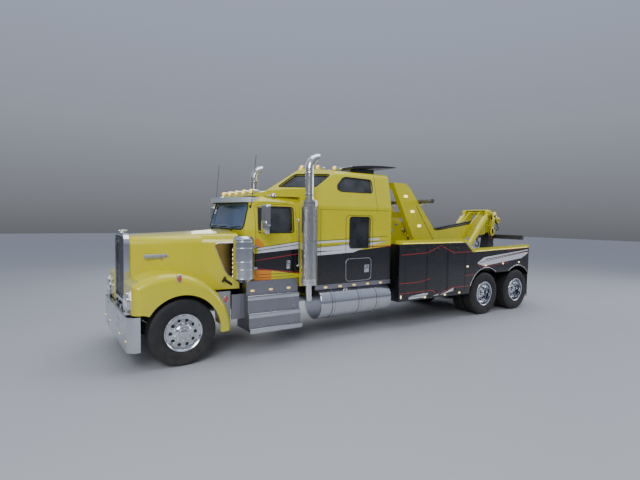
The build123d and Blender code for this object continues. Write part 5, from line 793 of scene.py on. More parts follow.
# %% Finishes for the CAD nodes
NODE_FINISHES = {
    "frame_rails": frame_paint, "axles": frame_paint, "suspension": frame_paint, "engine": engine_finish,
    "bumper": chrome, "hood": hood_paint, "grille": chrome, "headlights": chrome, "cab_shell": cab_paint,
    "door_glass": dark_glass, "door_": cab_paint, "sleeper_shell": cab_paint, "fixed_glass": cab_glass,
    "cab_interior": cabin_trim, "visor": visor_sky_tinted_metal, "air_cleaners": polished, "exhaust_stacks": chrome,
    "steps": tread_metal, "fuel_tanks": polished, "knuckle": frame_paint, "tyre": tyre_rubber,
    "rim": polished, "mirror": chrome, "roof_wing": body_paint,
    "wrecker_body": body_paint, "locker": body_paint,
    "deck_rails": yellow_paint, "tail_deck": body_paint, "pylon": yellow_paint, "light_bar": dark_steel,
    "winch": yellow_paint, "mudflaps": soft_rubber, "lamps": amber, "boom": yellow_paint,
    "lift_barrels": yellow_paint, "lift_rods": rod_metal, "underlift": dark_steel, "stinger": dark_steel,
    "crossbar": dark_steel,
}


def finish_for(node_name):
    """The finish of the first name in the list that the node's name begins with."""
    return next(finish for start, finish in NODE_FINISHES.items() if node_name.startswith(start))


for node_name, node in nodes.items():
    for holder in node.material_slots:
        holder.material = finish_for(node_name)
print("finished CAD nodes:", len(nodes))

# %% [markdown]
# ## Tyres
# A truck tyre is a turned shape whose tread is cut afterwards. The radius at each place is
# the carcass's profile, less the depth of the grooves that pass there, so the whole tyre is
# one grid: across its width one way and round its axle the other.

# %% Tyre surface
TYRE_RADIUS, CROWN_DROP = 0.530, 0.006
GROOVE_DEPTH, GROOVE_HALF, GROOVE_WALL = 0.013, 0.024, 0.004
CUT_DEPTH, CUT_SHARE, CUT_OFFSET = 0.009, 0.26, 0.35


def tyre(middle_x, width, axle_y, ribs, lug_count=56, steps_round=224):
    """Radius over (x, turn): a bulged profile minus grooves round the tyre and cuts across it."""
    side_x = np.array([-0.84, -0.90, -0.97, -1.0, -0.985, -0.94, -0.90, -0.87])
    side_r = np.array([0.2905, 0.303, 0.355, 0.415, 0.460, 0.495, 0.507, 0.520])
    walls = [ribs + way * (GROOVE_HALF + rim * GROOVE_WALL) for way in (-1, 1) for rim in (-1, 1)]
    crown_x = np.concatenate([[-0.84, -0.72], np.sort(np.concatenate(walls)), [0.72, 0.84]])
    grooved = np.abs(crown_x[:, None] - ribs[None, :]).min(axis=1) < GROOVE_HALF
    crown_r = TYRE_RADIUS - CROWN_DROP * crown_x ** 4 - grooved * GROOVE_DEPTH
    place = np.concatenate([side_x, crown_x, -side_x[::-1]])
    radius = np.concatenate([side_r, crown_r, side_r[::-1]])
    turn = full_turn(steps_round)
    phase = (turn[None, :] * lug_count / (2 * np.pi) + CUT_OFFSET * np.sign(place)[:, None]) % 1.0
    shoulder = (np.abs(place) > 0.60) & (radius > 0.500)
    surface = radius[:, None] - ((phase < CUT_SHARE) & shoulder[:, None]) * CUT_DEPTH
    bore_x, bore_r = np.array([0.84, -0.84]), np.array([0.2903, 0.2903])
    surface = np.concatenate([surface, np.repeat(bore_r[:, None], steps_round, axis=1)])
    place = np.concatenate([place, bore_x]) * width / 2
    points = np.stack([np.broadcast_to(place[:, None], surface.shape), surface * np.cos(turn),
                       surface * np.sin(turn)], axis=-1)
    points = np.concatenate([points, points[:1]]).reshape(-1, 3)
    return points + (middle_x, axle_y, WHEEL_Z), [grid_faces(len(place) + 1, steps_round)]


STEER_RIBS = np.array([-0.56, -0.28, 0.0, 0.28, 0.56])
DRIVE_RIBS = np.array([-0.42, 0.0, 0.42])
STEER_X, STEER_WIDTH = 1.050, 0.300
TWIN_X, TWIN_WIDTH = (0.750, 1.080), 0.285
for side, sign in SIDES.items():
    tread = tyre(sign * STEER_X, STEER_WIDTH, FRONT_AXLE_Y, STEER_RIBS, 64, 256)
    new_tyre = piece(f"steer_tyre_{side}", [tread], (tyre_rubber, "tyre"), 30, f"wheel_front_{side}")
    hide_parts(f"tyre_front_{side}")
    for axle, axle_y in DRIVE_AXLES.items():
        twins = [tyre(sign * x, TWIN_WIDTH, axle_y, DRIVE_RIBS) for x in TWIN_X]
        new_tyre = piece(f"twin_tyres_{axle}_{side}", twins,
                         (tyre_rubber, "tyre"), 30, f"wheels_{axle}_{side}")
        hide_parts(f"tyres_{axle}_{side}")

# %% [markdown]
# ## Wheels
# The steered wheels are forged discs with ten hand holes, a ring of covered nuts and a
# chrome hub cover. The disc is made as ten equal sectors, each a grid that runs from its
# round hole out to the sector's edge, so that the holes are truly round and open.

# %% A wheel disc with hand holes
HOLE_BEVEL = 0.003
NUTS_A_WHEEL = 10


def holed_disc(centre, outward, profile, holes, hole_radius, hole_circle, inner, outer, thickness,
               points_round=32):
    """Sectors of a disc: rays from a hole's edge to the sector's edge, in (radius, turn)."""
    ray = full_turn(points_round) + np.pi / points_round
    square = 1 / np.maximum(np.abs(np.cos(ray)), np.abs(np.sin(ray)))
    hole_r = hole_circle + hole_radius * np.cos(ray)
    hole_turn = hole_radius * np.sin(ray) / hole_circle
    edge_x, edge_y = np.cos(ray) * square, np.sin(ray) * square
    edge_r = np.where(edge_x > 0, hole_circle + (outer - hole_circle) * edge_x,
                      hole_circle + (hole_circle - inner) * edge_x)
    edge_turn = edge_y * np.pi / holes
    share = np.array([0.0, 0.0, 0.08, 0.4, 1.0])[:, None]
    radius = hole_r + (edge_r - hole_r) * share
    turn = hole_turn + (edge_turn - hole_turn) * share
    depth = np.interp(radius, profile[0], profile[1])
    depth[0] -= thickness
    depth[1] -= HOLE_BEVEL
    turns = turn[None] + np.arange(holes)[:, None, None] * 2 * np.pi / holes
    points = np.stack([np.broadcast_to(depth, turns.shape) * outward, radius * np.cos(turns),
                       radius * np.sin(turns)], axis=-1)
    faces = [grid_faces(len(share), points_round)]
    return [(sector.reshape(-1, 3) + centre, faces) for sector in points]


def wheel_nuts(profile, centre, axis, circle_radius, segments, start=0.0):
    """Equal turned nuts on a circle about the wheel's axle."""
    nut = turned(profile, centre + (0, circle_radius, 0), axis, segments)
    return around(nut, centre, axis, NUTS_A_WHEEL, start)


def steer_wheel_forms(sign):
    """Rim and disc, hub cover and nut covers, and brake plate, as profiles about the axle."""
    centre = np.array([0.0, FRONT_AXLE_Y, WHEEL_Z])
    axis = (sign, 0, 0)
    barrel = turned([(0.2885, 0.908), (0.300, 0.908), (0.300, 0.915), (0.2885, 0.922), (0.262, 0.945),
                     (0.262, 1.150), (0.2885, 1.178), (0.300, 1.186), (0.302, 1.194), (0.298, 1.200),
                     (0.288, 1.196), (0.272, 1.180), (0.270, 1.150), (0.250, 1.140), (0.250, 0.945),
                     (0.270, 0.915)], centre, axis, 72, closed=True)
    disc = holed_disc(centre, sign, ([0.10, 0.165, 0.225, 0.272], [1.186, 1.176, 1.160, 1.172]), holes=10,
                      hole_radius=0.027, hole_circle=0.195, inner=0.12, outer=0.272, thickness=0.03)
    back = turned([(0.11, 1.120), (0.249, 1.120), (0.249, 1.100), (0.11, 1.100)],
                  centre, axis, 48, closed=True)
    cover = turned([(0.0, 1.238), (0.040, 1.236), (0.072, 1.226), (0.078, 1.216), (0.080, 1.206),
                    (0.096, 1.204), (0.108, 1.198), (0.128, 1.186), (0.130, 1.170), (0.0, 1.170)],
                   centre, axis, 48)
    nuts = wheel_nuts([(0.0, 1.212), (0.008, 1.211), (0.013, 1.206), (0.0165, 1.196), (0.0165, 1.170),
                       (0.0, 1.170)], centre, axis, 0.142, 12, 0.31)
    return [barrel] + disc, [cover] + nuts, [back]


for side, sign in SIDES.items():
    rim, covers, back = steer_wheel_forms(sign)
    wheel = piece(f"steer_rim_{side}", rim, POLISHED, 30, f"wheel_front_{side}")
    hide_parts(f"rim_front_{side}")
    piece(f"steer_hub_cover_{side}", covers, CHROME, 30, f"wheel_front_{side}")
    piece(f"steer_brake_drum_{side}", back, DARK_STEEL, body=f"wheel_front_{side}")


# %% Drive wheels, deep dished
def drive_wheel_forms(sign, axle_y):
    """The outer rim's lip and dish, and the hub with its nuts, as profiles about the axle."""
    centre = np.array([0.0, axle_y, WHEEL_Z])
    axis = (sign, 0, 0)
    lip = turned([(0.2885, 1.19), (0.300, 1.20), (0.303, 1.212), (0.299, 1.220), (0.290, 1.216),
                  (0.276, 1.200), (0.268, 1.170), (0.264, 1.10), (0.262, 1.02), (0.258, 0.985),
                  (0.240, 0.950), (0.200, 0.935), (0.200, 0.925), (0.262, 0.925), (0.2885, 1.02)],
                 centre, axis, 72, closed=True)
    hub = turned([(0.0, 1.190), (0.030, 1.188), (0.056, 1.176), (0.062, 1.160), (0.064, 1.112),
                  (0.100, 1.106), (0.116, 1.096), (0.120, 0.955), (0.0, 0.955)], centre, axis, 40)
    nuts = wheel_nuts([(0.0, 0.985), (0.010, 0.984), (0.0155, 0.975), (0.0155, 0.928), (0.0, 0.928)],
                      centre, axis, 0.155, 10)
    return [lip], [hub] + nuts


for side, sign in SIDES.items():
    for axle, axle_y in DRIVE_AXLES.items():
        lip, hub = drive_wheel_forms(sign, axle_y)
        piece(f"dish_{axle}_{side}", lip, POLISHED, 30, f"wheels_{axle}_{side}")
        piece(f"hub_{axle}_{side}", hub, CHROME, 30, f"wheels_{axle}_{side}")

# %% [markdown]
# ## Sitting on the surface
# A lamp or seal on a curved panel looks right only when it touches the panel all round. A
# line is sent from outside towards the CAD node, and where it lands gives the place and the
# way the panel faces there.

# %% Landing on CAD nodes
panels = {}


def panel(node_name):
    """The search tree of a CAD node's faces, made once."""
    if node_name not in panels:
        mesh = nodes[node_name].data
        panels[node_name] = BVHTree.FromPolygons([corner.co[:] for corner in mesh.vertices],
                                                 [face.vertices[:] for face in mesh.polygons])
    return panels[node_name]


def landing(node_name, start, towards):
    """Where a line from start first meets a CAD node, and the panel's outward normal there."""
    towards = unit(towards)
    point, normal, _, _ = panel(node_name).ray_cast(Vector(start), Vector(towards))
    if point is None:
        raise ValueError(f"no surface of {node_name} ahead of {start}")
    return np.array(point), np.array(normal) * -np.sign(np.array(normal) @ towards)


def on_side(node_name, distance, z, sign=1.0):
    """The place and normal on a node's left or right side at that distance aft and height."""
    return landing(node_name, (sign * 2.5, aft(distance), z), (-sign, 0, 0))


def on_front(node_name, x, z):
    """The place and normal that a line from ahead of the truck meets first."""
    return landing(node_name, (x, aft(-2.0), z), -FORWARD)


def on_top(node_name, x, distance):
    """The place that a line from above meets first."""
    return landing(node_name, (x, aft(distance), 4.0), -UPRIGHT)[0]


def draped(node_name, outline, origin, side, up, lift=0.0):
    """An outline in side x up, carried back along its normal onto a node; holes are bridged."""
    side, up = unit(side), unit(up)
    out = np.cross(side, up)
    starts = np.asarray(origin, float) + outline[:, :1] * side + outline[:, 1:] * up + out
    reach = np.array([distance if distance else np.inf for _, _, _, distance in
                      (panel(node_name).ray_cast(Vector(start), Vector(-out)) for start in starts)])
    met = reach < np.median(reach) + 0.2
    reach = np.interp(np.arange(len(reach)), np.flatnonzero(met), reach[met], period=len(reach))
    return starts + (lift - reach[:, None]) * out


def side_drape(node_name, outline, sign, lift=0.0):
    """An outline in distance aft x height, dropped onto a node's left or right side."""
    return draped(node_name, outline * (sign, 1), (sign * 1.5, FRONT_AXLE_Y, 0), (0, sign, 0), UPRIGHT, lift)


def front_drape(node_name, outline, distance, lift=0.0):
    """An outline in x x height, dropped onto a node from a plane that far behind the front axle."""
    return draped(node_name, outline, (0, aft(distance), 0), ACROSS, UPRIGHT, lift)


def evenly(corners, count):
    """Points at equal steps along a broken line."""
    corners = np.asarray(corners, float)
    run = np.concatenate([[0], np.cumsum(np.linalg.norm(np.diff(corners, axis=0), axis=1))])
    steps = np.linspace(0, run[-1], count)
    return np.stack([np.interp(steps, run, corners[:, k]) for k in range(corners.shape[1])], axis=-1)


def evenly_round(ring, count):
    """Points at equal steps round a closed line."""
    return evenly(np.concatenate([ring, ring[:1]]), count + 1)[:-1]


print("nodes to land on:", len(nodes))

# %% [markdown]
# ## Lamps
# Marker lamps are moulded lenses in a bright bezel. One lens is a dome over an oval: each
# ring of points shrinks as a cosine while it rises as a sine.

# %% Ovals, domes and bezels
def oval(length, height, points=28):
    """A full oval: x and y are signed powers of the cosine and the sine."""
    turn = full_turn(points)
    return 0.5 * np.stack([length * np.sign(np.cos(turn)) * np.abs(np.cos(turn)) ** 0.75,
                           height * np.sign(np.sin(turn)) * np.abs(np.sin(turn)) ** 0.75], axis=-1)


def domed(outline, origin, side, up, height, rings=5):
    """An outline raised into a closed dome by cosine and sine rings."""
    side, up = unit(side), unit(up)
    rise = np.linspace(0, 0.48 * np.pi, rings)[:, None, None]
    loops = outline[None] * np.cos(rise)
    points = (np.asarray(origin, float) + loops[..., :1] * side + loops[..., 1:] * up
              + height * np.sin(rise) * np.cross(side, up))
    rim = np.arange(len(outline))
    return points.reshape(-1, 3), [grid_faces(rings, len(rim)), rim, rim + (rings - 1) * len(rim)]


def bead(outline, origin, side, up, radius, segments=8):
    """A round bead that follows an outline."""
    side, up = unit(side), unit(up)
    path = np.asarray(origin, float) + outline[:, :1] * side + outline[:, 1:] * up
    return swept(path, circle(radius, segments), np.cross(side, up), closed=True)


def marker(place, normal, along, length=0.080, height=0.036, rim=0.0045, rise=0.016):
    """A bezel and a lens on a panel; along is the lamp's long way."""
    along = np.asarray(along, float)
    along = unit(along - normal * (along @ normal))
    over = np.cross(normal, along)
    outline = oval(length, height)
    return bead(outline, place, along, over, rim), \
        domed(0.97 * outline, place - 0.002 * normal, along, over, rise)


def markers(name, places, body, glass, bezel=None, **sizes):
    """Bezels as one piece and lenses as another, for a list of (place, normal, along)."""
    lamps = [marker(*place, **sizes) for place in places]
    piece(f"{name}_bezels", [rim for rim, _ in lamps], (bezel or chrome, "chrome"), 50, body)
    return piece(f"{name}_lenses", [dome for _, dome in lamps], (glass, "lens"), 50, body)


def side_places(node_name, spots, along):
    """Place, normal and lamp's long way on both sides, for spots at (distance aft, height)."""
    return [(*on_side(node_name, distance, z, sign), along) for sign in (1, -1) for distance, z in spots]


# %% Marker lamps of the sills, body, pylon and tail
SILL_LAMPS = [(2.74 + 0.35 * k, 1.028) for k in range(5)] + [(1.21 + 0.36 * k, 1.083) for k in range(3)]
BODY_LAMPS = [(6.800, 1.25), (7.505, 1.245), (8.226, 1.262), (8.939, 1.266), (6.516, 0.640), (5.342, 0.630),
              (6.009, 0.633)]
CHEST_FRONT_LAMP = [(4.602, 0.693)]
PYLON_LAMPS = [(5.349, 2.907), (5.580, 2.556), (5.817, 2.217)]
TAIL_LAMP_X, TAIL_LAMP_Z = (0.93, 1.03, 1.13), 1.18
sill_lenses = markers("sill_lamp", side_places("steps", SILL_LAMPS, LENGTHWAYS), "chassis", amber)
markers("body_lamp", side_places("wrecker_body", BODY_LAMPS, LENGTHWAYS)
        + side_places("wrecker_body", CHEST_FRONT_LAMP, UPRIGHT), "chassis", warm_white, length=0.075)
markers("pylon_lamp", side_places("pylon", PYLON_LAMPS, LENGTHWAYS), "chassis", warm_white, yellow_paint,
        length=0.150, height=0.082, rim=0.010, rise=0.018)
tail_places = [(*landing("wrecker_body", (sign * x, aft(10.4), TAIL_LAMP_Z), FORWARD), ACROSS)
               for sign in (1, -1) for x in TAIL_LAMP_X]
tail_lenses = markers("tail_lamp", tail_places, "chassis", red_lens, length=0.084, height=0.084, rise=0.022)


# %% Fender lamps
def fender_lamp(sign):
    """A rounded chrome back on the fender's crown, and a dome over an oval that faces out."""
    out = unit((sign, 0, 0.15))
    centre = on_side("hood", -0.077, 1.395, sign)[0] + 0.020 * out
    back = rounded_block(centre, (0.034, 0.078, 0.120), 0.014)
    side = np.array([0, sign, 0])
    return back, domed(oval(0.064, 0.106), centre + 0.016 * out, side, np.cross(out, side), 0.014)


fender_backs, fender_lenses = zip(*(fender_lamp(sign) for sign in (1, -1)))
piece("fender_lamp_backs", fender_backs, CHROME, body="hood")
piece("fender_lamp_lenses", fender_lenses, (red_amber, "lens"), body="hood")

# %% [markdown]
# The roof lamps are torpedo shapes: a lens dome ahead of a bright tail. Both are turned
# about a line along the truck, and stand on a short foot.

# %% Roof lamps
CAB_LAMP_X, CAB_LAMP_AFT = (-0.68, -0.34, 0, 0.34, 0.68), 1.37
CROWN_LAMP_X, CROWN_LAMP_AFT, CROWN_SWEEP = (-0.70, -0.35, 0, 0.35, 0.70), 2.84, 0.52


def torpedo(place, radius=0.040):
    """Tail, foot and lens of a roof lamp: two profiles along the truck over a rounded block."""
    centre = np.asarray(place, float) + (0, 0, radius + 0.012)
    tail = turned([(0, 0), (1.10 * radius, 0), (1.12 * radius, 0.010), (1.02 * radius, 0.028),
                   (0.86 * radius, 0.09), (0.55 * radius, 0.155), (0.2 * radius, 0.19), (0, 0.196)],
                  centre, LENGTHWAYS, 20)
    foot = rounded_block(centre + (0, 0.07, -0.6 * radius - 0.012), (0.040, 0.15, 0.05), 0.008)
    dome = turned([(0, -0.048), (0.42 * radius, -0.045), (0.76 * radius, -0.034), (0.96 * radius, -0.016),
                   (radius, 0.002), (0, 0.002)], centre, LENGTHWAYS, 20)
    return [tail, foot], dome


roof_places = [on_top("sleeper_shell", x, CAB_LAMP_AFT) for x in CAB_LAMP_X]
roof_places += [on_top("sleeper_shell", x, CROWN_LAMP_AFT + CROWN_SWEEP * abs(x)) for x in CROWN_LAMP_X]
roof_lamps = [torpedo(place) for place in roof_places]
piece("roof_lamp_tails", [form for tail, _ in roof_lamps for form in tail], CHROME)
roof_lenses = piece("roof_lamp_lenses", [dome for _, dome in roof_lamps], (amber, "lens"), 60)
for lenses in (roof_lenses, sill_lenses, tail_lenses):
    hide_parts("lamps")

# %% [markdown]
# ## Glass and its seals
# Each pane sits in a black rubber seal that laps onto the panel. The seal is a bead along
# the pane's outline, dropped onto the panel, so that it follows the bow of the windscreen.

# %% Window seals and bright frames
def window_outline(corners, grow, radius, count=72):
    """A window's outline, grown outwards from its middle and rounded."""
    corners = np.asarray(corners, float)
    corners = corners + np.sign(corners - corners.mean(axis=0)) * grow
    return evenly_round(rounded_outline(corners, radius), count)


def side_seal(node_name, corners, sign, grow, radius, bead_radius):
    """A bead round a side window that is given as distance aft and height."""
    path = side_drape(node_name, window_outline(corners, grow, radius), sign, 0.001)
    return tube(path, bead_radius, 8, closed=True)


UPPER_PANE = [(3.030, 2.995), (3.230, 3.185), (3.935, 3.165), (3.935, 2.905), (3.090, 2.905)]
MIDDLE_PANE = [(3.320, 1.780), (3.320, 2.390), (3.830, 2.390), (3.830, 1.780)]
DOOR_PANE = [(1.370, 2.100), (1.370, 2.545), (2.060, 2.545), (2.060, 2.100)]
sleeper_seals = [side_seal("sleeper_shell", pane, sign, 0.008, corner, 0.010)
                 for sign in (1, -1) for pane, corner in ((UPPER_PANE, 0.08), (MIDDLE_PANE, 0.06))]

# the front panes lie in the two swept-back planes of the sleeper's nose
NOSE_SWEEP, NOSE_RAKE = 0.49, 1.59
NOSE_AFT, NOSE_Z = 2.11, 2.98
NOSE_FACING = unit((NOSE_SWEEP, -1.0, NOSE_RAKE))
NOSE_ALONG = unit((1.0, NOSE_SWEEP, 0.0))
NOSE_UP = np.cross(NOSE_FACING, NOSE_ALONG)
NOSE_CORNERS = np.array([(x, aft(NOSE_AFT + NOSE_SWEEP * x + NOSE_RAKE * (z - NOSE_Z)), z)
                         for x, z in ((0.140, 2.992), (0.100, 3.270), (0.925, 3.222), (0.990, 2.950))])


def nose_seal(grow=0.006, lift=0.002):
    """A bead round the left front pane, drawn in its plane and set a small way out from it."""
    flat = np.stack([NOSE_CORNERS @ NOSE_ALONG, NOSE_CORNERS @ NOSE_UP], axis=-1)
    outline = window_outline(flat, grow, 0.075)
    level = NOSE_CORNERS[0] @ NOSE_FACING + lift
    path = outline[:, :1] * NOSE_ALONG + outline[:, 1:] * NOSE_UP + level * NOSE_FACING
    return tube(path, 0.011, 8, closed=True)


piece("sleeper_window_seals", sleeper_seals + both_sides([nose_seal()]), RUBBER, 60)
for side, sign in SIDES.items():
    seal = side_seal(f"door_{side}", DOOR_PANE, sign, 0.010, 0.06, 0.011)
    piece(f"door_glass_seal_{side}", [seal], RUBBER, 60, f"door_{side}")

# %% [markdown]
# ## Panel lines and bright trim
# Seams, hatches and rub rails are thin beads dropped onto the panels in the same way. They
# give the big flat sides of the sleeper their scale.

# %% Seams and hatches of the sleeper
def side_line(node_name, corners, sign, radius, lift=0.0, count=24, segments=6):
    """A bead along a line on a side panel, given as distance aft and height."""
    return tube(side_drape(node_name, evenly(corners, count), sign, lift), radius, segments)


def ring_line(node_name, ring, sign, radius, lift=0.0, count=80):
    """A closed bead on a side panel."""
    return tube(side_drape(node_name, evenly_round(ring, count), sign, lift), radius, 8, closed=True)


SEAMS = ([(2.60, 2.531), (4.395, 2.539)], [(4.02, 2.535), (4.02, 3.25)], [(2.62, 1.10), (2.62, 2.53)])
seams = [side_line("sleeper_shell", corners, sign, 0.0035) for sign in (1, -1) for corners in SEAMS]
frame_ring = rounded_outline([(3.22, 1.63), (3.22, 2.43), (3.91, 2.43), (3.91, 1.63)], 0.09)
hatch_ring = rounded_outline([(3.23, 1.11), (3.23, 1.56), (3.88, 1.56), (3.88, 1.11)], 0.09)
piece("sleeper_seams", seams + [ring_line("sleeper_shell", frame_ring, sign, 0.0045) for sign in (1, -1)],
      RUBBER, 60)
piece("hatch_frames", [ring_line("sleeper_shell", hatch_ring, sign, 0.007, 0.001) for sign in (1, -1)],
      BRUSHED, 60)


# %% Paddle handles
def rectangle(width, height, radius):
    """A rounded rectangle about its middle."""
    x, y = width / 2, height / 2
    return rounded_outline([(-x, -y), (x, -y), (x, y), (-x, y)], radius)


def paddle_handle(distance, z, sign, node_name, length, width):
    """A recessed paddle handle: a bezel, a cupped plate and the paddle over it."""
    place, normal = on_side(node_name, distance, z, sign)
    over = np.cross(UPRIGHT, normal)
    outline = rectangle(width, length, 0.022)
    return [bead(outline, place, over, UPRIGHT, 0.005), domed(0.97 * outline, place, over, UPRIGHT, 0.004, 4),
            rounded_block(place + 0.010 * normal, (0.014, width * 0.6, length * 0.62), 0.006)]


hatch_handles = [paddle_handle(3.765, 1.345, sign, "sleeper_shell", 0.15, 0.12) for sign in (1, -1)]
piece("hatch_handles", sum(hatch_handles, []), POLISHED)

# %% Door, cab and mirror trim
def bar_on_feet(start, end, normal, radius=0.012, stand=0.045):
    """A grab bar: a tube that leaves the panel at one end and comes back to it at the other."""
    start, end, normal = (np.asarray(v, float) for v in (start, end, normal))
    along = unit(end - start)
    corners = [start - 0.004 * normal, start + stand * normal, start + stand * normal + 0.05 * along,
               end + stand * normal - 0.05 * along, end + stand * normal, end - 0.004 * normal]
    foot = [(0, 0), (2.1 * radius, 0), (2.0 * radius, 0.006), (1.2 * radius, 0.010), (0, 0.010)]
    feet = [turned(foot, place, normal, 16) for place in (start, end)]
    return [tube(curve_through(corners), radius, 12)] + feet


STEP_LINE = [(1.318, 1.345), (2.112, 1.345)]
MIRROR_X = 1.300
for side, sign in SIDES.items():
    door = f"door_{side}"
    piece(f"door_handle_{side}", paddle_handle(1.965, 1.50, sign, door, 0.15, 0.072), CHROME, body=door)
    piece(f"door_lines_{side}", [side_line(door, STEP_LINE, sign, 0.004)], RUBBER, 60, door)
    face = plate(rectangle(0.170, 0.350, 0.03), (sign * MIRROR_X, aft(1.3985), 2.390), -ACROSS, UPRIGHT,
                 0.0025, 0.001)
    piece(f"mirror_glass_{side}", [face], (mirror_glass, "glass"), body=door)
GRAB_BAR_AFT, GRAB_BAR_ENDS = 2.160, (1.47, 2.33)
grab_bars = [bar_on_feet(*(on_side("cab_shell", GRAB_BAR_AFT, z, sign)[0] for z in GRAB_BAR_ENDS),
                         (sign, 0, 0)) for sign in (1, -1)]
piece("cab_grab_bars", sum(grab_bars, []), CHROME, 50)
GUTTER = [(1.24, 2.600), (1.33, 2.632), (1.58, 2.645), (1.95, 2.625), (2.13, 2.605)]
piece("cab_drip_rails", [side_line("cab_shell", GUTTER, sign, 0.009) for sign in (1, -1)],
      (yellow_paint, "cab_paint"), 60)


# %% Wipers, roof edge lamps and aerials
def wiper(x):
    """A blade that lies along the glass, a foot under it, and an arm between the two."""
    blade = front_drape("cab_shell", evenly([(x, 2.178), (x + 0.40, 2.196)], 12), 0.4, 0.014)
    foot = front_drape("cab_shell", np.array([[x + 0.05, 2.125]]), 0.4, 0.010)[0]
    arm = curve_through([foot, foot + (0.07, -0.020, 0.03), blade[7] + (0, -0.010, 0.004)])
    return [tube(blade, 0.006, 6), rounded_block(foot, (0.04, 0.03, 0.04), 0.012), tube(arm, 0.005, 6)]


def roof_edge_lamp(sign):
    """A turned dome on the roof's edge, with a block behind it."""
    seat = on_top("cab_shell", sign * 0.900, 1.70)
    dome = turned([(0, 0.082), (0.028, 0.078), (0.048, 0.060), (0.055, 0.035), (0.052, 0.0), (0, 0.0)], seat,
                  UPRIGHT, 24)
    return [dome, rounded_block(seat + (0, -0.070, 0.022), (0.050, 0.110, 0.036), 0.012)]


def aerial(sign):
    """A thin rod that leans back from a foot on the cab's side."""
    foot = on_side("cab_shell", 1.262, 2.560, sign)[0]
    rod = foot + np.array([(-0.004 * sign, 0, -0.03), (0.03 * sign, 0.01, 0.02), (0.045 * sign, 0.05, 0.50),
                           (0.05 * sign, 0.09, 0.90)])
    return [tube(rod, 0.0042, 6), rounded_block(foot + (0.012 * sign, 0, -0.01), (0.034, 0.03, 0.05), 0.008)]


piece("wipers", sum((wiper(x) for x in (-0.70, -0.16, 0.38)), []), RUBBER, 60)
piece("roof_edge_lamps", roof_edge_lamp(1) + roof_edge_lamp(-1), CHROME)
piece("aerials", aerial(1) + aerial(-1), RUBBER, 60)

# %% [markdown]
# ## Brightwork of the nose
# The nose carries most of the chrome: lamps in pods beside the grille, a deep bumper with
# marker lamps, and a plain ornament. The lenses are domes set in bezels.

# %% Headlamps, signals and the grille ornament
def round_lamp(node_name, x, z, radius, rise=0.016):
    """A bezel and a dome on the front face of a node."""
    place = on_front(node_name, x, z)[0]
    outline = circle(radius, 32)
    return bead(outline, place, ACROSS, UPRIGHT, 0.008), \
        domed(0.98 * outline, place + 0.001 * FORWARD, ACROSS, UPRIGHT, rise, 6)


HEADLAMP_X, HEADLAMP_Z, HEADLAMP_RADIUS = (0.800, 0.978), 1.018, 0.078
SIGNAL_X = 1.062
bezels, domes = zip(*(round_lamp("headlights", sign * x, HEADLAMP_Z, HEADLAMP_RADIUS)
                      for sign in (1, -1) for x in HEADLAMP_X))
piece("headlamp_bezels", bezels, CHROME, 50, "hood")
piece("headlamp_lenses", domes, (clear_lens, "lens"), 50, "hood")
signal_lens = rounded_block((SIGNAL_X, aft(-0.700), 1.166), (0.110, 0.120, 0.150), 0.036, 4)
signal_back = rounded_block((SIGNAL_X, aft(-0.655), 1.160), (0.126, 0.090, 0.170), 0.026, 4)
piece("signal_backs", both_sides([signal_back]), CHROME, 50, "hood")
piece("signal_lenses", both_sides([signal_lens]), (bright_lens, "lens"), 50, "hood")
crown = on_top("grille", 0, -0.70)
ornament = [turned([(0, 0.034), (0.012, 0.033), (0.024, 0.026), (0.032, 0.012), (0.036, 0.0), (0, 0.0)],
                   crown, UPRIGHT, 28),
            turned([(0, -0.075), (0.008, -0.070), (0.016, -0.045), (0.018, 0.0), (0.012, 0.05), (0, 0.10)],
                   crown + (0, 0.02, 0.030), LENGTHWAYS, 16)]
piece("hood_ornament", ornament, CHROME, body="hood")

# %% Bumper lamps, lip and blank plate
bumper_lamps = [(*on_front("bumper", x, 0.485), ACROSS) for x in (-1.08, -0.52, 0.52, 1.08)]
markers("bumper_lamp", bumper_lamps, "chassis", amber, length=0.110, height=0.044, rim=0.006)
lip = front_drape("bumper", evenly([(-1.20, 0.838), (1.20, 0.838)], 60), -1.2, -0.002)
piece("bumper_lip", [tube(lip, 0.008, 8)], CHROME, 60)
plate_place = on_front("bumper", 0.39, 0.635)[0]
blank = rectangle(0.330, 0.150, 0.012)
blank_plate = plate(blank, plate_place, ACROSS, UPRIGHT, 0.003)
piece("blank_front_plate", [blank_plate], (plate_paint, "trim"))
plate_frame = bead(blank * (1.02, 1.03), plate_place, ACROSS, UPRIGHT, 0.005)
piece("front_plate_frame", [plate_frame], CHROME, 60)
bumper_bolts = [turned([(0, 0.010), (0.022, 0.010), (0.030, 0.004), (0.032, -0.002), (0, -0.002)],
                       on_front("bumper", x, z)[0], FORWARD, 20) for x in (-0.78, 0.78) for z in (0.40, 0.76)]
piece("bumper_bolts", bumper_bolts, POLISHED)

# %% Hood vents, latches and recesses
LATCH_AXES = np.array([(1, 0, 0), (0, 0.82, -0.57), (0, 0.57, 0.82)])
RECESS = [(0.655, 1.905), (1.035, 1.915), (1.035, 1.300), (0.925, 1.290), (0.830, 1.400)]


def hood_vent(sign):
    """A long rounded block on the hood's side, eight short ones on it and a turned button below."""
    place, normal = on_side("hood", -0.170, 1.690, sign)
    slats = [rounded_block(place + 0.012 * normal + (0, along, 0), (0.016, 0.040, 0.030), 0.006)
             for along in np.linspace(-0.22, 0.22, 8)]
    button, out = on_side("hood", -0.170, 1.632, sign)
    return [rounded_block(place + 0.004 * normal, (0.022, 0.560, 0.074), 0.010)] + slats \
        + [turned([(0, 0.012), (0.009, 0.010), (0.013, 0.002), (0, 0)], button, out, 14)]


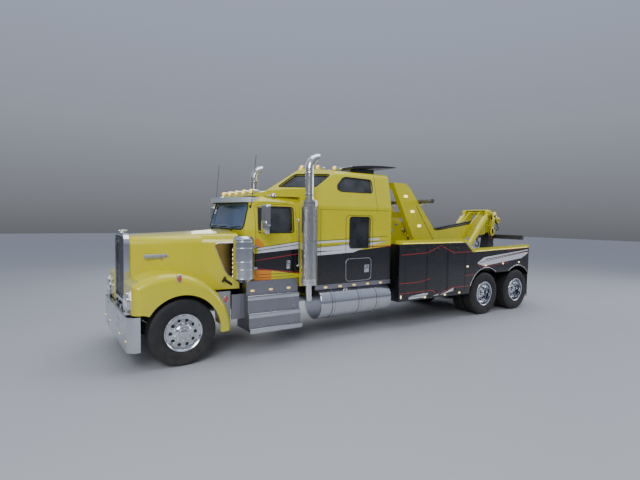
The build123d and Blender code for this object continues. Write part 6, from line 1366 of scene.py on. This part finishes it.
def hood_latch(sign):
    """Strap, handle and catch: rounded blocks, out from the hood and turned down its side."""
    place, normal = on_side("hood", 0.885, 1.222, sign)
    blocks = ((0.014, (0, 0, 0), (0.026, 0.210, 0.044), 0.012),
              (0.024, (0, -0.082, 0.057), (0.036, 0.036, 0.110), 0.014),
              (0.006, (0, 0.088, -0.060), (0.030, 0.050, 0.080), 0.008))
    return [rounded_block(place + out * normal + offset, size, radius, axes=LATCH_AXES)
            for out, offset, size, radius in blocks]


def hood_recess(sign, count=60):
    """A thin skin and a rim: one outline dropped onto the hood at two lifts, and a tube on the outer."""
    path = evenly_round(rounded_outline(RECESS, 0.085), count)
    loops = [side_drape("hood", path, sign, lift) for lift in (-0.004, 0.003)]
    rim = np.arange(count)
    skin = np.concatenate(loops), [grid_faces(2, count), rim, rim + count]
    return skin, tube(loops[1], 0.011, 8, closed=True)


piece("hood_side_vents", hood_vent(1) + hood_vent(-1), BRUSHED, body="hood")
latches = [hood_latch(sign) for sign in (1, -1)]
piece("hood_latches", latches[0][:2] + latches[1][:2], RUBBER, body="hood")
piece("hood_catches", latches[0][2:] + latches[1][2:], CHROME, body="hood")
recess_skins, recess_rims = zip(*(hood_recess(sign) for sign in (1, -1)))
# the recess's bronze is painted lamp glow and its black rear is painted shade
piece("hood_recess", recess_skins, (recess_painted_glow_and_shade_metal, "polished"), 60, "hood")
piece("hood_recess_rims", recess_rims, CHROME, 60, "hood")

# %% Splash panels behind the front wheels
SPLASH = [(0.862, 0.56), (0.862, 1.090), (0.56, 1.090), (0.655, 0.95), (0.735, 0.80), (0.780, 0.60),
          (0.785, 0.56)]
splash = plate(SPLASH, (0.960, FRONT_AXLE_Y, 0), LENGTHWAYS, UPRIGHT, 0.012)
piece("splash_panels", both_sides([splash]), BRUSHED, body="hood")
splash_lamps = [(np.array([sign * 0.9725, aft(0.785), 0.955]), sign * ACROSS, UPRIGHT) for sign in (1, -1)]
markers("splash_lamp", splash_lamps, "hood", red_lens, length=0.105, height=0.070)

# %% Mirror backs and the windscreen's edge
# node, growth from the hole's outline (0) to the glass's real one (1), and lift
EDGE_RINGS = (("fixed_glass", -0.28, 0.002), ("cab_shell", 0.0, 0.006), ("cab_shell", 1.0, 0.006),
              ("cab_shell", 1.0, -0.002))


def screen_ring(node_name, grow, lift, count=96):
    """The windscreen's outline, whose corners move outwards with grow, dropped onto a node."""
    low_x, low_z = 0.774 + 0.088 * grow, 2.201 - 0.055 * grow
    high_x, high_z = 0.774 + 0.056 * grow, 2.594 + 0.028 * grow
    corners = [(-low_x, low_z), (-high_x, high_z), (high_x, high_z), (low_x, low_z)]
    ring = evenly_round(rounded_outline(corners, 0.060 + 0.03 * grow), count)
    return front_drape(node_name, ring, 0.4, lift)


for side, sign in SIDES.items():
    mirror_back = rounded_block((sign * MIRROR_X, aft(1.352), 2.192), (0.196, 0.084, 0.238), 0.026)
    piece(f"mirror_backs_{side}", [mirror_back], CHROME, body=f"door_{side}")
edge_rings = [screen_ring(*ring) for ring in EDGE_RINGS]
edge = np.concatenate(edge_rings + edge_rings[:1])
edge_faces = grid_faces(len(EDGE_RINGS) + 1, len(edge_rings[0]))
piece("windscreen_edge", [(edge, [edge_faces])], (screen_edge, "glass"), 60)
piece("windscreen_outer_seal", [tube(edge_rings[2] - (0, 0.004, 0), 0.011, 8, closed=True)], RUBBER, 60)

# %% [markdown]
# ## Sides of the cab
# Air cleaners, stacks, steps and tanks are bright metal with small rings, straps and ribs.
# The stack guard's holes are a pattern in its material: a mask of staggered circles worked
# out from the angle round the stack and the height, so the guard needs no million faces.

# %% Air cleaner rings and lamps
CLEANER_X, CLEANER_AFT = 1.170, 1.010
CLEANER_RING = [(0.1745, -0.010), (0.1775, -0.006), (0.1790, 0.0), (0.1775, 0.006), (0.1745, 0.010)]
CLEANER_RING_Z = (1.842, 1.612, 1.482, 1.33, 1.95)
CLEANER_LAMP_X, CLEANER_LAMP_Z = 1.115, np.linspace(1.805, 1.365, 7)
for side, sign in SIDES.items():
    rings = [turned(CLEANER_RING, (sign * CLEANER_X, aft(CLEANER_AFT), z), UPRIGHT, 64, closed=True)
             for z in CLEANER_RING_Z]
    piece(f"cleaner_rings_{side}", rings, CHROME, 60)
cleaner_places = [(*on_front("air_cleaners", sign * CLEANER_LAMP_X, z), UPRIGHT)
                  for sign in (1, -1) for z in CLEANER_LAMP_Z]
markers("cleaner_lamp", cleaner_places, "chassis", warm_white, length=0.056, height=0.040, rim=0.004,
        rise=0.012)

# %% Stack guard with its holes
STACK_X, STACK_AFT = 1.200, 2.290
GUARD_RADIUS, GUARD_LOW, GUARD_HIGH = 0.157, 1.24, 2.58
HOLE_PITCH, ROW_PITCH = 0.024, 0.0208
HEAT_COLOUR, HOLE_COLOUR = (0.55, 0.42, 0.28, 1), (0.01, 0.01, 0.01, 1)


def hypotenuse(first, second):
    """The root of the sum of two squares."""
    return math("SQRT", math("ADD", math("MULTIPLY", first, first),
                                   math("MULTIPLY", second, second)))


def stack_finish():
    """Chrome with holes: circles in cells of arc x height, every second row shifted by half a cell."""
    material, shader, position = new_material("stack_chrome")
    skin = place_effect(smudge_effect, Position=position, Colour=(0.86, 0.87, 0.90, 1), Roughness=0.06,
                        Streak=0.05)
    spot = split(position)
    out_x = math("SUBTRACT", math("ABSOLUTE", spot["X"]), STACK_X)
    out_y = math("SUBTRACT", spot["Y"], aft(STACK_AFT))
    arc = math("MULTIPLY", math("ARCTAN2", out_y, out_x), GUARD_RADIUS / HOLE_PITCH)
    rise = math("DIVIDE", spot["Z"], ROW_PITCH)
    shift = math("MULTIPLY", math("FLOOR", math("MODULO", rise, 2.0)), 0.5)
    arc = math("ADD", math("ADD", arc, shift), 50.0)
    cell = [math("SUBTRACT", math("FRACT", value), 0.5) for value in (arc, rise)]
    on_guard = math("GREATER_THAN", hypotenuse(out_x, out_y), GUARD_RADIUS - 0.007)
    for test in (math("GREATER_THAN", spot["Z"], GUARD_LOW), math("LESS_THAN", spot["Z"], GUARD_HIGH),
                 math("GREATER_THAN", out_x, 0.02)):
        on_guard = math("MULTIPLY", on_guard, test)
    hole = math("MULTIPLY", on_guard, ranged(hypotenuse(*cell), 0.34, 0.40, 1.0, 0.0))
    metal = math("SUBTRACT", 1.0, hole)
    heated = mixed(ranged(spot["Z"], 2.75, 3.30, 0.0, 0.22), skin["Colour"], HEAT_COLOUR)
    put_all(shader, Base_Color=mixed(hole, heated, HOLE_COLOUR), Metallic=metal,
            Roughness=math("ADD", skin["Roughness"], math("MULTIPLY", hole, 0.5)))
    relief(shader, metal, 0.5, 0.002)
    return material


stack_metal = stack_finish()
for holder in nodes["exhaust_stacks"].material_slots:
    holder.material = stack_metal
print("stack guard's holes:", HOLE_PITCH, "m apart")

# %% Stack clamps, bands and ears
CLAMP_Z, BAND_Z = (2.790, 3.180), (1.185, 1.920, 2.630)
CLAMP_PROFILE = [(0.0795, -0.022), (0.0835, -0.020), (0.0845, 0.0), (0.0835, 0.020), (0.0795, 0.022)]
BAND_SECTION = [(-0.018, -0.002), (0.018, -0.002), (0.018, 0.002), (-0.018, 0.002)]
BAND_RADIUS = 0.1585
for side, sign in SIDES.items():
    stack = np.array([sign * STACK_X, aft(STACK_AFT), 0.0])
    clamps = [turned(CLAMP_PROFILE, stack + (0, 0, z), UPRIGHT, 40, closed=True) for z in CLAMP_Z]
    half = np.linspace(-0.48 * np.pi, 0.48 * np.pi, 25)
    ring = BAND_RADIUS * np.stack([sign * np.cos(half), np.sin(half), 0 * half], axis=-1)
    bands = [swept(stack + ring + (0, 0, z), BAND_SECTION, unit(ring)) for z in BAND_Z]
    ears = [rounded_block(stack + (0, -0.086, z), (0.020, 0.030, 0.040), 0.005) for z in CLAMP_Z]
    piece(f"stack_clamps_{side}", clamps + bands + ears, POLISHED)

# %% Step nosings and risers
STEP_EDGES = [(1.160, 1.000), (1.220, 0.700), (1.280, 0.450)]
STEP_START, STEP_END = 1.12, 2.10


def nosing(x, z):
    """A rounded strip along a step's edge, and a row of small studs on top of it."""
    edge = rounded_block((x - 0.006, aft(1.610), z - 0.036), (0.020, 1.026, 0.082), 0.009)
    studs = [rounded_block((x - 0.030, aft(distance), z + 0.002), (0.012, 0.012, 0.006), 0.003)
             for distance in np.linspace(STEP_START + 0.02, STEP_END - 0.02, 24)]
    return [edge] + studs


def ribbed_sheet(x, low, high, pitch=0.034, depth=0.005, thickness=0.012):
    """An upright sheet whose distance out is a cosine of the place along the truck."""
    along = np.linspace(STEP_START, STEP_END, int((STEP_END - STEP_START) / pitch * 8) + 1)
    wave = x + depth * np.cos(2 * np.pi * along / pitch)
    rows = [np.stack([wave, aft(along), np.full_like(along, z)], axis=-1) for z in (low, high)]
    rows += [row - (thickness, 0, 0) for row in rows[::-1]]
    return np.concatenate(rows + rows[:1]), [grid_faces(len(rows) + 1, len(along), wrap=False)]


nosings = sum((nosing(x, z) for x, z in STEP_EDGES), [])
piece("step_nosings", both_sides(nosings), POLISHED)
risers = [ribbed_sheet(1.128, 0.706, 0.975), ribbed_sheet(1.188, 0.455, 0.675)]
piece("step_risers", both_sides(risers), DARK_STEEL, 60)

# %% Tank straps and caps
TANK_X, TANK_Z = 0.860, 0.700
STRAP_AFT, STRAP_HALF = (2.900, 3.550, 4.020), 0.034
STRAP_EDGE = [(0.3215, -0.004), (0.3245, -0.003), (0.3245, 0.003), (0.3215, 0.004)]
strap_rubbers = [turned(STRAP_EDGE, (TANK_X, aft(middle + edge), TANK_Z), LENGTHWAYS, 64, closed=True)
                 for middle in STRAP_AFT for edge in (-STRAP_HALF, STRAP_HALF)]
piece("tank_strap_rubbers", both_sides(strap_rubbers), RUBBER)
cap_place, cap_normal = landing("fuel_tanks", (1.30, aft(3.25), 1.30), (-0.44, 0, -0.60))
tank_cap = [turned([(0, 0.030), (0.040, 0.030), (0.048, 0.024), (0.050, 0.004), (0.056, 0.0), (0, -0.002)],
                   cap_place, cap_normal, 32),
            rounded_block(cap_place + 0.034 * cap_normal, (0.070, 0.016, 0.014), 0.004)]
piece("tank_caps", both_sides(tank_cap), CHROME)

# %% [markdown]
# ## Recovery body and crane
# The body's sides are flat, so its lamps, handles and arch rims carry the look. The winches
# show their wound rope: each bay is one turned profile whose ridges are the rope's turns.

# %% Locker handles and edges
LOCKERS = {"front": (4.712, 5.371), "middle": (5.402, 6.061), "rear": (6.092, 6.711)}
LOCKER_LOW, LOCKER_HIGH, LOCKER_INSET = 0.680, 1.750, 0.012
for side, sign in SIDES.items():
    for name, (start, end) in LOCKERS.items():
        locker, middle = f"locker_{name}_{side}", (start + end) / 2
        forms = paddle_handle(middle, 1.690, sign, locker, 0.060, 0.120)
        forms += paddle_handle(middle, 0.735, sign, locker, 0.050, 0.100)
        piece(f"handles_{name}_{side}", forms, RUBBER, body=locker)
        low, high = start + LOCKER_INSET, end - LOCKER_INSET
        ring = rounded_outline([(low, LOCKER_LOW), (high, LOCKER_LOW), (high, LOCKER_HIGH),
                                (low, LOCKER_HIGH)], 0.03)
        piece(f"locker_edge_{name}_{side}", [ring_line(locker, ring, sign, 0.0030, 0.0, 120)],
              RUBBER, 60, locker)

# %% Arch rims, rail lights and mud flap weights
# the arches' middles behind the front axle, and the degrees where each arc starts and ends
ARCHES = ((7.53, 52.4, 159.3), (8.87, 39.0, 127.6))
ARCH_RADIUS, ARCH_Z = 0.651, WHEEL_Z + 0.010
RAIL_LIGHTS = ([(4.63, 1.846), (6.60, 1.846)], [(7.08, 1.612), (9.30, 1.667)])


def arch_rim(middle, low, high, sign):
    """A bead on an arc about a wheel, dropped onto the body's side."""
    turn = np.radians(np.linspace(low, high, 40))
    arc = ARCH_RADIUS * np.stack([np.cos(turn), np.sin(turn)], axis=-1) + (middle, ARCH_Z)
    return tube(side_drape("wrecker_body", arc, sign, 0.002), 0.011, 8)


rims = [arch_rim(*arch, sign) for arch in ARCHES for sign in (1, -1)]
piece("arch_rims", rims, BRUSHED, 60)
strips = [side_line("deck_rails", corners, sign, 0.0065, 0.003, 30)
          for sign in (1, -1) for corners in RAIL_LIGHTS]
piece("rail_strip_lights", strips, (strip_light, "lens"), 60)
weights = [rounded_block((sign * 0.915, aft(9.404), 0.345), (0.590, 0.040, 0.050), 0.006) for sign in (1, -1)]
piece("mudflap_weights", weights, POLISHED)

# %% Winch ropes and drum ends
# distance aft of each pair of drums and the radius of the rope on them
WINCHES = ((5.100, 0.158), (5.540, 0.150))
WINCH_Z, DRUM_X, DRUM_WIDTH, DRUM_END_X = 2.100, (-0.157, 0.137), 0.262, 0.330


def wound_rope(centre, width, core, rope=0.016):
    """A full bay of rope: the core radius plus half a circle for each turn."""
    turns = int(width / rope)
    share = np.linspace(0, turns, turns * 6 + 1)
    radius = core + 0.5 * rope * np.sqrt(1 - (2 * (share % 1) - 1) ** 2)
    along = (share / turns - 0.5) * width
    ends = [(core - 0.02, along[k]) for k in (0, -1)]
    profile = np.concatenate([ends[:1], np.stack([radius, along], axis=-1), ends[1:]])
    return turned(profile, centre, ACROSS, 48, closed=True)


def drum_bolts(sign, distance):
    """Eight turned bolts on a circle round a drum's end."""
    middle = np.array([sign * DRUM_END_X, aft(distance), WINCH_Z])
    axis = (sign, 0, 0)
    bolt = turned([(0, 0.012), (0.010, 0.012), (0.011, 0.0), (0, 0.0)], middle + (0, 0.100, 0), axis, 6)
    return around(bolt, middle, axis, 8)


ropes = [wound_rope((x, aft(distance), WINCH_Z), DRUM_WIDTH, core)
         for distance, core in WINCHES for x in DRUM_X]
piece("winch_ropes", ropes, (steel_rope, "engine_paint"), 60)
DRUM_CAP = [(0, 0.022), (0.030, 0.022), (0.034, 0.016), (0.060, 0.014), (0.066, 0.0), (0, 0.0)]
drum_ends = [(sign, distance) for sign in (1, -1) for distance, _ in WINCHES]
drum_caps = [turned(DRUM_CAP, (sign * (DRUM_END_X + 0.002), aft(distance), WINCH_Z), (sign, 0, 0), 24)
             for sign, distance in drum_ends]
drum_caps += sum((drum_bolts(*end) for end in drum_ends), [])
piece("winch_end_caps", drum_caps, POLISHED)

# %% Light bar, pylon lines and rail tapes
BAR_Z, BAR_LENS_X, BAR_ARM_X = 2.800, (-0.80, -0.48, -0.16, 0.16, 0.48, 0.80), 0.500
bar_lenses = [rounded_block((x, aft(5.8435), BAR_Z), (0.290, 0.130, 0.092), 0.022) for x in BAR_LENS_X]
piece("light_bar_lenses", bar_lenses, (smoked, "lens"))
bar_arms = [rounded_block((sign * BAR_ARM_X, aft(5.780), BAR_Z - 0.076), (0.120, 0.330, 0.030), 0.008)
            for sign in (1, -1)]
piece("light_bar_arms", bar_arms, YELLOW_GLOSS)
PYLON_LINE = [(5.700, 2.700), (6.114, 2.152), (6.330, 1.870)]
pylon_lines = [side_line("pylon", PYLON_LINE, sign, 0.006) for sign in (1, -1)]
piece("pylon_lines", pylon_lines, RUBBER, 60)
RAIL_SLOPE = [(6.700, 1.846), (7.030, 1.668)]
slopes = [side_line("deck_rails", RAIL_SLOPE, sign, 0.012, 0.004, 8, 8) for sign in (1, -1)]
piece("rail_slope_tapes", slopes, (white_tape, "trim"), 60)

# %% Boom guide and hoses
BOOM_ANGLE = np.radians(7.5)
BOOM_PIVOT = np.array([0, aft(6.050), 1.790])
BOOM_AXES = np.array([[1, 0, 0], [0, np.cos(BOOM_ANGLE), np.sin(BOOM_ANGLE)],
                      [0, -np.sin(BOOM_ANGLE), np.cos(BOOM_ANGLE)]])
GUIDE_FEET = (1.15, 1.90, 2.65)
HOSE_X = (0.095, 0.125)
HOSE_ROUTE = ((0.55, 0.183), (0.62, 0.235), (0.95, 0.240), (2.20, 0.243), (2.60, 0.240), (2.72, 0.183))


def on_boom(x, along, up):
    """A place in the boom's own directions: across, along and square to it."""
    return BOOM_PIVOT + BOOM_AXES.T @ np.array([x, along, up], float)


def boom_block(along, up, size, radius):
    """A rounded block on the boom's middle line, turned as the boom is."""
    return rounded_block(on_boom(0, along, up), size, radius, axes=BOOM_AXES)


guide = [boom_block(1.90, 0.204, (0.300, 1.70, 0.050), 0.012)]
guide += [boom_block(along, 0.192, (0.340, 0.060, 0.030), 0.006) for along in GUIDE_FEET]
piece("boom_rope_guide", guide, DARK_STEEL, body="boom")
hoses = [tube(curve_through([on_boom(x, *place) for place in HOSE_ROUTE]), 0.011, 10) for x in HOSE_X]
piece("boom_hoses", hoses, RUBBER, 60, "boom")


# %% Chains, hooks and snatch blocks
def chain(start, links, wire=0.0095, inner=0.034, width=0.020):
    """Links that hang straight down: long rings, each turned a quarter against the last."""
    turn = full_turn(20)
    long = (0.6 * np.sin(turn) + 0.4 * np.sign(np.sin(turn)))[:, None] * inner * UPRIGHT
    step = (2 * inner - wire) * UPRIGHT
    forms = [tube(start - k * step + np.cos(turn)[:, None] * width * (ACROSS if k % 2 else LENGTHWAYS) + long,
                  wire, 8, closed=True) for k in range(links)]
    return forms, start - links * step


def hook(top, size=0.075, wire=0.017):
    """A hook that hangs from a place: a shank, then a bend that comes round below it, and an eye."""
    turn = np.radians(np.linspace(100, -150, 22))
    bend = size * np.stack([0 * turn, np.cos(turn), np.sin(turn)], axis=-1)
    path = np.concatenate([[top], top + (0, 0.012, -0.125) + bend])
    tip = turned([(0, 0), (wire, 0.004), (0.6 * wire, 0.030), (0, 0.040)], path[-1], path[-1] - path[-2], 10)
    ring = 0.026 * np.stack([0 * turn, np.cos(1.44 * turn), np.sin(1.44 * turn)], axis=-1)
    return [tube(path, wire, 10), tip, tube(top + (0, 0, 0.022) + ring, 0.011, 8)]


def sheave(middle, radius):
    """Two turned cheek plates, and a grooved wheel with its bolt between them."""
    cheeks = [turned([(0, 0), (radius, 0), (radius, 0.010), (radius - 0.010, 0.016), (0, 0.016)],
                     middle + (sign * 0.028, 0, 0), (sign, 0, 0), 28) for sign in (1, -1)]
    wheel = turned([(0.02, -0.022), (0.088, -0.022), (0.074, -0.006), (0.074, 0.006), (0.088, 0.022),
                    (0.02, 0.022)], middle, ACROSS, 28, closed=True)
    bolt = turned([(0, -0.062), (0.020, -0.062), (0.020, 0.062), (0, 0.062)], middle, ACROSS, 6)
    return cheeks, [wheel, bolt]


def arm_plates(low, high, wide):
    """A pair of rounded bars from one place to another, one each side of the sheaves."""
    reach = high - low
    length = np.linalg.norm(reach)
    axes = np.stack([ACROSS, reach / length, np.cross(ACROSS, reach / length)])
    size = (0.018, length + 0.06, wide)
    middle = (low + high) / 2
    return [rounded_block(middle + (sign * 0.037, 0, 0), size, 0.008, axes=axes) for sign in (1, -1)]


print("boom fittings ready")

# %% The boom's head
HEAD_ALONG, HEAD_UP, HEAD_X, PIN_REACH = 3.120, 0.020, 0.240, 0.275
# from the head's pin, in metres: the hanging block and the two sheaves of the arm above
BLOCK_DROP, BLOCK_RADIUS = (0, 0, -0.175), 0.110
ARM_SHEAVES = (((0, 0.070, 0.300), 0.115, 0.120), ((0, 0.265, 0.165), 0.088, 0.095))
ROPE_ROUTE = ((1.15, 0.204), (2.60, 0.208), (2.98, 0.225))
head_ropes, block_forms, wheel_forms, hook_forms, shackles = [], [], [], [], []
for x in (-HEAD_X, HEAD_X):
    pin_place = on_boom(x, HEAD_ALONG, HEAD_UP)
    head_ropes.append(tube([on_boom(0.42 * x, *place) for place in ROPE_ROUTE], 0.008, 8))
    block_place = pin_place + BLOCK_DROP
    cheeks, wheel = sheave(block_place, BLOCK_RADIUS)
    ears = [rounded_block(block_place + (sign * 0.036, 0, BLOCK_RADIUS / 2), (0.016, 0.090, 0.190), 0.007)
            for sign in (1, -1)]
    block_forms += cheeks + ears + [rounded_block(pin_place - (0, 0, 0.030), (0.046, 0.070, 0.130), 0.014)]
    wheel_forms += wheel
    last = pin_place
    for offset, radius, wide in ARM_SHEAVES:
        place = pin_place + offset
        cheeks, wheel = sheave(place, radius)
        block_forms += cheeks + arm_plates(last, place, wide)
        wheel_forms += wheel
        last = place
    hook_forms += hook(last - (0, 0, 0.115), 0.050, 0.014)
    links, end = chain(block_place - (0, 0, 0.128), 2)
    shackles += links
    hook_forms += hook(end)
head_pin = tube([on_boom(x, HEAD_ALONG, HEAD_UP) for x in (-PIN_REACH, 0, PIN_REACH)], 0.022, 14)
piece("boom_head_pin", [head_pin], POLISHED, 50, "boom_inner")
head_plate = boom_block(2.800, 0.515, (0.640, 0.180, 0.026), 0.010)
piece("lift_head_plate", [head_plate], YELLOW_GLOSS, body="boom")
piece("boom_head_ropes", head_ropes, (steel_rope, "engine_paint"), 60, "boom_inner")
piece("snatch_blocks", block_forms, YELLOW_GLOSS, 50, "boom_inner")
piece("snatch_block_sheaves", wheel_forms, DARK_STEEL, 50, "boom_inner")
piece("boom_shackles", shackles, (shackle_red, "engine_paint"), 50, "boom_inner")
piece("boom_hooks", hook_forms, DARK_STEEL, 50, "boom_inner")

# %% [markdown]
# ## Cab interior
# What shows through the glass: a dash with gauges, the wheel, two sprung seats and the
# bunk. The seats and the mattress are cushions, so each is a crowned grid with channels
# sewn across it, and edges that roll under.

# %% Dash, floor and levers
WHEEL_X = 0.520
DASH_OUTLINE = [(1.240, 1.320), (1.300, 1.320), (1.340, 1.680), (1.440, 1.750), (1.445, 1.950),
                (1.385, 2.065), (1.240, 2.065)]
DASH_HALF_WIDTH = 0.770


def gear_lever():
    """A bent tube from the floor, and a turned knob on its end."""
    rod = np.array([(0.10, aft(1.66), 1.46), (0.11, aft(1.69), 1.80), (0.12, aft(1.70), 1.86)])
    knob = [(0, 0), (0.020, 0.006), (0.026, 0.024), (0.020, 0.044), (0, 0.050)]
    return [tube(rod, 0.010, 8), turned(knob, (0.12, aft(1.70), 1.855), UPRIGHT, 16)]


dash_shape = rounded_outline([(aft(distance), z) for distance, z in DASH_OUTLINE], 0.02)
dash = plate(dash_shape, (-DASH_HALF_WIDTH, 0, 0), LENGTHWAYS, UPRIGHT, 2 * DASH_HALF_WIDTH, 0.01)
floor_mat = rounded_block((0, aft(1.76), 1.318), (1.900, 0.820, 0.014), 0.005)
tunnel = rounded_block((0, aft(1.62), 1.400), (0.300, 0.50, 0.160), 0.04)
column = tube(np.array([(WHEEL_X, aft(1.36), 1.690), (WHEEL_X, aft(1.525), 1.984)]), 0.028, 14)
furniture = piece("cab_furniture", [dash, floor_mat, tunnel, column] + gear_lever(), (cabin_trim, "trim"))
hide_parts("cab_interior")


# %% Steering wheel and gauges
def steering_wheel(middle, axis, radius=0.225, steps=48):
    """A ring square to the column, a turned boss, and three spokes between them."""
    first, second = axes_about(axis)
    turn = full_turn(steps)
    rim = middle + radius * (np.cos(turn)[:, None] * first + np.sin(turn)[:, None] * second)
    boss = turned([(0, 0.018), (0.045, 0.014), (0.055, 0.0), (0.040, -0.03), (0, -0.03)], middle, axis, 24)
    spokes = [tube(np.array([middle - 0.012 * axis, rim[k]]), 0.010, 8) for k in (4, 20, 36)]
    return [tube(rim, 0.015, 10, closed=True), boss] + spokes


steering = steering_wheel(np.array([WHEEL_X, aft(1.535), 1.990]), unit((0.0, 0.25, 1.0)))
piece("steering_wheel", steering, (cabin_trim, "trim"))

# x, height up the sloped panel and radius of each gauge
GAUGES = ((0.64, 0.020, 0.052), (0.50, 0.020, 0.052), (0.37, 0.026, 0.030), (0.29, 0.026, 0.030),
          (0.37, -0.046, 0.030), (0.29, -0.046, 0.030), (0.19, 0.026, 0.030), (0.19, -0.046, 0.030))
GAUGE_FACING = unit((0.0, 0.85, 0.45))
GAUGE_UP = np.cross(GAUGE_FACING, -ACROSS)


def gauge(x, level, radius):
    """A bead round a circle, and a shallow dome inside it."""
    middle = np.array([x, aft(1.412), 2.008]) + level * GAUGE_UP + 0.004 * GAUGE_FACING
    return bead(circle(radius, 24), middle, -ACROSS, GAUGE_UP, 0.004, 6), \
        domed(circle(radius * 0.97, 24), middle - 0.002 * GAUGE_FACING, -ACROSS, GAUGE_UP, 0.003, 3)


gauge_rims, gauge_domes = zip(*(gauge(*place) for place in GAUGES))
piece("gauge_bezels", gauge_rims, CHROME, 60)
piece("gauge_faces", gauge_domes, (gauge_face, "lens"), 60)


# %% Seats and bunk
def power(value, exponent):
    """A power that keeps the value's sign."""
    return np.sign(value) * np.abs(value) ** exponent


def cushion(centre, size, axes=None, channels=5, crown=0.035, sew=0.012, steps=26):
    """A superquadric pillow: sine powers round the edge, a crown, and sewn channels along y."""
    rise = np.linspace(-np.pi / 2, np.pi / 2, steps)
    turn = np.linspace(-np.pi, np.pi, 2 * steps, endpoint=False)
    flat = power(np.cos(rise), 0.35)[:, None]
    x, y = flat * power(np.cos(turn), 0.35), flat * power(np.sin(turn), 0.35)
    z = np.repeat(power(np.sin(rise), 0.55)[:, None], len(turn), axis=1)
    swell = crown * (1 - x ** 2) * (1 - y ** 2) * (z > 0)
    seam = sew * np.exp(-((np.abs(x * channels / 2 % 1 - 0.5) - 0.5) / 0.06) ** 2) * (1 - y ** 4) * (z > 0.5)
    half = np.asarray(size, float) / 2
    points = np.stack([x * half[0], y * half[1], z * half[2] + swell - seam], axis=-1).reshape(-1, 3)
    if axes is not None:
        points = points @ unit(axes)
    return points + np.asarray(centre, float), [grid_faces(steps, 2 * steps)]


def padded(name, cloth, *place_and_size, **shape):
    """A cushion of that place, size and shape becomes a piece that is padded."""
    pad = piece(name, [cushion(*place_and_size, **shape)], (cloth, "trim"), 80)


LEAN = np.array([(1, 0, 0), (0, -0.197, -0.980), (0, -0.980, 0.197)])
seat_frames = []
for side, sign in SIDES.items():
    x = sign * WHEEL_X
    seat_frames += [rounded_block((x, aft(1.85), 1.405), (0.380, 0.300, 0.175), 0.03),
                    rounded_block((x, aft(1.83), 1.515), (0.460, 0.420, 0.050), 0.015)]
    padded(f"seat_cushion_{side}", seat_cloth, (x, aft(1.820), 1.635), (0.500, 0.520, 0.170), channels=4)
    padded(f"seat_back_{side}", seat_cloth, (x, aft(2.052), 1.985), (0.490, 0.660, 0.125), LEAN, channels=4)
    padded(f"head_rest_{side}", seat_cloth, (x, aft(2.108), 2.335), (0.270, 0.130, 0.085), LEAN, channels=2,
           crown=0.012)
piece("seat_bases", seat_frames, DARK_STEEL)
bunk_box = rounded_block((0, aft(3.895), 1.335), (1.940, 0.880, 0.390), 0.02)
piece("bunk_box", [bunk_box], (cabin_trim, "trim"))
padded("bunk_mattress", bunk_cloth, (0, aft(3.880), 1.615), (1.900, 0.860, 0.170), channels=9, crown=0.02)
padded("bunk_pillow", bunk_cloth, (0.62, aft(3.90), 1.755), (0.420, 0.640, 0.130), channels=1, sew=0.0)
